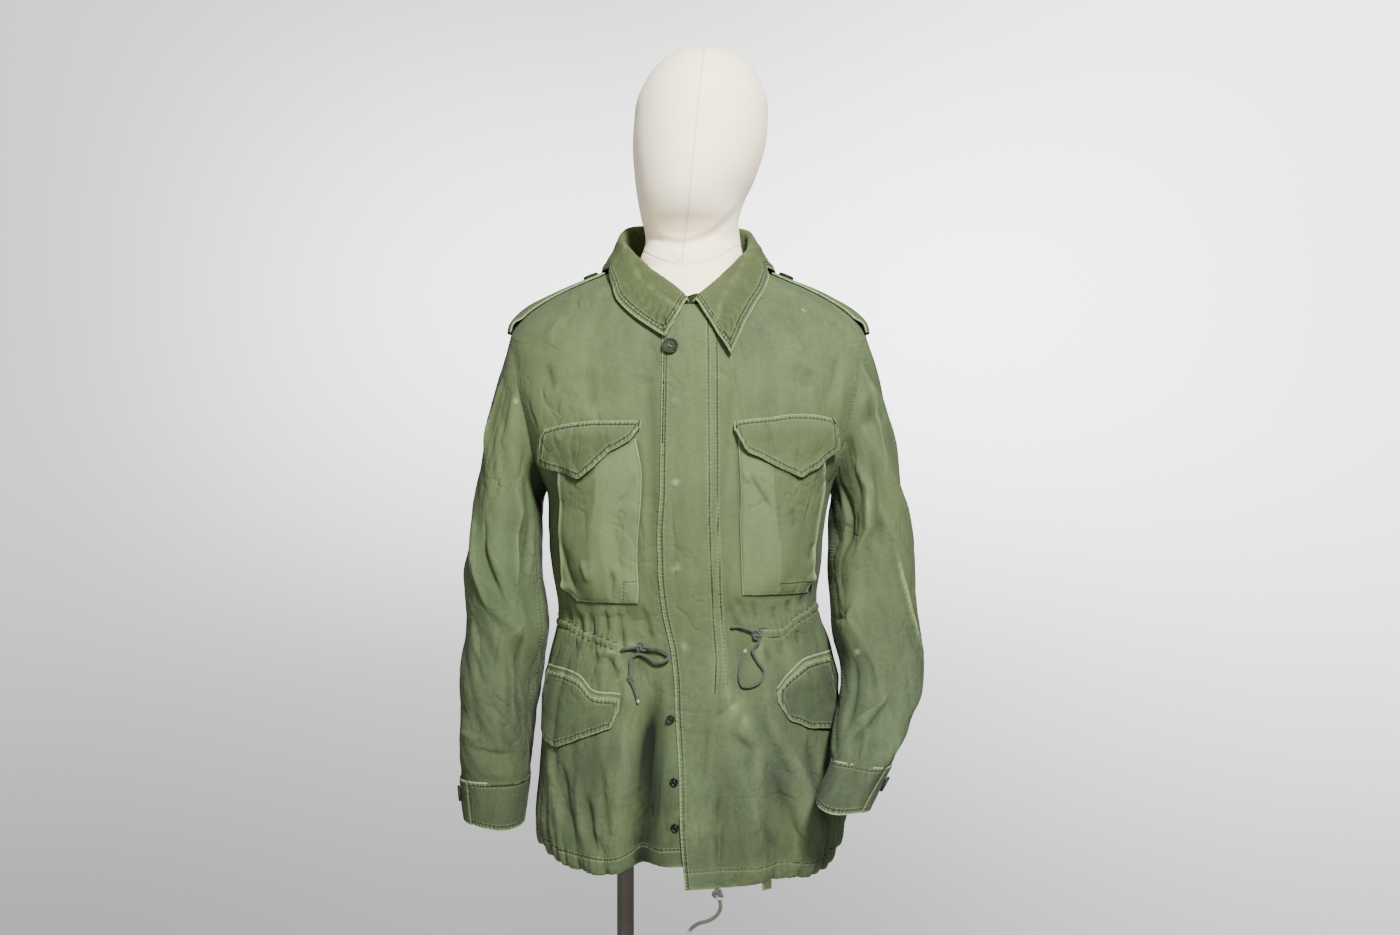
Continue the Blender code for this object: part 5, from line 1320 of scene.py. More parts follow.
def make_back(name, node, material):
    halves = []
    for side in (+1, -1):
        turn, z, out, wall = body_panel(side, +1, back_stops, False)
        halves.append([side * turn, z, out, wall])
    turn, z, out, wall = (
        np.concatenate([left[:, ::-1], right[:, 1:] + (1.0 if part == 0 else 0.0)], axis=1)
        for part, (left, right) in enumerate(zip(*halves))
    )
    middle_column = halves[0][0].shape[1] - 1
    blend = bell(np.arange(turn.shape[1]) - middle_column, 4.0)[None, :]
    out = out * (1 - blend) + out[:, middle_column : middle_column + 1] * blend
    cloth = Cloth(body(turn, z, out - WALL / 2), lined_up=body_normal(turn, z), rounded=("foot",))
    cloth.wall = wall
    foot = np.exp(-cloth.up / 0.0020) * 0.5
    around = np.where(turn < 0.5, turn, 1.0 - turn)
    lines = [waist_seams(cloth, +1, around, z, +1), (np.abs(cloth.up - HEM_STITCH), cloth.across)]
    lines += armhole_seams(cloth, z) + armhole_seams(cloth, z, "left")
    seam, seam_run = nearest_line(lines)
    finish = {"finished": ("foot",), "worn": foot, "seam": seam, "seam_run": seam_run}
    cloth_piece(name, cloth, material, "hung", node, **finish)
    return cloth


# ---------------------------------------------------------------- sleeves and cuffs
SLEEVE_COLUMNS = ("z", "x", "y", "half_width", "half_depth", "lean")
SLEEVES = {
    -1: Table(
        SLEEVE_COLUMNS,
        (770, 227, -4, 30, 49, 0), (797, 229, -4, 31, 50, 0), (831, 235, -4, 34.4, 53, 0),
        (862, 236.2, -4, 38.5, 57, 50), (905, 236.2, -4, 43, 63, 0), (954, 233.5, -4, 45.5, 68, 0),
        (1028, 228.5, -4, 51.5, 73, 0), (1077, 222.5, -4, 51, 76, 0), (1138.5, 225.5, -4, 45.5, 80, 0),
        (1200, 221, -2, 42, 83, 0), (1300, 205, 0, 40, 83, 0),
    ),
    +1: Table(
        SLEEVE_COLUMNS,
        (852.5, 165, -156, 27, 44, -250), (881.6, 173.5, -148, 28, 46, -200),
        (923.8, 196.5, -124, 34.5, 51, -100), (947, 208, -102, 41.8, 55, 0), (973, 217.5, -80, 45.2, 60, 0),
        (991.7, 224.5, -63, 47.5, 64, 0), (1031.6, 229, -42, 49.8, 69, 0), (1078.7, 224, -26, 53.5, 74, 0),
        (1138.5, 223.5, -14, 53.5, 79, 0), (1200, 221.5, -6, 48.5, 83, 0), (1300, 205, 0, 40, 83, 0),
    ),
}
CUFF_TOP_Z = {-1: 0.890, +1: 0.929}
CUFF_FOOT_Z = {-1: 0.834, +1: 0.881}
SLEEVE_FOLDS = {
    -1: thousandths(
        (300, 1210, 400, 1080, 20, -6), (220, 1180, 330, 1050, 20, 5), (120, 1150, 200, 1020, 24, -5),
        (300, 1060, 420, 1000, 18, -6), (100, 960, 200, 900, 24, 4), (700, 1180, 600, 1060, 30, -5),
        (800, 1020, 700, 940, 30, 5),
    ),
    +1: thousandths(
        (200, 1230, 340, 1120, 20, -6), (300, 1180, 360, 1060, 18, 6), (120, 1060, 60, 980, 22, 5),
        (300, 1050, 220, 980, 22, -5), (180, 990, 340, 925, 18, -6), (100, 965, 240, 915, 16, 5),
        (700, 1180, 620, 1060, 30, -5), (560, 1040, 600, 900, 35, -9), (820, 1020, 700, 940, 30, 5),
    ),
}
SLEEVE_GIRTH = 0.39
SLEEVE_HEAD_SLOPE = 0.26
SLEEVE_TUCK = 0.0005
SLEEVE_SQUARE = 0.03
SLEEVE_HEAD_ROWS = 28
SLEEVE_ROWS = 140
SLEEVE_STEPS = 80
CUFF_START = 0.10
CUFF_LAP = 0.05
CUFF_SAG = 0.004
CUFF_FLARE = 0.0016
CUFF_PROUD = 0.0004
CUFF_BUTTON_PLACE = 1.07
CUFF_BUTTON_SHARE = 0.40
SLEEVE_SEAMS = (0.43, 0.448)  # places round the sleeve
PATCH_SEAMS = (0.030, 0.050)  # of the left sleeve's patch


def round_sleeve(rows):
    """Creases whose first places are shares of the sleeve's girth, in metres."""
    return [(points * (SLEEVE_GIRTH, 1), half_width, much) for points, half_width, much in rows]


def sleeve_push(side, place, z):
    """The finer creases of a sleeve, on top of its folds."""
    place, z = np.broadcast_arrays(place, z)
    girth = (place % 1.0) * SLEEVE_GIRTH
    away = smooth(0.0, 0.06, place % 1.0) * smooth(1.0, 0.94, place % 1.0)
    push = crease_height(girth, z, round_sleeve(SLEEVE_CREASES[side])) * (0.25 + 0.75 * away)
    turned = place - side * 1.3 * z
    push = push + 0.0034 * crumple(turned, z / 0.150, 7, 41 + side)
    push = push + 0.0011 * crumple(turned + 0.9 * z, z / 0.070, 16, 45 + side)
    above = z - CUFF_TOP_Z[side]
    pleats = np.sin(2 * np.pi * 15 * place + 3 * lattice_noise(place, z * 0 + 5.5, 12, 47))
    return push + 0.0010 * pleats * np.exp(-np.abs(above) / 0.012) * smooth(-0.002, 0.004, above)


def sleeve_ring(side, place, z, out=0.0):
    """A point of the hanging sleeve: place is 0 outside, 0.25 in front, 0.5 inside, 0.75 behind."""
    table = SLEEVES[side]
    place, z = np.broadcast_arrays(np.asarray(place, float), np.asarray(z, float))
    angle = 2 * np.pi * place
    rows = np.array(SLEEVE_FOLDS[side]) * (SLEEVE_GIRTH, 1, SLEEVE_GIRTH, 1, 1, 1)
    pushes = fold_height((place % 1.0) * SLEEVE_GIRTH, z, rows)
    square = SLEEVE_SQUARE
    across = (np.cos(angle) - square * np.cos(3 * angle)) / (1 - square)
    ahead = (np.sin(angle) + square * np.sin(3 * angle)) / (1 - square)
    width, depth = table("half_width", z), table("half_depth", z)
    normal = unit(np.stack([across / width, ahead / depth], axis=-1))
    reach = out + pushes
    aside = across * width + normal[..., 0] * reach
    x = side * (table("x", z) + aside)
    y = table("y", z) - ahead * depth - normal[..., 1] * reach
    return np.stack(np.broadcast_arrays(x, y, z + table("lean", z) * aside), axis=-1)


def armhole_loop(side):
    """The armhole's edge, from the shoulder tip forward and round, and the way out from it."""
    steps = np.arange(2 * SLEEVE_STEPS) * np.pi / SLEEVE_STEPS
    z = (SHOULDER_Z + ARMPIT_Z) / 2 + (SHOULDER_Z - ARMPIT_Z) / 2 * np.cos(steps)
    turn = np.array([outer_turn(h, -1 if i <= SLEEVE_STEPS else +1) for i, h in enumerate(z)])
    return body(side * turn, z), body_normal(side * turn, z)


def sleeve_grid(side):
    """The sleeve's middle surface, from the cuff's top up to the armhole."""
    out = -WALL / 2
    foot_z = CUFF_TOP_Z[side] - 0.004
    place = np.arange(2 * SLEEVE_STEPS) / (2 * SLEEVE_STEPS)
    seam, away = armhole_loop(side)
    end = sleeve_ring(side, place, SLEEVE_TOP_Z, out)
    below = sleeve_ring(side, place, SLEEVE_TOP_Z - 0.01, out)
    chord = np.linalg.norm(end - seam, axis=1, keepdims=True)
    topmost = (1 + np.cos(2 * np.pi * place))[:, None] / 2
    down = unit(np.array([side * SLEEVE_HEAD_SLOPE, 0, -1.0]))
    leave = unit(down + away * (0.45 - 0.35 * topmost)) * chord
    tangent = np.roll(seam, -1, axis=0) - np.roll(seam, 1, axis=0)
    inward = unit(np.cross(tangent, away))
    inward = inward * np.sign(np.sum(inward * (seam - seam.mean(axis=0)), axis=1, keepdims=True))
    start = seam - away * (WALL / 2 + SLEEVE_TUCK)
    arrive = unit(below - end) * chord
    rows = [start + inward * overlap for overlap in (0.0040, 0.0025, 0.0012)]
    shares = np.concatenate([[0.0, 0.004, 0.010], np.linspace(0.02, 0.97, SLEEVE_HEAD_ROWS)])
    rows += [hermite(t, start, leave, end, arrive) for t in shares]
    rows += [sleeve_ring(side, place, z, out) for z in np.linspace(SLEEVE_TOP_Z, foot_z, SLEEVE_ROWS)]
    return place, np.array(rows[::-1])


def make_sleeve(name, node, side, material):
    place, grid = sleeve_grid(side)
    cloth = Cloth(grid, closed=True, lined_up=grid - grid.mean(axis=1, keepdims=True), rounded=())
    height = sleeve_push(side, place[None, :], grid[..., 2])
    height = height * smooth(0.004, 0.034, cloth.up[-1:] - cloth.up)
    cloth.pushed(height * smooth(CUFF_TOP_Z[side], CUFF_TOP_Z[side] + 0.012, grid[..., 2]))
    worn = worn_ridges(side, place[None, :], grid[..., 2])
    columns = SLEEVE_SEAMS + (PATCH_SEAMS if side > 0 else ())
    lines = [(np.abs(place[None, :] - at) * SLEEVE_GIRTH + 0 * cloth.up, cloth.up) for at in columns]
    seam, seam_run = nearest_line(lines)
    cloth_piece(name, cloth, material, "hung", node, worn=worn, seam=seam, seam_run=seam_run)
    return cloth, place


SLEEVE_RIDGES = {  # pale rubbed lines: half width, how much, and the points that each runs through
    -1: creases(
        (2, 140, 97, 1384, 90, 1325, 116, 1262), (2.2, 160, 150, 1165, 120, 1128),
        (2, 140, 163, 1213, 193, 1167), (2.6, 100, 331, 1213, 343, 1109),
    ),
    +1: creases(
        (1.8, 280, 197, 1177, 172, 1133, 62, 1034), (2.2, 100, 150, 1400, 130, 1330, 190, 1240),
        (3, 300, 345, 1052, 335, 1046), (2.2, 160, 55, 1008, 73, 977), (2.6, 100, 276, 1240, 290, 1192),
    ),
}


def worn_ridges(side, place, z):
    place, z = np.broadcast_arrays(place, z)
    return crease_height((place % 1.0) * SLEEVE_GIRTH, z, round_sleeve(SLEEVE_RIDGES[side]))


def cuff_face(side, place, share, depth=0.0):
    """A point of the cuff's outer face: share runs from its top to its foot."""
    z = CUFF_TOP_Z[side] + (CUFF_FOOT_Z[side] - CUFF_TOP_Z[side]) * share
    z = z + share * CUFF_SAG * np.sin(2 * np.pi * (2 * place + 0.1))
    lapped = smooth(0.92, 0.985, place - CUFF_START) * (WALL + 2 * GAP)
    flare = share * CUFF_FLARE * np.sin(2 * np.pi * 3 * place)
    return sleeve_ring(side, place, z, CUFF_PROUD + lapped + flare - depth)


def make_cuff(name, node, side, material):
    place = CUFF_START + stops_between(0.0, 1.0 + CUFF_LAP, 120)
    share = stops_between(0.0, 1.0, 22)
    place_grid, share_grid = np.meshgrid(place, share[::-1])
    grid = cuff_face(side, place_grid, share_grid, WALL / 2)
    cloth = Cloth(grid, lined_up=grid - grid.mean(axis=1, keepdims=True))
    height = 0.0009 * lattice_noise(place_grid, share_grid * 1.6, 16, 51 + side)
    height += 0.0004 * lattice_noise(place_grid, share_grid * 4, 60, 53 + side)
    cloth.pushed(height * smooth(0.0, 0.06, place_grid - CUFF_START) * smooth(1.15, 1.07, place_grid))
    lap = 0.3 * np.exp(-cloth.borders["right"][0] / 0.0012)
    cloth_piece(name, cloth, material, "gathered", node, finished=("foot", "top"), worn=lap)
    columns = np.linspace(2, len(place) - 3, 500)
    for row in (row_at(cloth, 0.0055), row_at(cloth, 0.0055, top=True), row_at(cloth, 0.0022, top=True)):
        sew(cloth, row, columns)


def row_at(cloth, distance, top=False):
    """The row that is this far from the foot or the top of a cloth."""
    up = cloth.up.mean(axis=1)
    return float(np.interp(up[-1] - distance if top else distance, up, np.arange(len(up))))


def column_at(cloth, distance, right=False):
    across = cloth.across.mean(axis=0)
    return float(np.interp(across[-1] - distance if right else distance, across, np.arange(len(across))))


# ---------------------------------------------------------------- what lies on the fronts
BAG_COLUMNS = ("z", "inner", "outer", "puff")
CHEST_BAGS = {
    -1: Table(
        BAG_COLUMNS,
        (1108, 56, 128, 0.4), (1126, 54, 142, 3), (1160, 55, 145, 5), (1210, 53, 146, 5.5),
        (1253, 53, 150, 4.5), (1298, 60, 152, 1),
    ),
    +1: Table(
        BAG_COLUMNS,
        (1117, 66, 142, 0.4), (1135, 65, 148, 3), (1170, 64, 152, 5), (1210, 62, 155, 5.5),
        (1253, 60, 160, 4.5), (1298, 58, 160, 1),
    ),
}
BAG_FULLNESS = 1.35
BAG_BOX = (0.0175, 0.0265)  # the right bag's stitched corner, across and up
BAG_FOLD_Z = 0.0150  # the left bag's stitched fold, up from its foot
BAG_ACROSS = (0.0, 0.03, 0.12, 0.54, 0.58, 0.90, 0.94, 0.97, 1.0)
BAG_STANDING = (0, 0.25, 0.6, 1.0, 0.96, 0.62, 0.50, 0.74, 0)
# The bag's inner side, where the light falls, is painted paler up to a line: a painted highlight.
BAG_PAINTED_HIGHLIGHT = {-1: ((0.104, 1.270), (0.107, 1.120)), +1: ((0.096, 1.270), (0.110, 1.120))}  # up to a line
BAG_CREASES = {
    -1: creases(
        (4, -1.2, 83, 1150, 86, 1108), (10, -0.8, 74, 1240, 80, 1190, 72, 1130),
        (6, -0.9, 60, 1262, 70, 1235, 84, 1215), (4, -1.4, 141, 1180, 137, 1150, 124, 1110),
        (5, 0.8, 118, 1160, 108, 1130),
    ),
    +1: creases(
        (6, -1, 68, 1262, 80, 1240, 98, 1212), (4, 0.8, 64, 1262, 70, 1246),
        (5, -0.8, 118, 1222, 124, 1190), (4, -1.2, 150, 1180, 142, 1150),
    ),
}
FLAP_COLUMNS = ("x", "top", "foot")
CHEST_FLAPS = {
    -1: Table(
        FLAP_COLUMNS,
        (54, 1319, 1312), (64, 1319, 1297), (88, 1319, 1283), (106, 1319, 1266), (121, 1318, 1253),
        (145, 1315, 1262), (170, 1309, 1273),
    ),
    +1: Table(
        FLAP_COLUMNS,
        (53, 1318, 1310), (60, 1319, 1295), (67, 1320, 1283), (95, 1323, 1270), (127, 1327, 1255),
        (150, 1326, 1270), (171, 1322, 1288),
    ),
}
HIP_FLAPS = {
    -1: Table(
        FLAP_COLUMNS,
        (80, 996, 985), (88, 997, 964), (115, 1000, 954), (131, 1014, 947), (152, 1020, 936),
        (176, 1021, 948),
    ),
    +1: Table(
        FLAP_COLUMNS,
        (102, 1002, 994), (114, 1016, 972), (138, 1032, 961), (155, 1036, 957), (176, 1037, 954),
    ),
}
SEWN_LIE = 0.0001  # under a border that is sewn down
HIP_WELT_HEIGHT = 0.007
HIP_Z = 0.985
HIP_FLAP_RISE = 0.0012
FLAP_RISE = 0.0068
FLAP_STITCH = 0.0052
FLAP_TOP_STITCHES = (0.0022, 0.0085)


def straight(table, column, at):
    """A flap's outline as straight runs between its corners, each corner eased over a few millimetres."""
    shifts = np.linspace(-0.0030, 0.0030, 7)
    places = (np.asarray(at) + shift for shift in shifts)
    return sum(np.interp(place, table.stations, table.values[column]) for place in places) / len(shifts)


def on_front(side, x, z, out, taper_z=None):
    """A point at a distance to the side, which may shrink and grow with the body's width."""
    if taper_z:
        x = x * BODY("half_width", z) / BODY("half_width", taper_z)
    return body(side * turn_at_x(x, z), z, out)


def front_way(side, x, z):
    return body_normal(side * turn_at_x(x, z), z)


def make_bag(name, node, side, material):
    """A patch pocket's bag, sewn down round its edge and standing off inside it."""
    table = CHEST_BAGS[side]
    foot_z, bend_z = table.stations[:2]
    across = stops_between(0.0, 0.092, 86) / 0.092
    across, z = np.meshgrid(across, stops_between(foot_z, table.stations[-1], 120))
    standing = np.interp(across, BAG_ACROSS, BAG_STANDING)
    x = table("inner", z) + (table("outer", z) - table("inner", z)) * across
    inside = smooth(0.0, 0.10, across) * smooth(1.0, 0.90, across)
    wrinkles = crease_height(x, z, BAG_CREASES[side]) * inside
    sewn = smooth(0.0, 0.06, across) * smooth(1.0, 0.94, across) * smooth(0.0, 0.006, z - foot_z)
    out = SEWN_LIE + (LIE - SEWN_LIE) * sewn + BAG_FULLNESS * table("puff", z) * standing + WALL / 2
    out = out + 1.5 * wrinkles * smooth(foot_z, 1.135, z)
    out = out + 0.0050 * bell(z - bend_z, 0.0050) * smooth(0.86, 0.98, across) * (across < 1)
    cloth = Cloth(on_front(side, x, z, out), lined_up=front_way(side, x, z))
    outer_edge = cloth.borders["right"][0]
    dice = 0.5 + 0.5 * lattice_noise(cloth.up / 2.0, cloth.across / 0.008, 80, 61 + side)
    worn = (np.exp(-cloth.across / 0.0016) + np.exp(-outer_edge / 0.0020)) * 0.6
    worn = (worn + np.exp(-cloth.up / 0.0020) * 0.6) * dice
    worn = worn + (0.45 + 0.5 * dice) * bell(across - 0.972, 0.017)
    # Painted highlight: worn rises on the bag's inner side, up to a wavering line.
    (x0, z0), (x1, z1) = BAG_PAINTED_HIGHLIGHT[side]
    ridge = np.interp(z, (z1, z0), (x1, x0)) + 0.0026 * lattice_noise(z * 9, x * 0 + 3.5, 7, 63)
    ridge = ridge + 0.0012 * lattice_noise(z * 9, x * 0 + 5.5, 22, 64)
    worn = worn + 0.16 * smooth(0.0012, -0.0012, x - ridge) * smooth(0.0, 0.05, across)
    lines = [(np.abs(outer_edge - 0.0052) + 1.0 * (z < bend_z), cloth.up)]
    if side < 0:
        lines.append((np.abs(cloth.up - BAG_BOX[1]) + 1.0 * (cloth.across > BAG_BOX[0]), cloth.across))
        lines.append((np.abs(cloth.across - BAG_BOX[0]) + 1.0 * (cloth.up > BAG_BOX[1]), cloth.up))
    else:
        lines.append((np.abs(cloth.up - BAG_FOLD_Z) + 1.0 * (across < 0.52), cloth.across))
    seam, seam_run = nearest_line(lines)
    # Painted shadow of the flap on the bag, just below the flap's foot.
    below = straight(CHEST_FLAPS[side], "foot", x) - z
    soiled = 0.65 * smooth(0.0085, 0.0005, below) * (below > -0.004)
    finish = {"worn": worn, "seam": seam, "seam_run": seam_run, "soiled": soiled}
    cloth_piece(name, cloth, material, "hung", node, finished=("left", "right", "foot"), **finish)
    inner, foot = column_at(cloth, 0.0018), row_at(cloth, 0.0018)
    sew(cloth, np.linspace(2, z.shape[0] - 3, 300), inner)
    sew(cloth, foot, np.linspace(inner, x.shape[1] - 4, 200))
    if side < 0:
        box_row, box_column = row_at(cloth, BAG_BOX[1]), column_at(cloth, BAG_BOX[0])
        sew(cloth, box_row, np.linspace(inner, box_column, 60))
        sew(cloth, np.linspace(foot, box_row, 60), box_column)
    else:
        sew(cloth, row_at(cloth, 0.020), np.linspace(inner, x.shape[1] * 0.62, 120))


def make_flap(name, node, side, table, rise, material, taper_z=None, curl=0.0):
    """A pocket flap: sewn down along its top, standing off towards its shaped foot."""
    start, end = table.stations[[0, -1]]
    wide, standing = end - start, rise > 0.003
    x = stops_between(start, end, 84)
    share = np.unique(np.concatenate([[0, 0.012, 0.03, 0.06], np.linspace(0, 1, 24), [0.97, 0.985, 0.994]]))
    x, share = np.meshgrid(x, share[::-1])
    top, foot = table("top", x), straight(table, "foot", x)
    foot = foot + 0.0011 * lattice_noise(x / wide, x * 0 + 6.5, 13, 77 + side) * smooth(0.0, 0.012, top - foot)
    z = top + (foot - top) * share
    drop = top - z
    near_end = np.minimum(x - start, end - x)
    pucker = np.sin(2 * np.pi * x / PUCKER_PITCH + 3.0 * lattice_noise(x / wide, z * 0 + 2.5, 30, 71))
    out = SEWN_LIE + (LIE - SEWN_LIE) * smooth(0.0, 0.006, drop) + rise * smooth(0.0, 0.014, drop) + WALL / 2
    uneven = 0.0013 * crumple(x / 0.30, z / 0.030, 9, 73 + side) * smooth(0.0, 0.02, drop)
    to_edge = np.minimum(z - foot, near_end)
    sewn = pucker * (bell(drop - 0.004, 0.005) + 0.8 * bell(to_edge - 0.005, 0.004))
    rolled = -0.0010 * smooth(0.004, 0.0, to_edge) * smooth(0.004, 0.012, drop)
    tip = x[0, int(np.argmin(foot[0]))]
    waver = lattice_noise(x / wide, z * 0 + 5.5, 9, 79 + side)
    curled = curl * (1.6 + 2.6 * waver + 3.0 * bell(x - tip, 0.010) + 3.5 * smooth(0.012, 0.0, x - start))
    curled = curled * smooth(0.016, 0.0, to_edge) * smooth(0.012, 0.03, drop)
    roped = np.sin(2 * np.pi * (x + 0.6 * to_edge) / 0.0058 + 2.0 * waver) * bell(to_edge - 0.0022, 0.0022)
    curled = curled + 0.00045 * roped * smooth(0.008, 0.02, drop) * standing
    out = out + np.clip(uneven, -0.0007, 1) + 0.00022 * sewn + np.maximum(rolled, -rise * 0.5) + curled
    cloth = Cloth(on_front(side, x, z, out, taper_z), wall=WALL, lined_up=front_way(side, x, z))
    slope = np.gradient(foot, axis=1) / np.maximum(np.gradient(x, axis=1), 1e-6)
    edge = np.minimum((z - foot) / np.sqrt(1 + np.clip(slope, -3, 3) ** 2), near_end)
    edge = np.minimum(edge, np.maximum(drop, 0))
    dice = 0.5 + 0.5 * lattice_noise(x / wide, z * 0 + 8.5, 60, 75 + side)
    rubbed = 0.045 if (side > 0) == standing else 0.0
    worn = np.exp(-np.maximum(edge, 0) / 0.0010) * (0.5 + 0.5 * dice) + rubbed
    cloth_piece(name, cloth, material, "hung", node, edge=edge, run=x, worn=worn)
    sew_flap(cloth, table, x[0], share[:, 0], FLAP_STITCH)
    if standing:
        sew_flap_top(cloth, table, x[0], share[:, 0])


def flap_rows(table, x, z_or_drop, share, dropped=False):
    """Rows of a flap's grid for heights, or for drops from its top."""
    top, foot = table("top", x), straight(table, "foot", x)
    drop = z_or_drop if dropped else top - z_or_drop
    return np.interp(np.clip(drop / (top - foot), 0, 1), share[::-1], np.arange(len(share))[::-1])


def sew_flap(cloth, table, x, share, inset):
    """Stitches just inside a flap's free edge."""
    steps = np.arange(len(x))
    long = np.linspace(x[0] + inset, x[-1] - inset, 300)
    top, foot = table("top", long), straight(table, "foot", long)
    slope = np.gradient(foot, long)
    z = np.minimum(foot + inset * np.sqrt(1 + np.clip(slope, -2, 2) ** 2), top - 0.003)
    sew(cloth, flap_rows(table, long, z, share), np.interp(long, x, steps))
    for at in (x[0] + inset, x[-1] - inset):
        top, foot = float(table("top", at)), float(straight(table, "foot", at))
        z = np.linspace(top - 0.002, min(foot + inset * 1.5, top - 0.003), 60)
        sew(cloth, flap_rows(table, at, z, share), np.interp(at, x, steps))


def sew_flap_top(cloth, table, x, share):
    long = np.linspace(x[0] + 0.004, x[-1] - 0.003, 300)
    for drop in FLAP_TOP_STITCHES:
        sew(cloth, flap_rows(table, long, drop, share, dropped=True), np.interp(long, x, np.arange(len(x))))


def make_hip_welt(name, node, side, material):
    """The narrow stitched strip that the hip flap hangs from."""
    table = HIP_FLAPS[side]
    x = stops_between(table.stations[0], table.stations[-1], 60)
    rise = stops_between(GAP, GAP + HIP_WELT_HEIGHT, 7)
    x, rise = np.meshgrid(x, rise)
    z = table("top", x) + rise
    pucker = np.sin(2 * np.pi * x / PUCKER_PITCH + 2.0 * lattice_noise(x / 0.1, z * 0 + 2.5, 30, 77))
    out = SEWN_LIE + WALL / 2 + 0.00018 * pucker
    cloth = Cloth(on_front(side, x, z, out, HIP_Z), lined_up=front_way(side, x, z))
    dice = 0.5 + 0.5 * lattice_noise(x / 0.1, z * 0 + 4.5, 60, 79)
    worn = np.exp(-np.minimum(rise - GAP, GAP + HIP_WELT_HEIGHT - rise) / 0.001) * 0.5 * dice
    cloth_piece(name, cloth, material, "hung", node, finished=("foot", "top"), worn=worn)
    for distance in (0.0014, 0.0052):
        sew(cloth, row_at(cloth, distance), np.linspace(2, x.shape[1] - 3, 200))


# ---------------------------------------------------------------- epaulettes
EPAULETTE = Table(
    ("z", "half_width", "lift"),
    (1427, 24, 1), (1440, 24.5, 5), (1455, 24, 4), (1470, 22.5, 1.6), (1485, 20.5, 0.4), (1496, 17, 0.2),
    (1501, 10.5, 0.2),
)
EPAULETTE_WALL = 0.0024
EPAULETTE_BUTTON_Z = 1.4945


def make_epaulette(name, node, side, material):
    """A strap along the shoulder seam, caught in the sleeve's seam and buttoned by the collar."""
    across = stops_between(-0.024, 0.024, 26) / 0.024
    z = stops_between(1.4270, 1.5010, 54)
    across, z = np.meshgrid(across, z)
    depth = np.where(across < 0, BODY("front", z), BODY("back", z))
    turn = 0.25 + np.arcsin(across * EPAULETTE("half_width", z) / depth) / (2 * np.pi)
    uneven = 0.0005 * lattice_noise(across * 0.2 + 0.5, z / 0.018, 12, 81 + side)
    crown = 0.0006 * (1 - across**2)
    fallen = 1 - 0.85 * np.abs(across) ** 2.5 * smooth(1.434, 1.446, z)
    lift = (GAP + EPAULETTE("lift", z)) * fallen + LIE * (0.2 + 0.8 * fallen)
    out = lift + EPAULETTE_WALL / 2 + np.maximum(uneven, -0.0002) + crown
    cloth = Cloth(body(side * turn, z, out), wall=EPAULETTE_WALL, lined_up=body_normal(side * turn, z))
    dice = 0.5 + 0.5 * lattice_noise(z * 3, across * 0 + 2.5, 60, 83)
    worn = np.exp(-np.minimum(cloth.borders["left"][0], cloth.borders["right"][0]) / 0.0018)
    worn = worn * (0.5 + 0.5 * dice)
    cloth_piece(name, cloth, material, "hung", node, finished=("left", "right", "top"), worn=worn)
    for right in (False, True):
        sew(cloth, np.linspace(1, z.shape[0] - 5, 200), column_at(cloth, 0.0045, right))


# ---------------------------------------------------------------- collar
COLLAR = Table(
    ("around", "base_turn", "fold_x", "fold_y", "fold_z", "edge_turn", "edge_z", "edge_lift"),
    (0, -6, -1, -103, 1460.5, -17, 1415, 7.5), (100, -17, -7, -100.5, 1469, -26, 1423, 6.8),
    (220, -45, -23, -93.5, 1483, -42, 1436, 6.2), (360, -90, -44, -77, 1499, -70, 1458, 5.2),
    (500, -150, -66, -50, 1522, -110, 1484, 5.5), (640, -230, -82, -6, 1546, -200, 1502, 6.5),
    (800, -350, -70, 58, 1568, -340, 1496, 6), (1000, -500, 2, 87, 1577, -500, 1490, 6),
    (1200, -650, 72, 58, 1564, -660, 1496, 6), (1360, -770, 76, -2, 1538, -800, 1502, 6.5),
    (1500, -850, 61, -44, 1516, -880, 1486, 5.5), (1640, -910, 42, -76, 1494, -925, 1462, 5.2),
    (1780, -955, 24, -95, 1476, -950, 1436, 6), (1900, -982, 13.5, -101, 1467, -962, 1412, 7.2),
    (2000, -992, 8.5, -103.5, 1460.5, -969, 1394, 8.5),
)
COLLAR_WALL = 0.0022
COLLAR_STITCHES = (0.0048, 0.0088)
COLLAR_RISE = 0.0022
COLLAR_FRONT_RISE = 0.0020
FOLD_SPREAD = 0.0036
FOLD_DROP = 0.0022


def section_curve(points, count):
    """Points along a smooth curve through a section's points, close ones at both ends."""
    route = smooth_route(points, 0.0004)
    along = lengths_along(route, 0)
    close = [0.0006, 0.0015, *(along[-1] - np.array([0.0024, 0.0012, 0.0005]))]
    return read_line(np.sort(np.append(np.linspace(0.0, along[-1], count), close)), along, route)


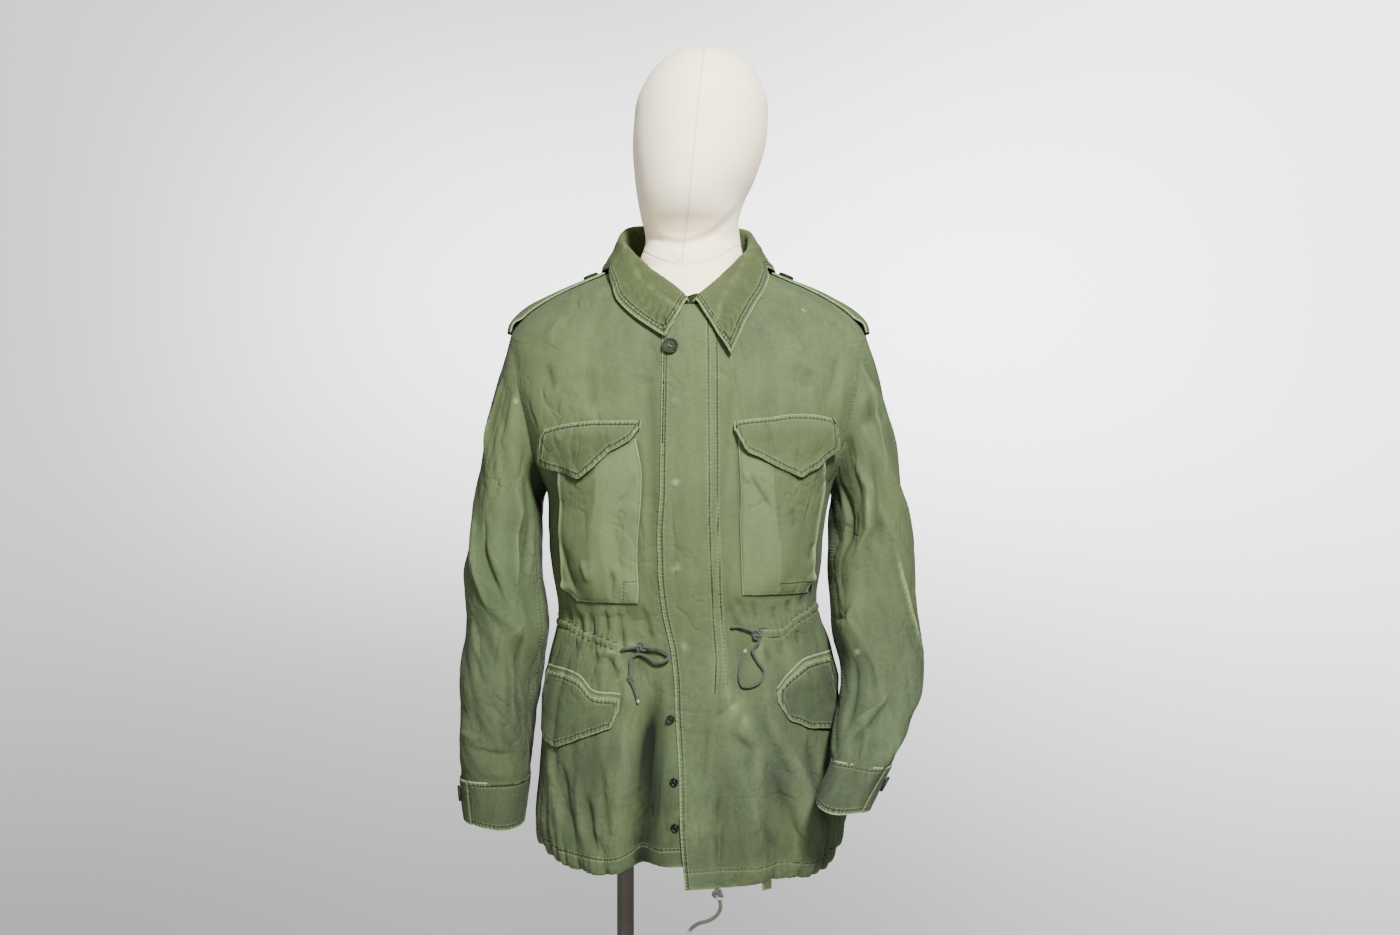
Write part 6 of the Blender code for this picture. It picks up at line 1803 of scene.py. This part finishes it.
def make_collar(name, node, material):
    """Stand and leaf in one piece, as a wall along a folded section that turns round the neck."""
    sections = []
    arounds = np.unique(np.concatenate([np.linspace(0.0, 2.0, 170), [0.004, 0.010, 1.990, 1.996]]))
    for at in arounds:
        base_turn, edge_turn = COLLAR("base_turn", at), COLLAR("edge_turn", at)
        neck_turn = abs(((float(base_turn) + 0.5) % 1.0) - 0.5)
        seam_z = float(NECKLINE("z", neck_turn * 4))
        rise = COLLAR_RISE + COLLAR_FRONT_RISE * smooth(0.045, 0.020, neck_turn)
        base = body(base_turn % 1.0, seam_z + rise, -WALL / 2)
        edge = body(edge_turn % 1.0, COLLAR("edge_z", at), COLLAR("edge_lift", at))
        fold = np.array([float(COLLAR(axis, at)) for axis in ("fold_x", "fold_y", "fold_z")])
        outward = unit(np.array([edge[0] - base[0], edge[1] - base[1], 0.0]))
        drop = np.array([0.0, 0.0, FOLD_DROP])
        stand_top = fold - outward * FOLD_SPREAD - drop
        leaf_top = fold + outward * FOLD_SPREAD - drop
        points = [base, (base + stand_top) / 2, stand_top, fold, leaf_top, (leaf_top + edge) / 2, edge]
        sections.append(section_curve(points, 38))
    grid = np.array(sections).transpose(1, 0, 2)
    cloth = Cloth(grid, wall=COLLAR_WALL)
    leaf_row = round(grid.shape[0] * 0.8)
    centre = np.array([0.0, 0.02, 1.5])
    facing = np.sum(cloth.normal[leaf_row] * unit(grid[leaf_row] - centre), axis=-1).mean()
    cloth.normal = cloth.normal * np.sign(facing)
    from_edge = cloth.up[-1:] - cloth.up
    from_left, from_right = cloth.borders["left"][0], cloth.borders["right"][0]
    ends = np.minimum(from_left, from_right)
    on_leaf = smooth(0.052, 0.040, from_edge)
    place = cloth.across / cloth.across[:, -1:].mean()
    uneven = 0.0018 * crumple(place * 0.5 + from_edge, from_edge / 0.030, 20, 91)
    uneven += 0.0008 * crumple(place * 0.5 - 2 * from_edge, from_edge / 0.016, 44, 92)
    near_tip = bell(ends, 0.050) * bell(from_edge - 0.016, 0.012)
    sway = lattice_noise(place, from_edge / 0.01, 40, 93)
    wrinkle = 0.0024 * near_tip * np.sin(2 * np.pi * (ends / 0.013) + 3 * sway)
    sway = lattice_noise(place, place * 0 + 1.5, 90, 94)
    pucker = 0.0003 * np.sin(2 * np.pi * cloth.across / 0.0062 + 3 * sway) * bell(from_edge - 0.006, 0.004)
    height = (np.maximum(uneven, -0.0014) + wrinkle + pucker) * on_leaf * smooth(0.0, 0.004, from_edge)
    cloth.pushed(height)
    edge = np.minimum(np.minimum(from_edge, from_left), from_right)
    run = np.where(from_edge <= ends, cloth.across, cloth.up)
    dice = 0.5 + 0.5 * lattice_noise(place, from_edge / 0.01, 120, 95)
    worn = np.exp(-edge / 0.0011) * (0.6 + 0.6 * dice) + 0.25 * dice * bell(from_edge - 0.038, 0.003)
    cloth_piece(name, cloth, material, "folded", node, edge=edge, run=run, worn=worn)
    for inset in COLLAR_STITCHES:
        left, right = column_at(cloth, inset * 0.8), column_at(cloth, inset * 0.8, right=True)
        columns = np.linspace(left, right, 900)
        sew(cloth, rows_at(cloth, columns, inset, top=True), columns)
        for column in (left, right):
            sew(cloth, np.linspace(leaf_row * 0.92, rows_at(cloth, [column], inset, top=True)[0], 200), column)


def rows_at(cloth, columns, distance, top=False):
    """For each column, the row that is this far from the foot or below the top."""
    found = []
    for column in columns:
        up = cloth.up[:, int(round(column))]
        found.append(np.interp(up[-1] - distance if top else distance, up, np.arange(len(up))))
    return np.array(found)


# ---------------------------------------------------------------- the cloth pieces
FLY_STITCH = 0.0055
PLAIN_CLOTH = sateen("sateen_plain", (), 0.35, (0.93, 0.93, 0.95))
FLY_CLOTH = sateen("sateen_fly", (FLY_STITCH,), 0.8, combed=0.0030)
HEM_CLOTH = sateen("sateen_hem", (HEM_STITCH,), 0.6)
FLAP_CLOTH = sateen("sateen_flap", (FLAP_STITCH,), 0.8, (0.80, 0.80, 0.82), combed=0.0058)
COLLAR_CLOTH = sateen("sateen_collar", COLLAR_STITCHES, 0.8, (0.79, 0.75, 0.66), combed=0.0092)
BAG_CLOTH = sateen("sateen_bag", (), 0.9)
THREAD = thread()


def sew_front(cloth, z, side):
    """Fly edge, facing, hem and armhole stitching of a front."""
    if side > 0:
        sew(cloth, np.linspace(2, len(z) - 6, 1200), column_at(cloth, FLY_STITCH))
        heights = np.linspace(1.006, 1.448, 900)
        for shift in FACING_LINES:
            t = turn_at_x(facing_x(heights) + shift, heights)
            out = fly_lift(t, heights) + fly_relief(t, heights)
            stitches(body(t, heights, out), body_normal(t, heights))
    columns = np.linspace(0.7 if side > 0 else 3, cloth.middle.shape[1] - 3, 900)
    sew(cloth, rows_at(cloth, columns, HEM_STITCH), columns)
    ends = (np.searchsorted(z[:, -1], height) for height in (ARMPIT_Z + 0.004, SHOULDER_Z - 0.004))
    armhole = np.linspace(*ends, 300)
    for inset in ARMHOLE_STITCHES:
        sew(cloth, armhole, np.array([column_in_row(cloth, row, inset) for row in armhole]))


def column_in_row(cloth, row, distance):
    """The column that is this far from the right border in a row."""
    across = cloth.across[int(round(row))]
    return np.interp(across[-1] - distance, across, np.arange(len(across)))


def sew_waist():
    """The two lines of stitches of the drawcord's channel."""
    for side in (+1, -1):
        for shift in (-WAIST_HALF, WAIST_HALF):
            x = np.linspace(0.081, 0.152, 120)
            z = waist_z(side, x, -1) + shift
            sew_channel(side, turn_at_x(x, z), z, -1)
            turn = np.linspace(0.252, 0.5, 200)
            sew_channel(side, turn, waist_z(side, ring(turn, 1.08)[..., 0], +1) + shift, +1)


def sew_channel(side, turn, z, facing):
    out = gathers(side, turn, z, facing)
    stitches(body(side * turn, z, out), body_normal(side * turn, z))


def make_tape(name, node, material):
    """A short end of tape under the hem."""
    x = stops_between(0.0835, 0.0955, 9)
    drop = stops_between(-0.0050, GAP + 0.0100, 13)
    x, drop = np.meshgrid(x, drop[::-1])
    foot = HEM[+1]("z", turn_at_x(x, np.full(x.shape, 0.79)) * 4)
    z = foot - drop
    out = -0.0046 - 0.0022 * smooth(0.0, -0.0040, drop)
    cloth = Cloth(on_front(+1, x, z, out), wall=0.002, lined_up=front_way(+1, x, z))
    cloth_piece(name, cloth, material, "hung", node, finished=("left", "right", "foot"))


def make_neck_band(name, material):
    """The neck's inner facing, seen between the collar's ends, its sateen darkened to about a fifth: painted
    shade in that gap.
    """
    x, z = np.meshgrid(np.linspace(-0.010, 0.024, 18), np.linspace(1.444, 1.4715, 14))
    turn = turn_at_x(np.abs(x), z) * np.sign(x)
    z = z - 0.0060 * smooth(0.012, -0.010, x) * smooth(1.455, 1.4715, z)
    cloth = Cloth(body(turn, z, -WALL - 0.0007), wall=0.0008, lined_up=body_normal(turn, z))
    cloth_piece(name, cloth, material, "hung", worn=-0.2)


def make_cloth():
    # The neck band's sateen is scaled to about a fifth of the cloth's colour, as painted shade.
    make_neck_band("neck_band", sateen("sateen_shaded", (), 0.1, (0.22, 0.20, 0.20)))
    for side, hand, cloth in ((+1, "left", FLY_CLOTH), (-1, "right", HEM_CLOTH)):
        front, z = make_front(f"{hand}_front", f"front_{hand}", side, cloth)
        sew_front(front, z, side)
    back = make_back("back_panel", "back", HEM_CLOTH)
    columns = np.linspace(3, back.middle.shape[1] - 4, 900)
    sew(back, rows_at(back, columns, HEM_STITCH), columns)
    sew_waist()
    finish_stitching("stitching_body", THREAD)
    for side, hand in HANDS:
        sleeve, place = make_sleeve(f"{hand}_sleeve", f"sleeve_{hand}", side, PLAIN_CLOTH)
        make_cuff(f"{hand}_cuff", f"cuff_{hand}", side, FLAP_CLOTH)
        for column in SLEEVE_SEAMS:
            sew(sleeve, np.linspace(4, sleeve.middle.shape[0] - 30, 500), column * len(place))
        for column in PATCH_SEAMS if side > 0 else ():
            sew(sleeve, np.linspace(12, 70, 300), column * len(place))
    finish_stitching("stitching_sleeves", THREAD)
    for side, hand in HANDS:
        make_bag(f"{hand}_chest_bag", f"chest_pocket_{hand}", side, BAG_CLOTH)
        flap, node = f"{hand}_chest_flap", f"chest_flap_{hand}"
        make_flap(flap, node, side, CHEST_FLAPS[side], FLAP_RISE, FLAP_CLOTH, curl=0.0010)
        make_hip_welt(f"{hand}_hip_welt", f"hip_welt_{hand}", side, BAG_CLOTH)
        flap, node = f"{hand}_hip_flap", f"hip_flap_{hand}"
        make_flap(flap, node, side, HIP_FLAPS[side], HIP_FLAP_RISE, FLAP_CLOTH, HIP_Z)
    finish_stitching("stitching_pockets", THREAD)
    for side, hand in HANDS:
        make_epaulette(f"{hand}_epaulette", f"epaulette_{hand}", side, FLAP_CLOTH)
    make_collar("turned_collar", "collar", COLLAR_CLOTH)
    finish_stitching("stitching_collar", THREAD)
    make_tape("hem_tape_end", "hem_tape", PLAIN_CLOTH)


make_cloth()

# ---------------------------------------------------------------- buttons and snaps
BUTTON_RADIUS = 0.0095
BUTTON_THICKNESS = 0.0030
BUTTON_HOLE_RADIUS = 0.0010
BUTTON_HOLE_REACH = 0.0021
SNAP_RADIUS = 0.0048
SNAP_HEIGHT = 0.0020
SNAPS = ((0.8535, 0.0000), (0.9055, 0.0004), (0.9760, 0.0015))


def turned_part(vertices, radius, height, steps, rim):
    """A disc that stands on the origin, its top inset in steps that are lowered, its rims rounded."""
    bpy.ops.mesh.primitive_cylinder_add(
        vertices=vertices, radius=radius, depth=height, location=(0, 0, height / 2)
    )
    blank = bpy.context.object
    blank.data.transform(blank.matrix_world)
    blank.matrix_world = Matrix.Identity(4)
    bpy.ops.object.mode_set(mode="EDIT")
    bpy.ops.mesh.select_all(action="DESELECT")
    shape = bmesh.from_edit_mesh(blank.data)
    max(shape.faces, key=lambda face: face.calc_center_median().z).select_set(True)
    bmesh.update_edit_mesh(blank.data)
    for inset, lowered in steps:
        bpy.ops.mesh.inset(thickness=inset)
        bpy.ops.transform.translate(value=(0, 0, -lowered))
    bpy.ops.object.mode_set(mode="OBJECT")
    bevel = blank.modifiers.new("rim", "BEVEL")
    bevel.width, bevel.segments, bevel.angle_limit = rim, 3, math.radians(35)
    bpy.ops.object.modifier_apply(modifier="rim")
    return blank


def model_button():
    """A four-hole button with a raised rim and a dished middle, at the origin, facing up."""
    steps = ((0.0016, 0.0), (0.0010, 0.0011), (0.0014, 0.0002))
    blank = turned_part(48, BUTTON_RADIUS, BUTTON_THICKNESS, steps, 0.0006)
    for number in range(4):
        angle = math.pi / 4 + number * math.pi / 2
        bpy.ops.mesh.primitive_cylinder_add(
            vertices=16,
            radius=BUTTON_HOLE_RADIUS,
            depth=BUTTON_THICKNESS * 3,
            location=(BUTTON_HOLE_REACH * math.cos(angle), BUTTON_HOLE_REACH * math.sin(angle), 0.0015),
        )
        drill = bpy.context.object
        bpy.ops.object.select_all(action="DESELECT")
        blank.select_set(True)
        bpy.context.view_layer.objects.active = blank
        cut = blank.modifiers.new("hole", "BOOLEAN")
        cut.operation, cut.object = "DIFFERENCE", drill
        bpy.ops.object.modifier_apply(modifier="hole")
        bpy.data.objects.remove(drill)
    bpy.ops.object.shade_smooth_by_angle(angle=math.radians(40))
    return blank


def model_snap():
    """A ring-shaped snap stud with a rounded rim and a post in its middle."""
    steps = ((0.0014, 0.0), (0.0006, 0.0009), (0.0008, 0.0), (0.0002, -0.0011))
    blank = turned_part(40, SNAP_RADIUS, SNAP_HEIGHT, steps, 0.0004)
    bpy.ops.object.shade_smooth_by_angle(angle=math.radians(40))
    return blank


def standing(foot, axis, spin):
    """Places a part made at the origin: its foot, the way up from it and its turn round that."""
    turn = Vector((0, 0, 1)).rotation_difference(Vector(axis)).to_matrix().to_4x4()
    return Matrix.Translation(Vector(foot)) @ turn @ Matrix.Rotation(spin, 4, "Z")


def placed_copy(source, name, foot, axis, material, slot, node, spin=0.0):
    """A copy of a small part with its own mesh, its place in the mesh."""
    mesh = source.data.copy()
    mesh.name = name
    mesh.transform(standing(foot, axis, spin))
    show(name, mesh, material, slot, node)


def button_thread(name, foot, axis, material, spin):
    """Two bars of thread through a button's holes."""
    place = standing(foot, axis, spin)
    reach = BUTTON_HOLE_REACH * math.sqrt(0.5)
    arch = ((-1, 0.0010), (-0.85, 0.0023), (0, 0.0025), (0.85, 0.0023), (1, 0.0010))
    bars = []
    for number, y in enumerate((-reach, reach)):
        for shift in (-0.00035, 0.0, 0.00035):
            route = [tuple(place @ Vector((reach * along, y + shift, rise))) for along, rise in arch]
            route = smooth_route(route, 0.0005)
            bars.append(tube_mesh(f"bar_{number}", route, 0.00028, segments=6, relief=0.0, ends=0.0))
    show(name, joined(name, bars), material, "sateen")


def make_fastenings():
    plastic, brass = button_finish(), snap_finish()
    button, snap = model_button(), model_snap()
    places = []
    z, x = 1.4050, -0.0205
    turn = -turn_at_x(-x, z)
    places.append(("neck", "neck_button", body(turn, z, FLY_LIFT + 0.0010), body_normal(turn, z), 0.9))
    for side, hand in HANDS:
        here = cuff_face(side, CUFF_BUTTON_PLACE, CUFF_BUTTON_SHARE)
        along = cuff_face(side, CUFF_BUTTON_PLACE + 0.01, CUFF_BUTTON_SHARE) - here
        down = cuff_face(side, CUFF_BUTTON_PLACE, CUFF_BUTTON_SHARE + 0.02) - here
        axis = side * unit(np.cross(along, down))
        places.append((f"{hand}_cuff", f"cuff_button_{hand}", here + axis * 0.0003, axis, 0.4))
        z = EPAULETTE_BUTTON_Z
        axis = body_normal(side * 0.25, z)
        lift = LIE + GAP + float(EPAULETTE("lift", z)) + EPAULETTE_WALL + 0.0007
        foot = body(side * 0.25, z, lift)
        places.append((f"{hand}_epaulette", f"epaulette_button_{hand}", foot, axis, 0.2))
    for name, node, foot, axis, spin in places:
        placed_copy(button, f"{name}_button_disc", foot, axis, plastic, "button", node, spin)
        button_thread(f"{name}_button_thread", foot, axis, THREAD, spin)
    for number, (z, lift) in enumerate(SNAPS, start=1):
        x = -float(FLY_EDGE("x", z)) + SNAP_RADIUS + 0.0012
        turn = -turn_at_x(x, z)
        foot, axis = body(turn, z, lift), body_normal(turn, z)
        placed_copy(snap, f"snap_{number}", foot, axis, brass, "snap_metal", f"snap_stud_{number}")
    bpy.data.objects.remove(button)
    bpy.data.objects.remove(snap)


make_fastenings()

# ---------------------------------------------------------------- dress form and stand
FORM_HEAD = Table(
    ("z", "x", "half_width", "front", "back"),
    (1520, 4, 64, 50, 60), (1540, 5.5, 58.5, 47, 61), (1556, 4, 58, 60, 60), (1570, 2, 60, 80, 60),
    (1590, 3, 65, 95, 64), (1620, 8, 74, 103, 76), (1660, 13, 81.5, 104, 90), (1700, 16, 82, 98, 93),
    (1740, 18, 70, 80, 79), (1762, 19, 53, 59, 59), (1776, 19.5, 30, 33, 34), (1782, 19.5, 8, 8, 8),
)
FORM_FOOT_Z = 0.868
FORM_COLUMNS = 128


def make_form(name, node, material):
    """The form, its sewn seams known to its finish as signed distances."""
    turn = np.arange(FORM_COLUMNS) / FORM_COLUMNS
    angle = 2 * np.pi * turn
    rows = []
    for z in np.linspace(FORM_FOOT_Z, 1.502, 90):
        rows.append(ring(turn, z) - body_normal(turn, z) * (WALL + float(FORM_EASE("ease", z))))
    rows[0][:, 2] = FORM_FOOT_Z
    for z in np.concatenate([np.linspace(1.508, 1.762, 150), [1.768, 1.773, 1.777, 1.780, 1.782]]):
        sizes = {column: float(FORM_HEAD(column, z)) for column in ("x", "half_width", "front", "back")}
        reach = np.where(np.cos(angle) > 0, sizes["front"], sizes["back"])
        x = sizes["x"] + sizes["half_width"] * np.sin(angle)
        above = z - 1.536 - 0.022 * ((x + 0.008) / 0.048) ** 2
        jutting = 0.0050 * smooth(-0.0010, 0.0050, above) * smooth(1.70, 1.60, z)
        jutting = (jutting - 0.0016 * bell(above + 0.005, 0.004)) * smooth(0.15, 0.60, np.cos(angle))
        rows.append(np.stack([x, -reach * np.cos(angle) - jutting, np.full(x.shape, z)], axis=-1))
    grid = np.array(rows)
    centre = np.interp(grid[..., 2], (1.50, 1.52, 1.57, 1.782), (-0.008, -0.008, 0.000, 0.020))
    seam = np.where(grid[..., 1] < 0, grid[..., 0] - centre, 1.0)
    seam = np.where(grid[..., 2] < 1.504, 1.0, seam)
    ring_z = 1.508 + 0.0165 * np.minimum(((grid[..., 0] + 0.002) / 0.048) ** 2, 1.6)
    off = np.where(grid[..., 2] < 1.56, grid[..., 2] - ring_z, 1.0)
    seam = np.where(np.abs(off) < np.abs(seam), off, seam)
    mesh = capped_tube(name, grid, grid[[0, -1]].mean(axis=1), seam=np.append(seam, (1.0, 1.0)))
    mesh.set_sharp_from_angle(angle=math.radians(60))
    show(name, mesh, material, "form_cloth", node)


make_form("form_body", "dress_form", form_finish())
STEEL = steel_finish()
for part in ("stand_base", "stand_socket", "stand_pole", "stand_flange"):
    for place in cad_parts[part].material_slots:
        place.material = STEEL


# ---------------------------------------------------------------- floor, background and light
AMBIENT = 0.42


def make_studio():
    bpy.ops.mesh.primitive_circle_add(vertices=96, radius=2.3, fill_type="NGON")
    floor = bpy.context.object
    floor.name = "floor"
    pale = Finish("floor_pale", (0.62, 0.62, 0.61), roughness=0.9)
    fade = pale.node("ShaderNodeVectorMath", {"operation": "LENGTH"}, pale.where, out="Value")
    clear, lit = pale.node("ShaderNodeBsdfTransparent", {}), Wire(pale, pale.shader.outputs[0])
    mixed = pale.node("ShaderNodeMixShader", {}, fade.between(1.1, 2.2), lit, clear)
    out = next(node for node in pale.tree.nodes if node.type == "OUTPUT_MATERIAL")
    pale.tree.links.new(mixed.socket, out.inputs["Surface"])
    floor.data.materials.append(pale.material)
    world = bpy.data.worlds.new("studio")
    bpy.context.scene.world = world
    world.use_nodes = True
    tree = world.node_tree
    backdrop = tree.nodes["Background"]
    glow = Tree(tree)
    way = glow.node("ShaderNodeTexCoord", {}, out="Generated")
    aside, rise = (glow.node("ShaderNodeSeparateXYZ", {}, way, out=axis) for axis in ("X", "Z"))
    # Camera rays see a painted backdrop: lighter to the right, darker towards the bottom and with a painted
    # pool of light near the middle; all other rays get the even AMBIENT light.
    bright = 1.62 + aside.between(-0.10, 0.35) * 2.0 - aside.between(-0.05, -0.40) * 0.35
    low = 0.42 - aside.between(-0.20, 0.15) * 0.10
    bright = bright * (low + rise.between(-0.30, 0.05) * (1 - low))
    bright = bright + abs(rise - 0.10).between(0.24, 0.0) * abs(aside - 0.01).between(0.42, 0.10) * 2.4
    seen = glow.node("ShaderNodeLightPath", {}, out="Is Camera Ray")
    strength = seen * bright + (1 - seen) * AMBIENT
    tree.links.new(strength.socket, backdrop.inputs["Strength"])
    backdrop.inputs["Color"].default_value = (1.0, 1.0, 1.0, 1.0)


def add_light(name, place, aim, size, watts):
    lamp = bpy.data.lights.new(name, "AREA")
    lamp.shape, lamp.size, lamp.size_y, lamp.energy = "RECTANGLE", size[0], size[1], watts
    made = bpy.data.objects.new(name, lamp)
    bpy.context.scene.collection.objects.link(made)
    made.location = place
    made.rotation_euler = (Vector(aim) - Vector(place)).to_track_quat("-Z", "Y").to_euler()
    made.visible_camera = False


make_studio()
add_light("key", (0.62, -2.10, 2.70), (0.0, 0.0, 1.25), (0.40, 0.40), 240.0)
add_light("fill", (-1.7, -2.1, 1.9), (0.0, 0.0, 1.2), (1.0, 1.4), 20.0)
add_light("back", (0.3, 2.8, 1.7), (0.0, 0.0, 1.15), (1.2, 1.2), 60.0)
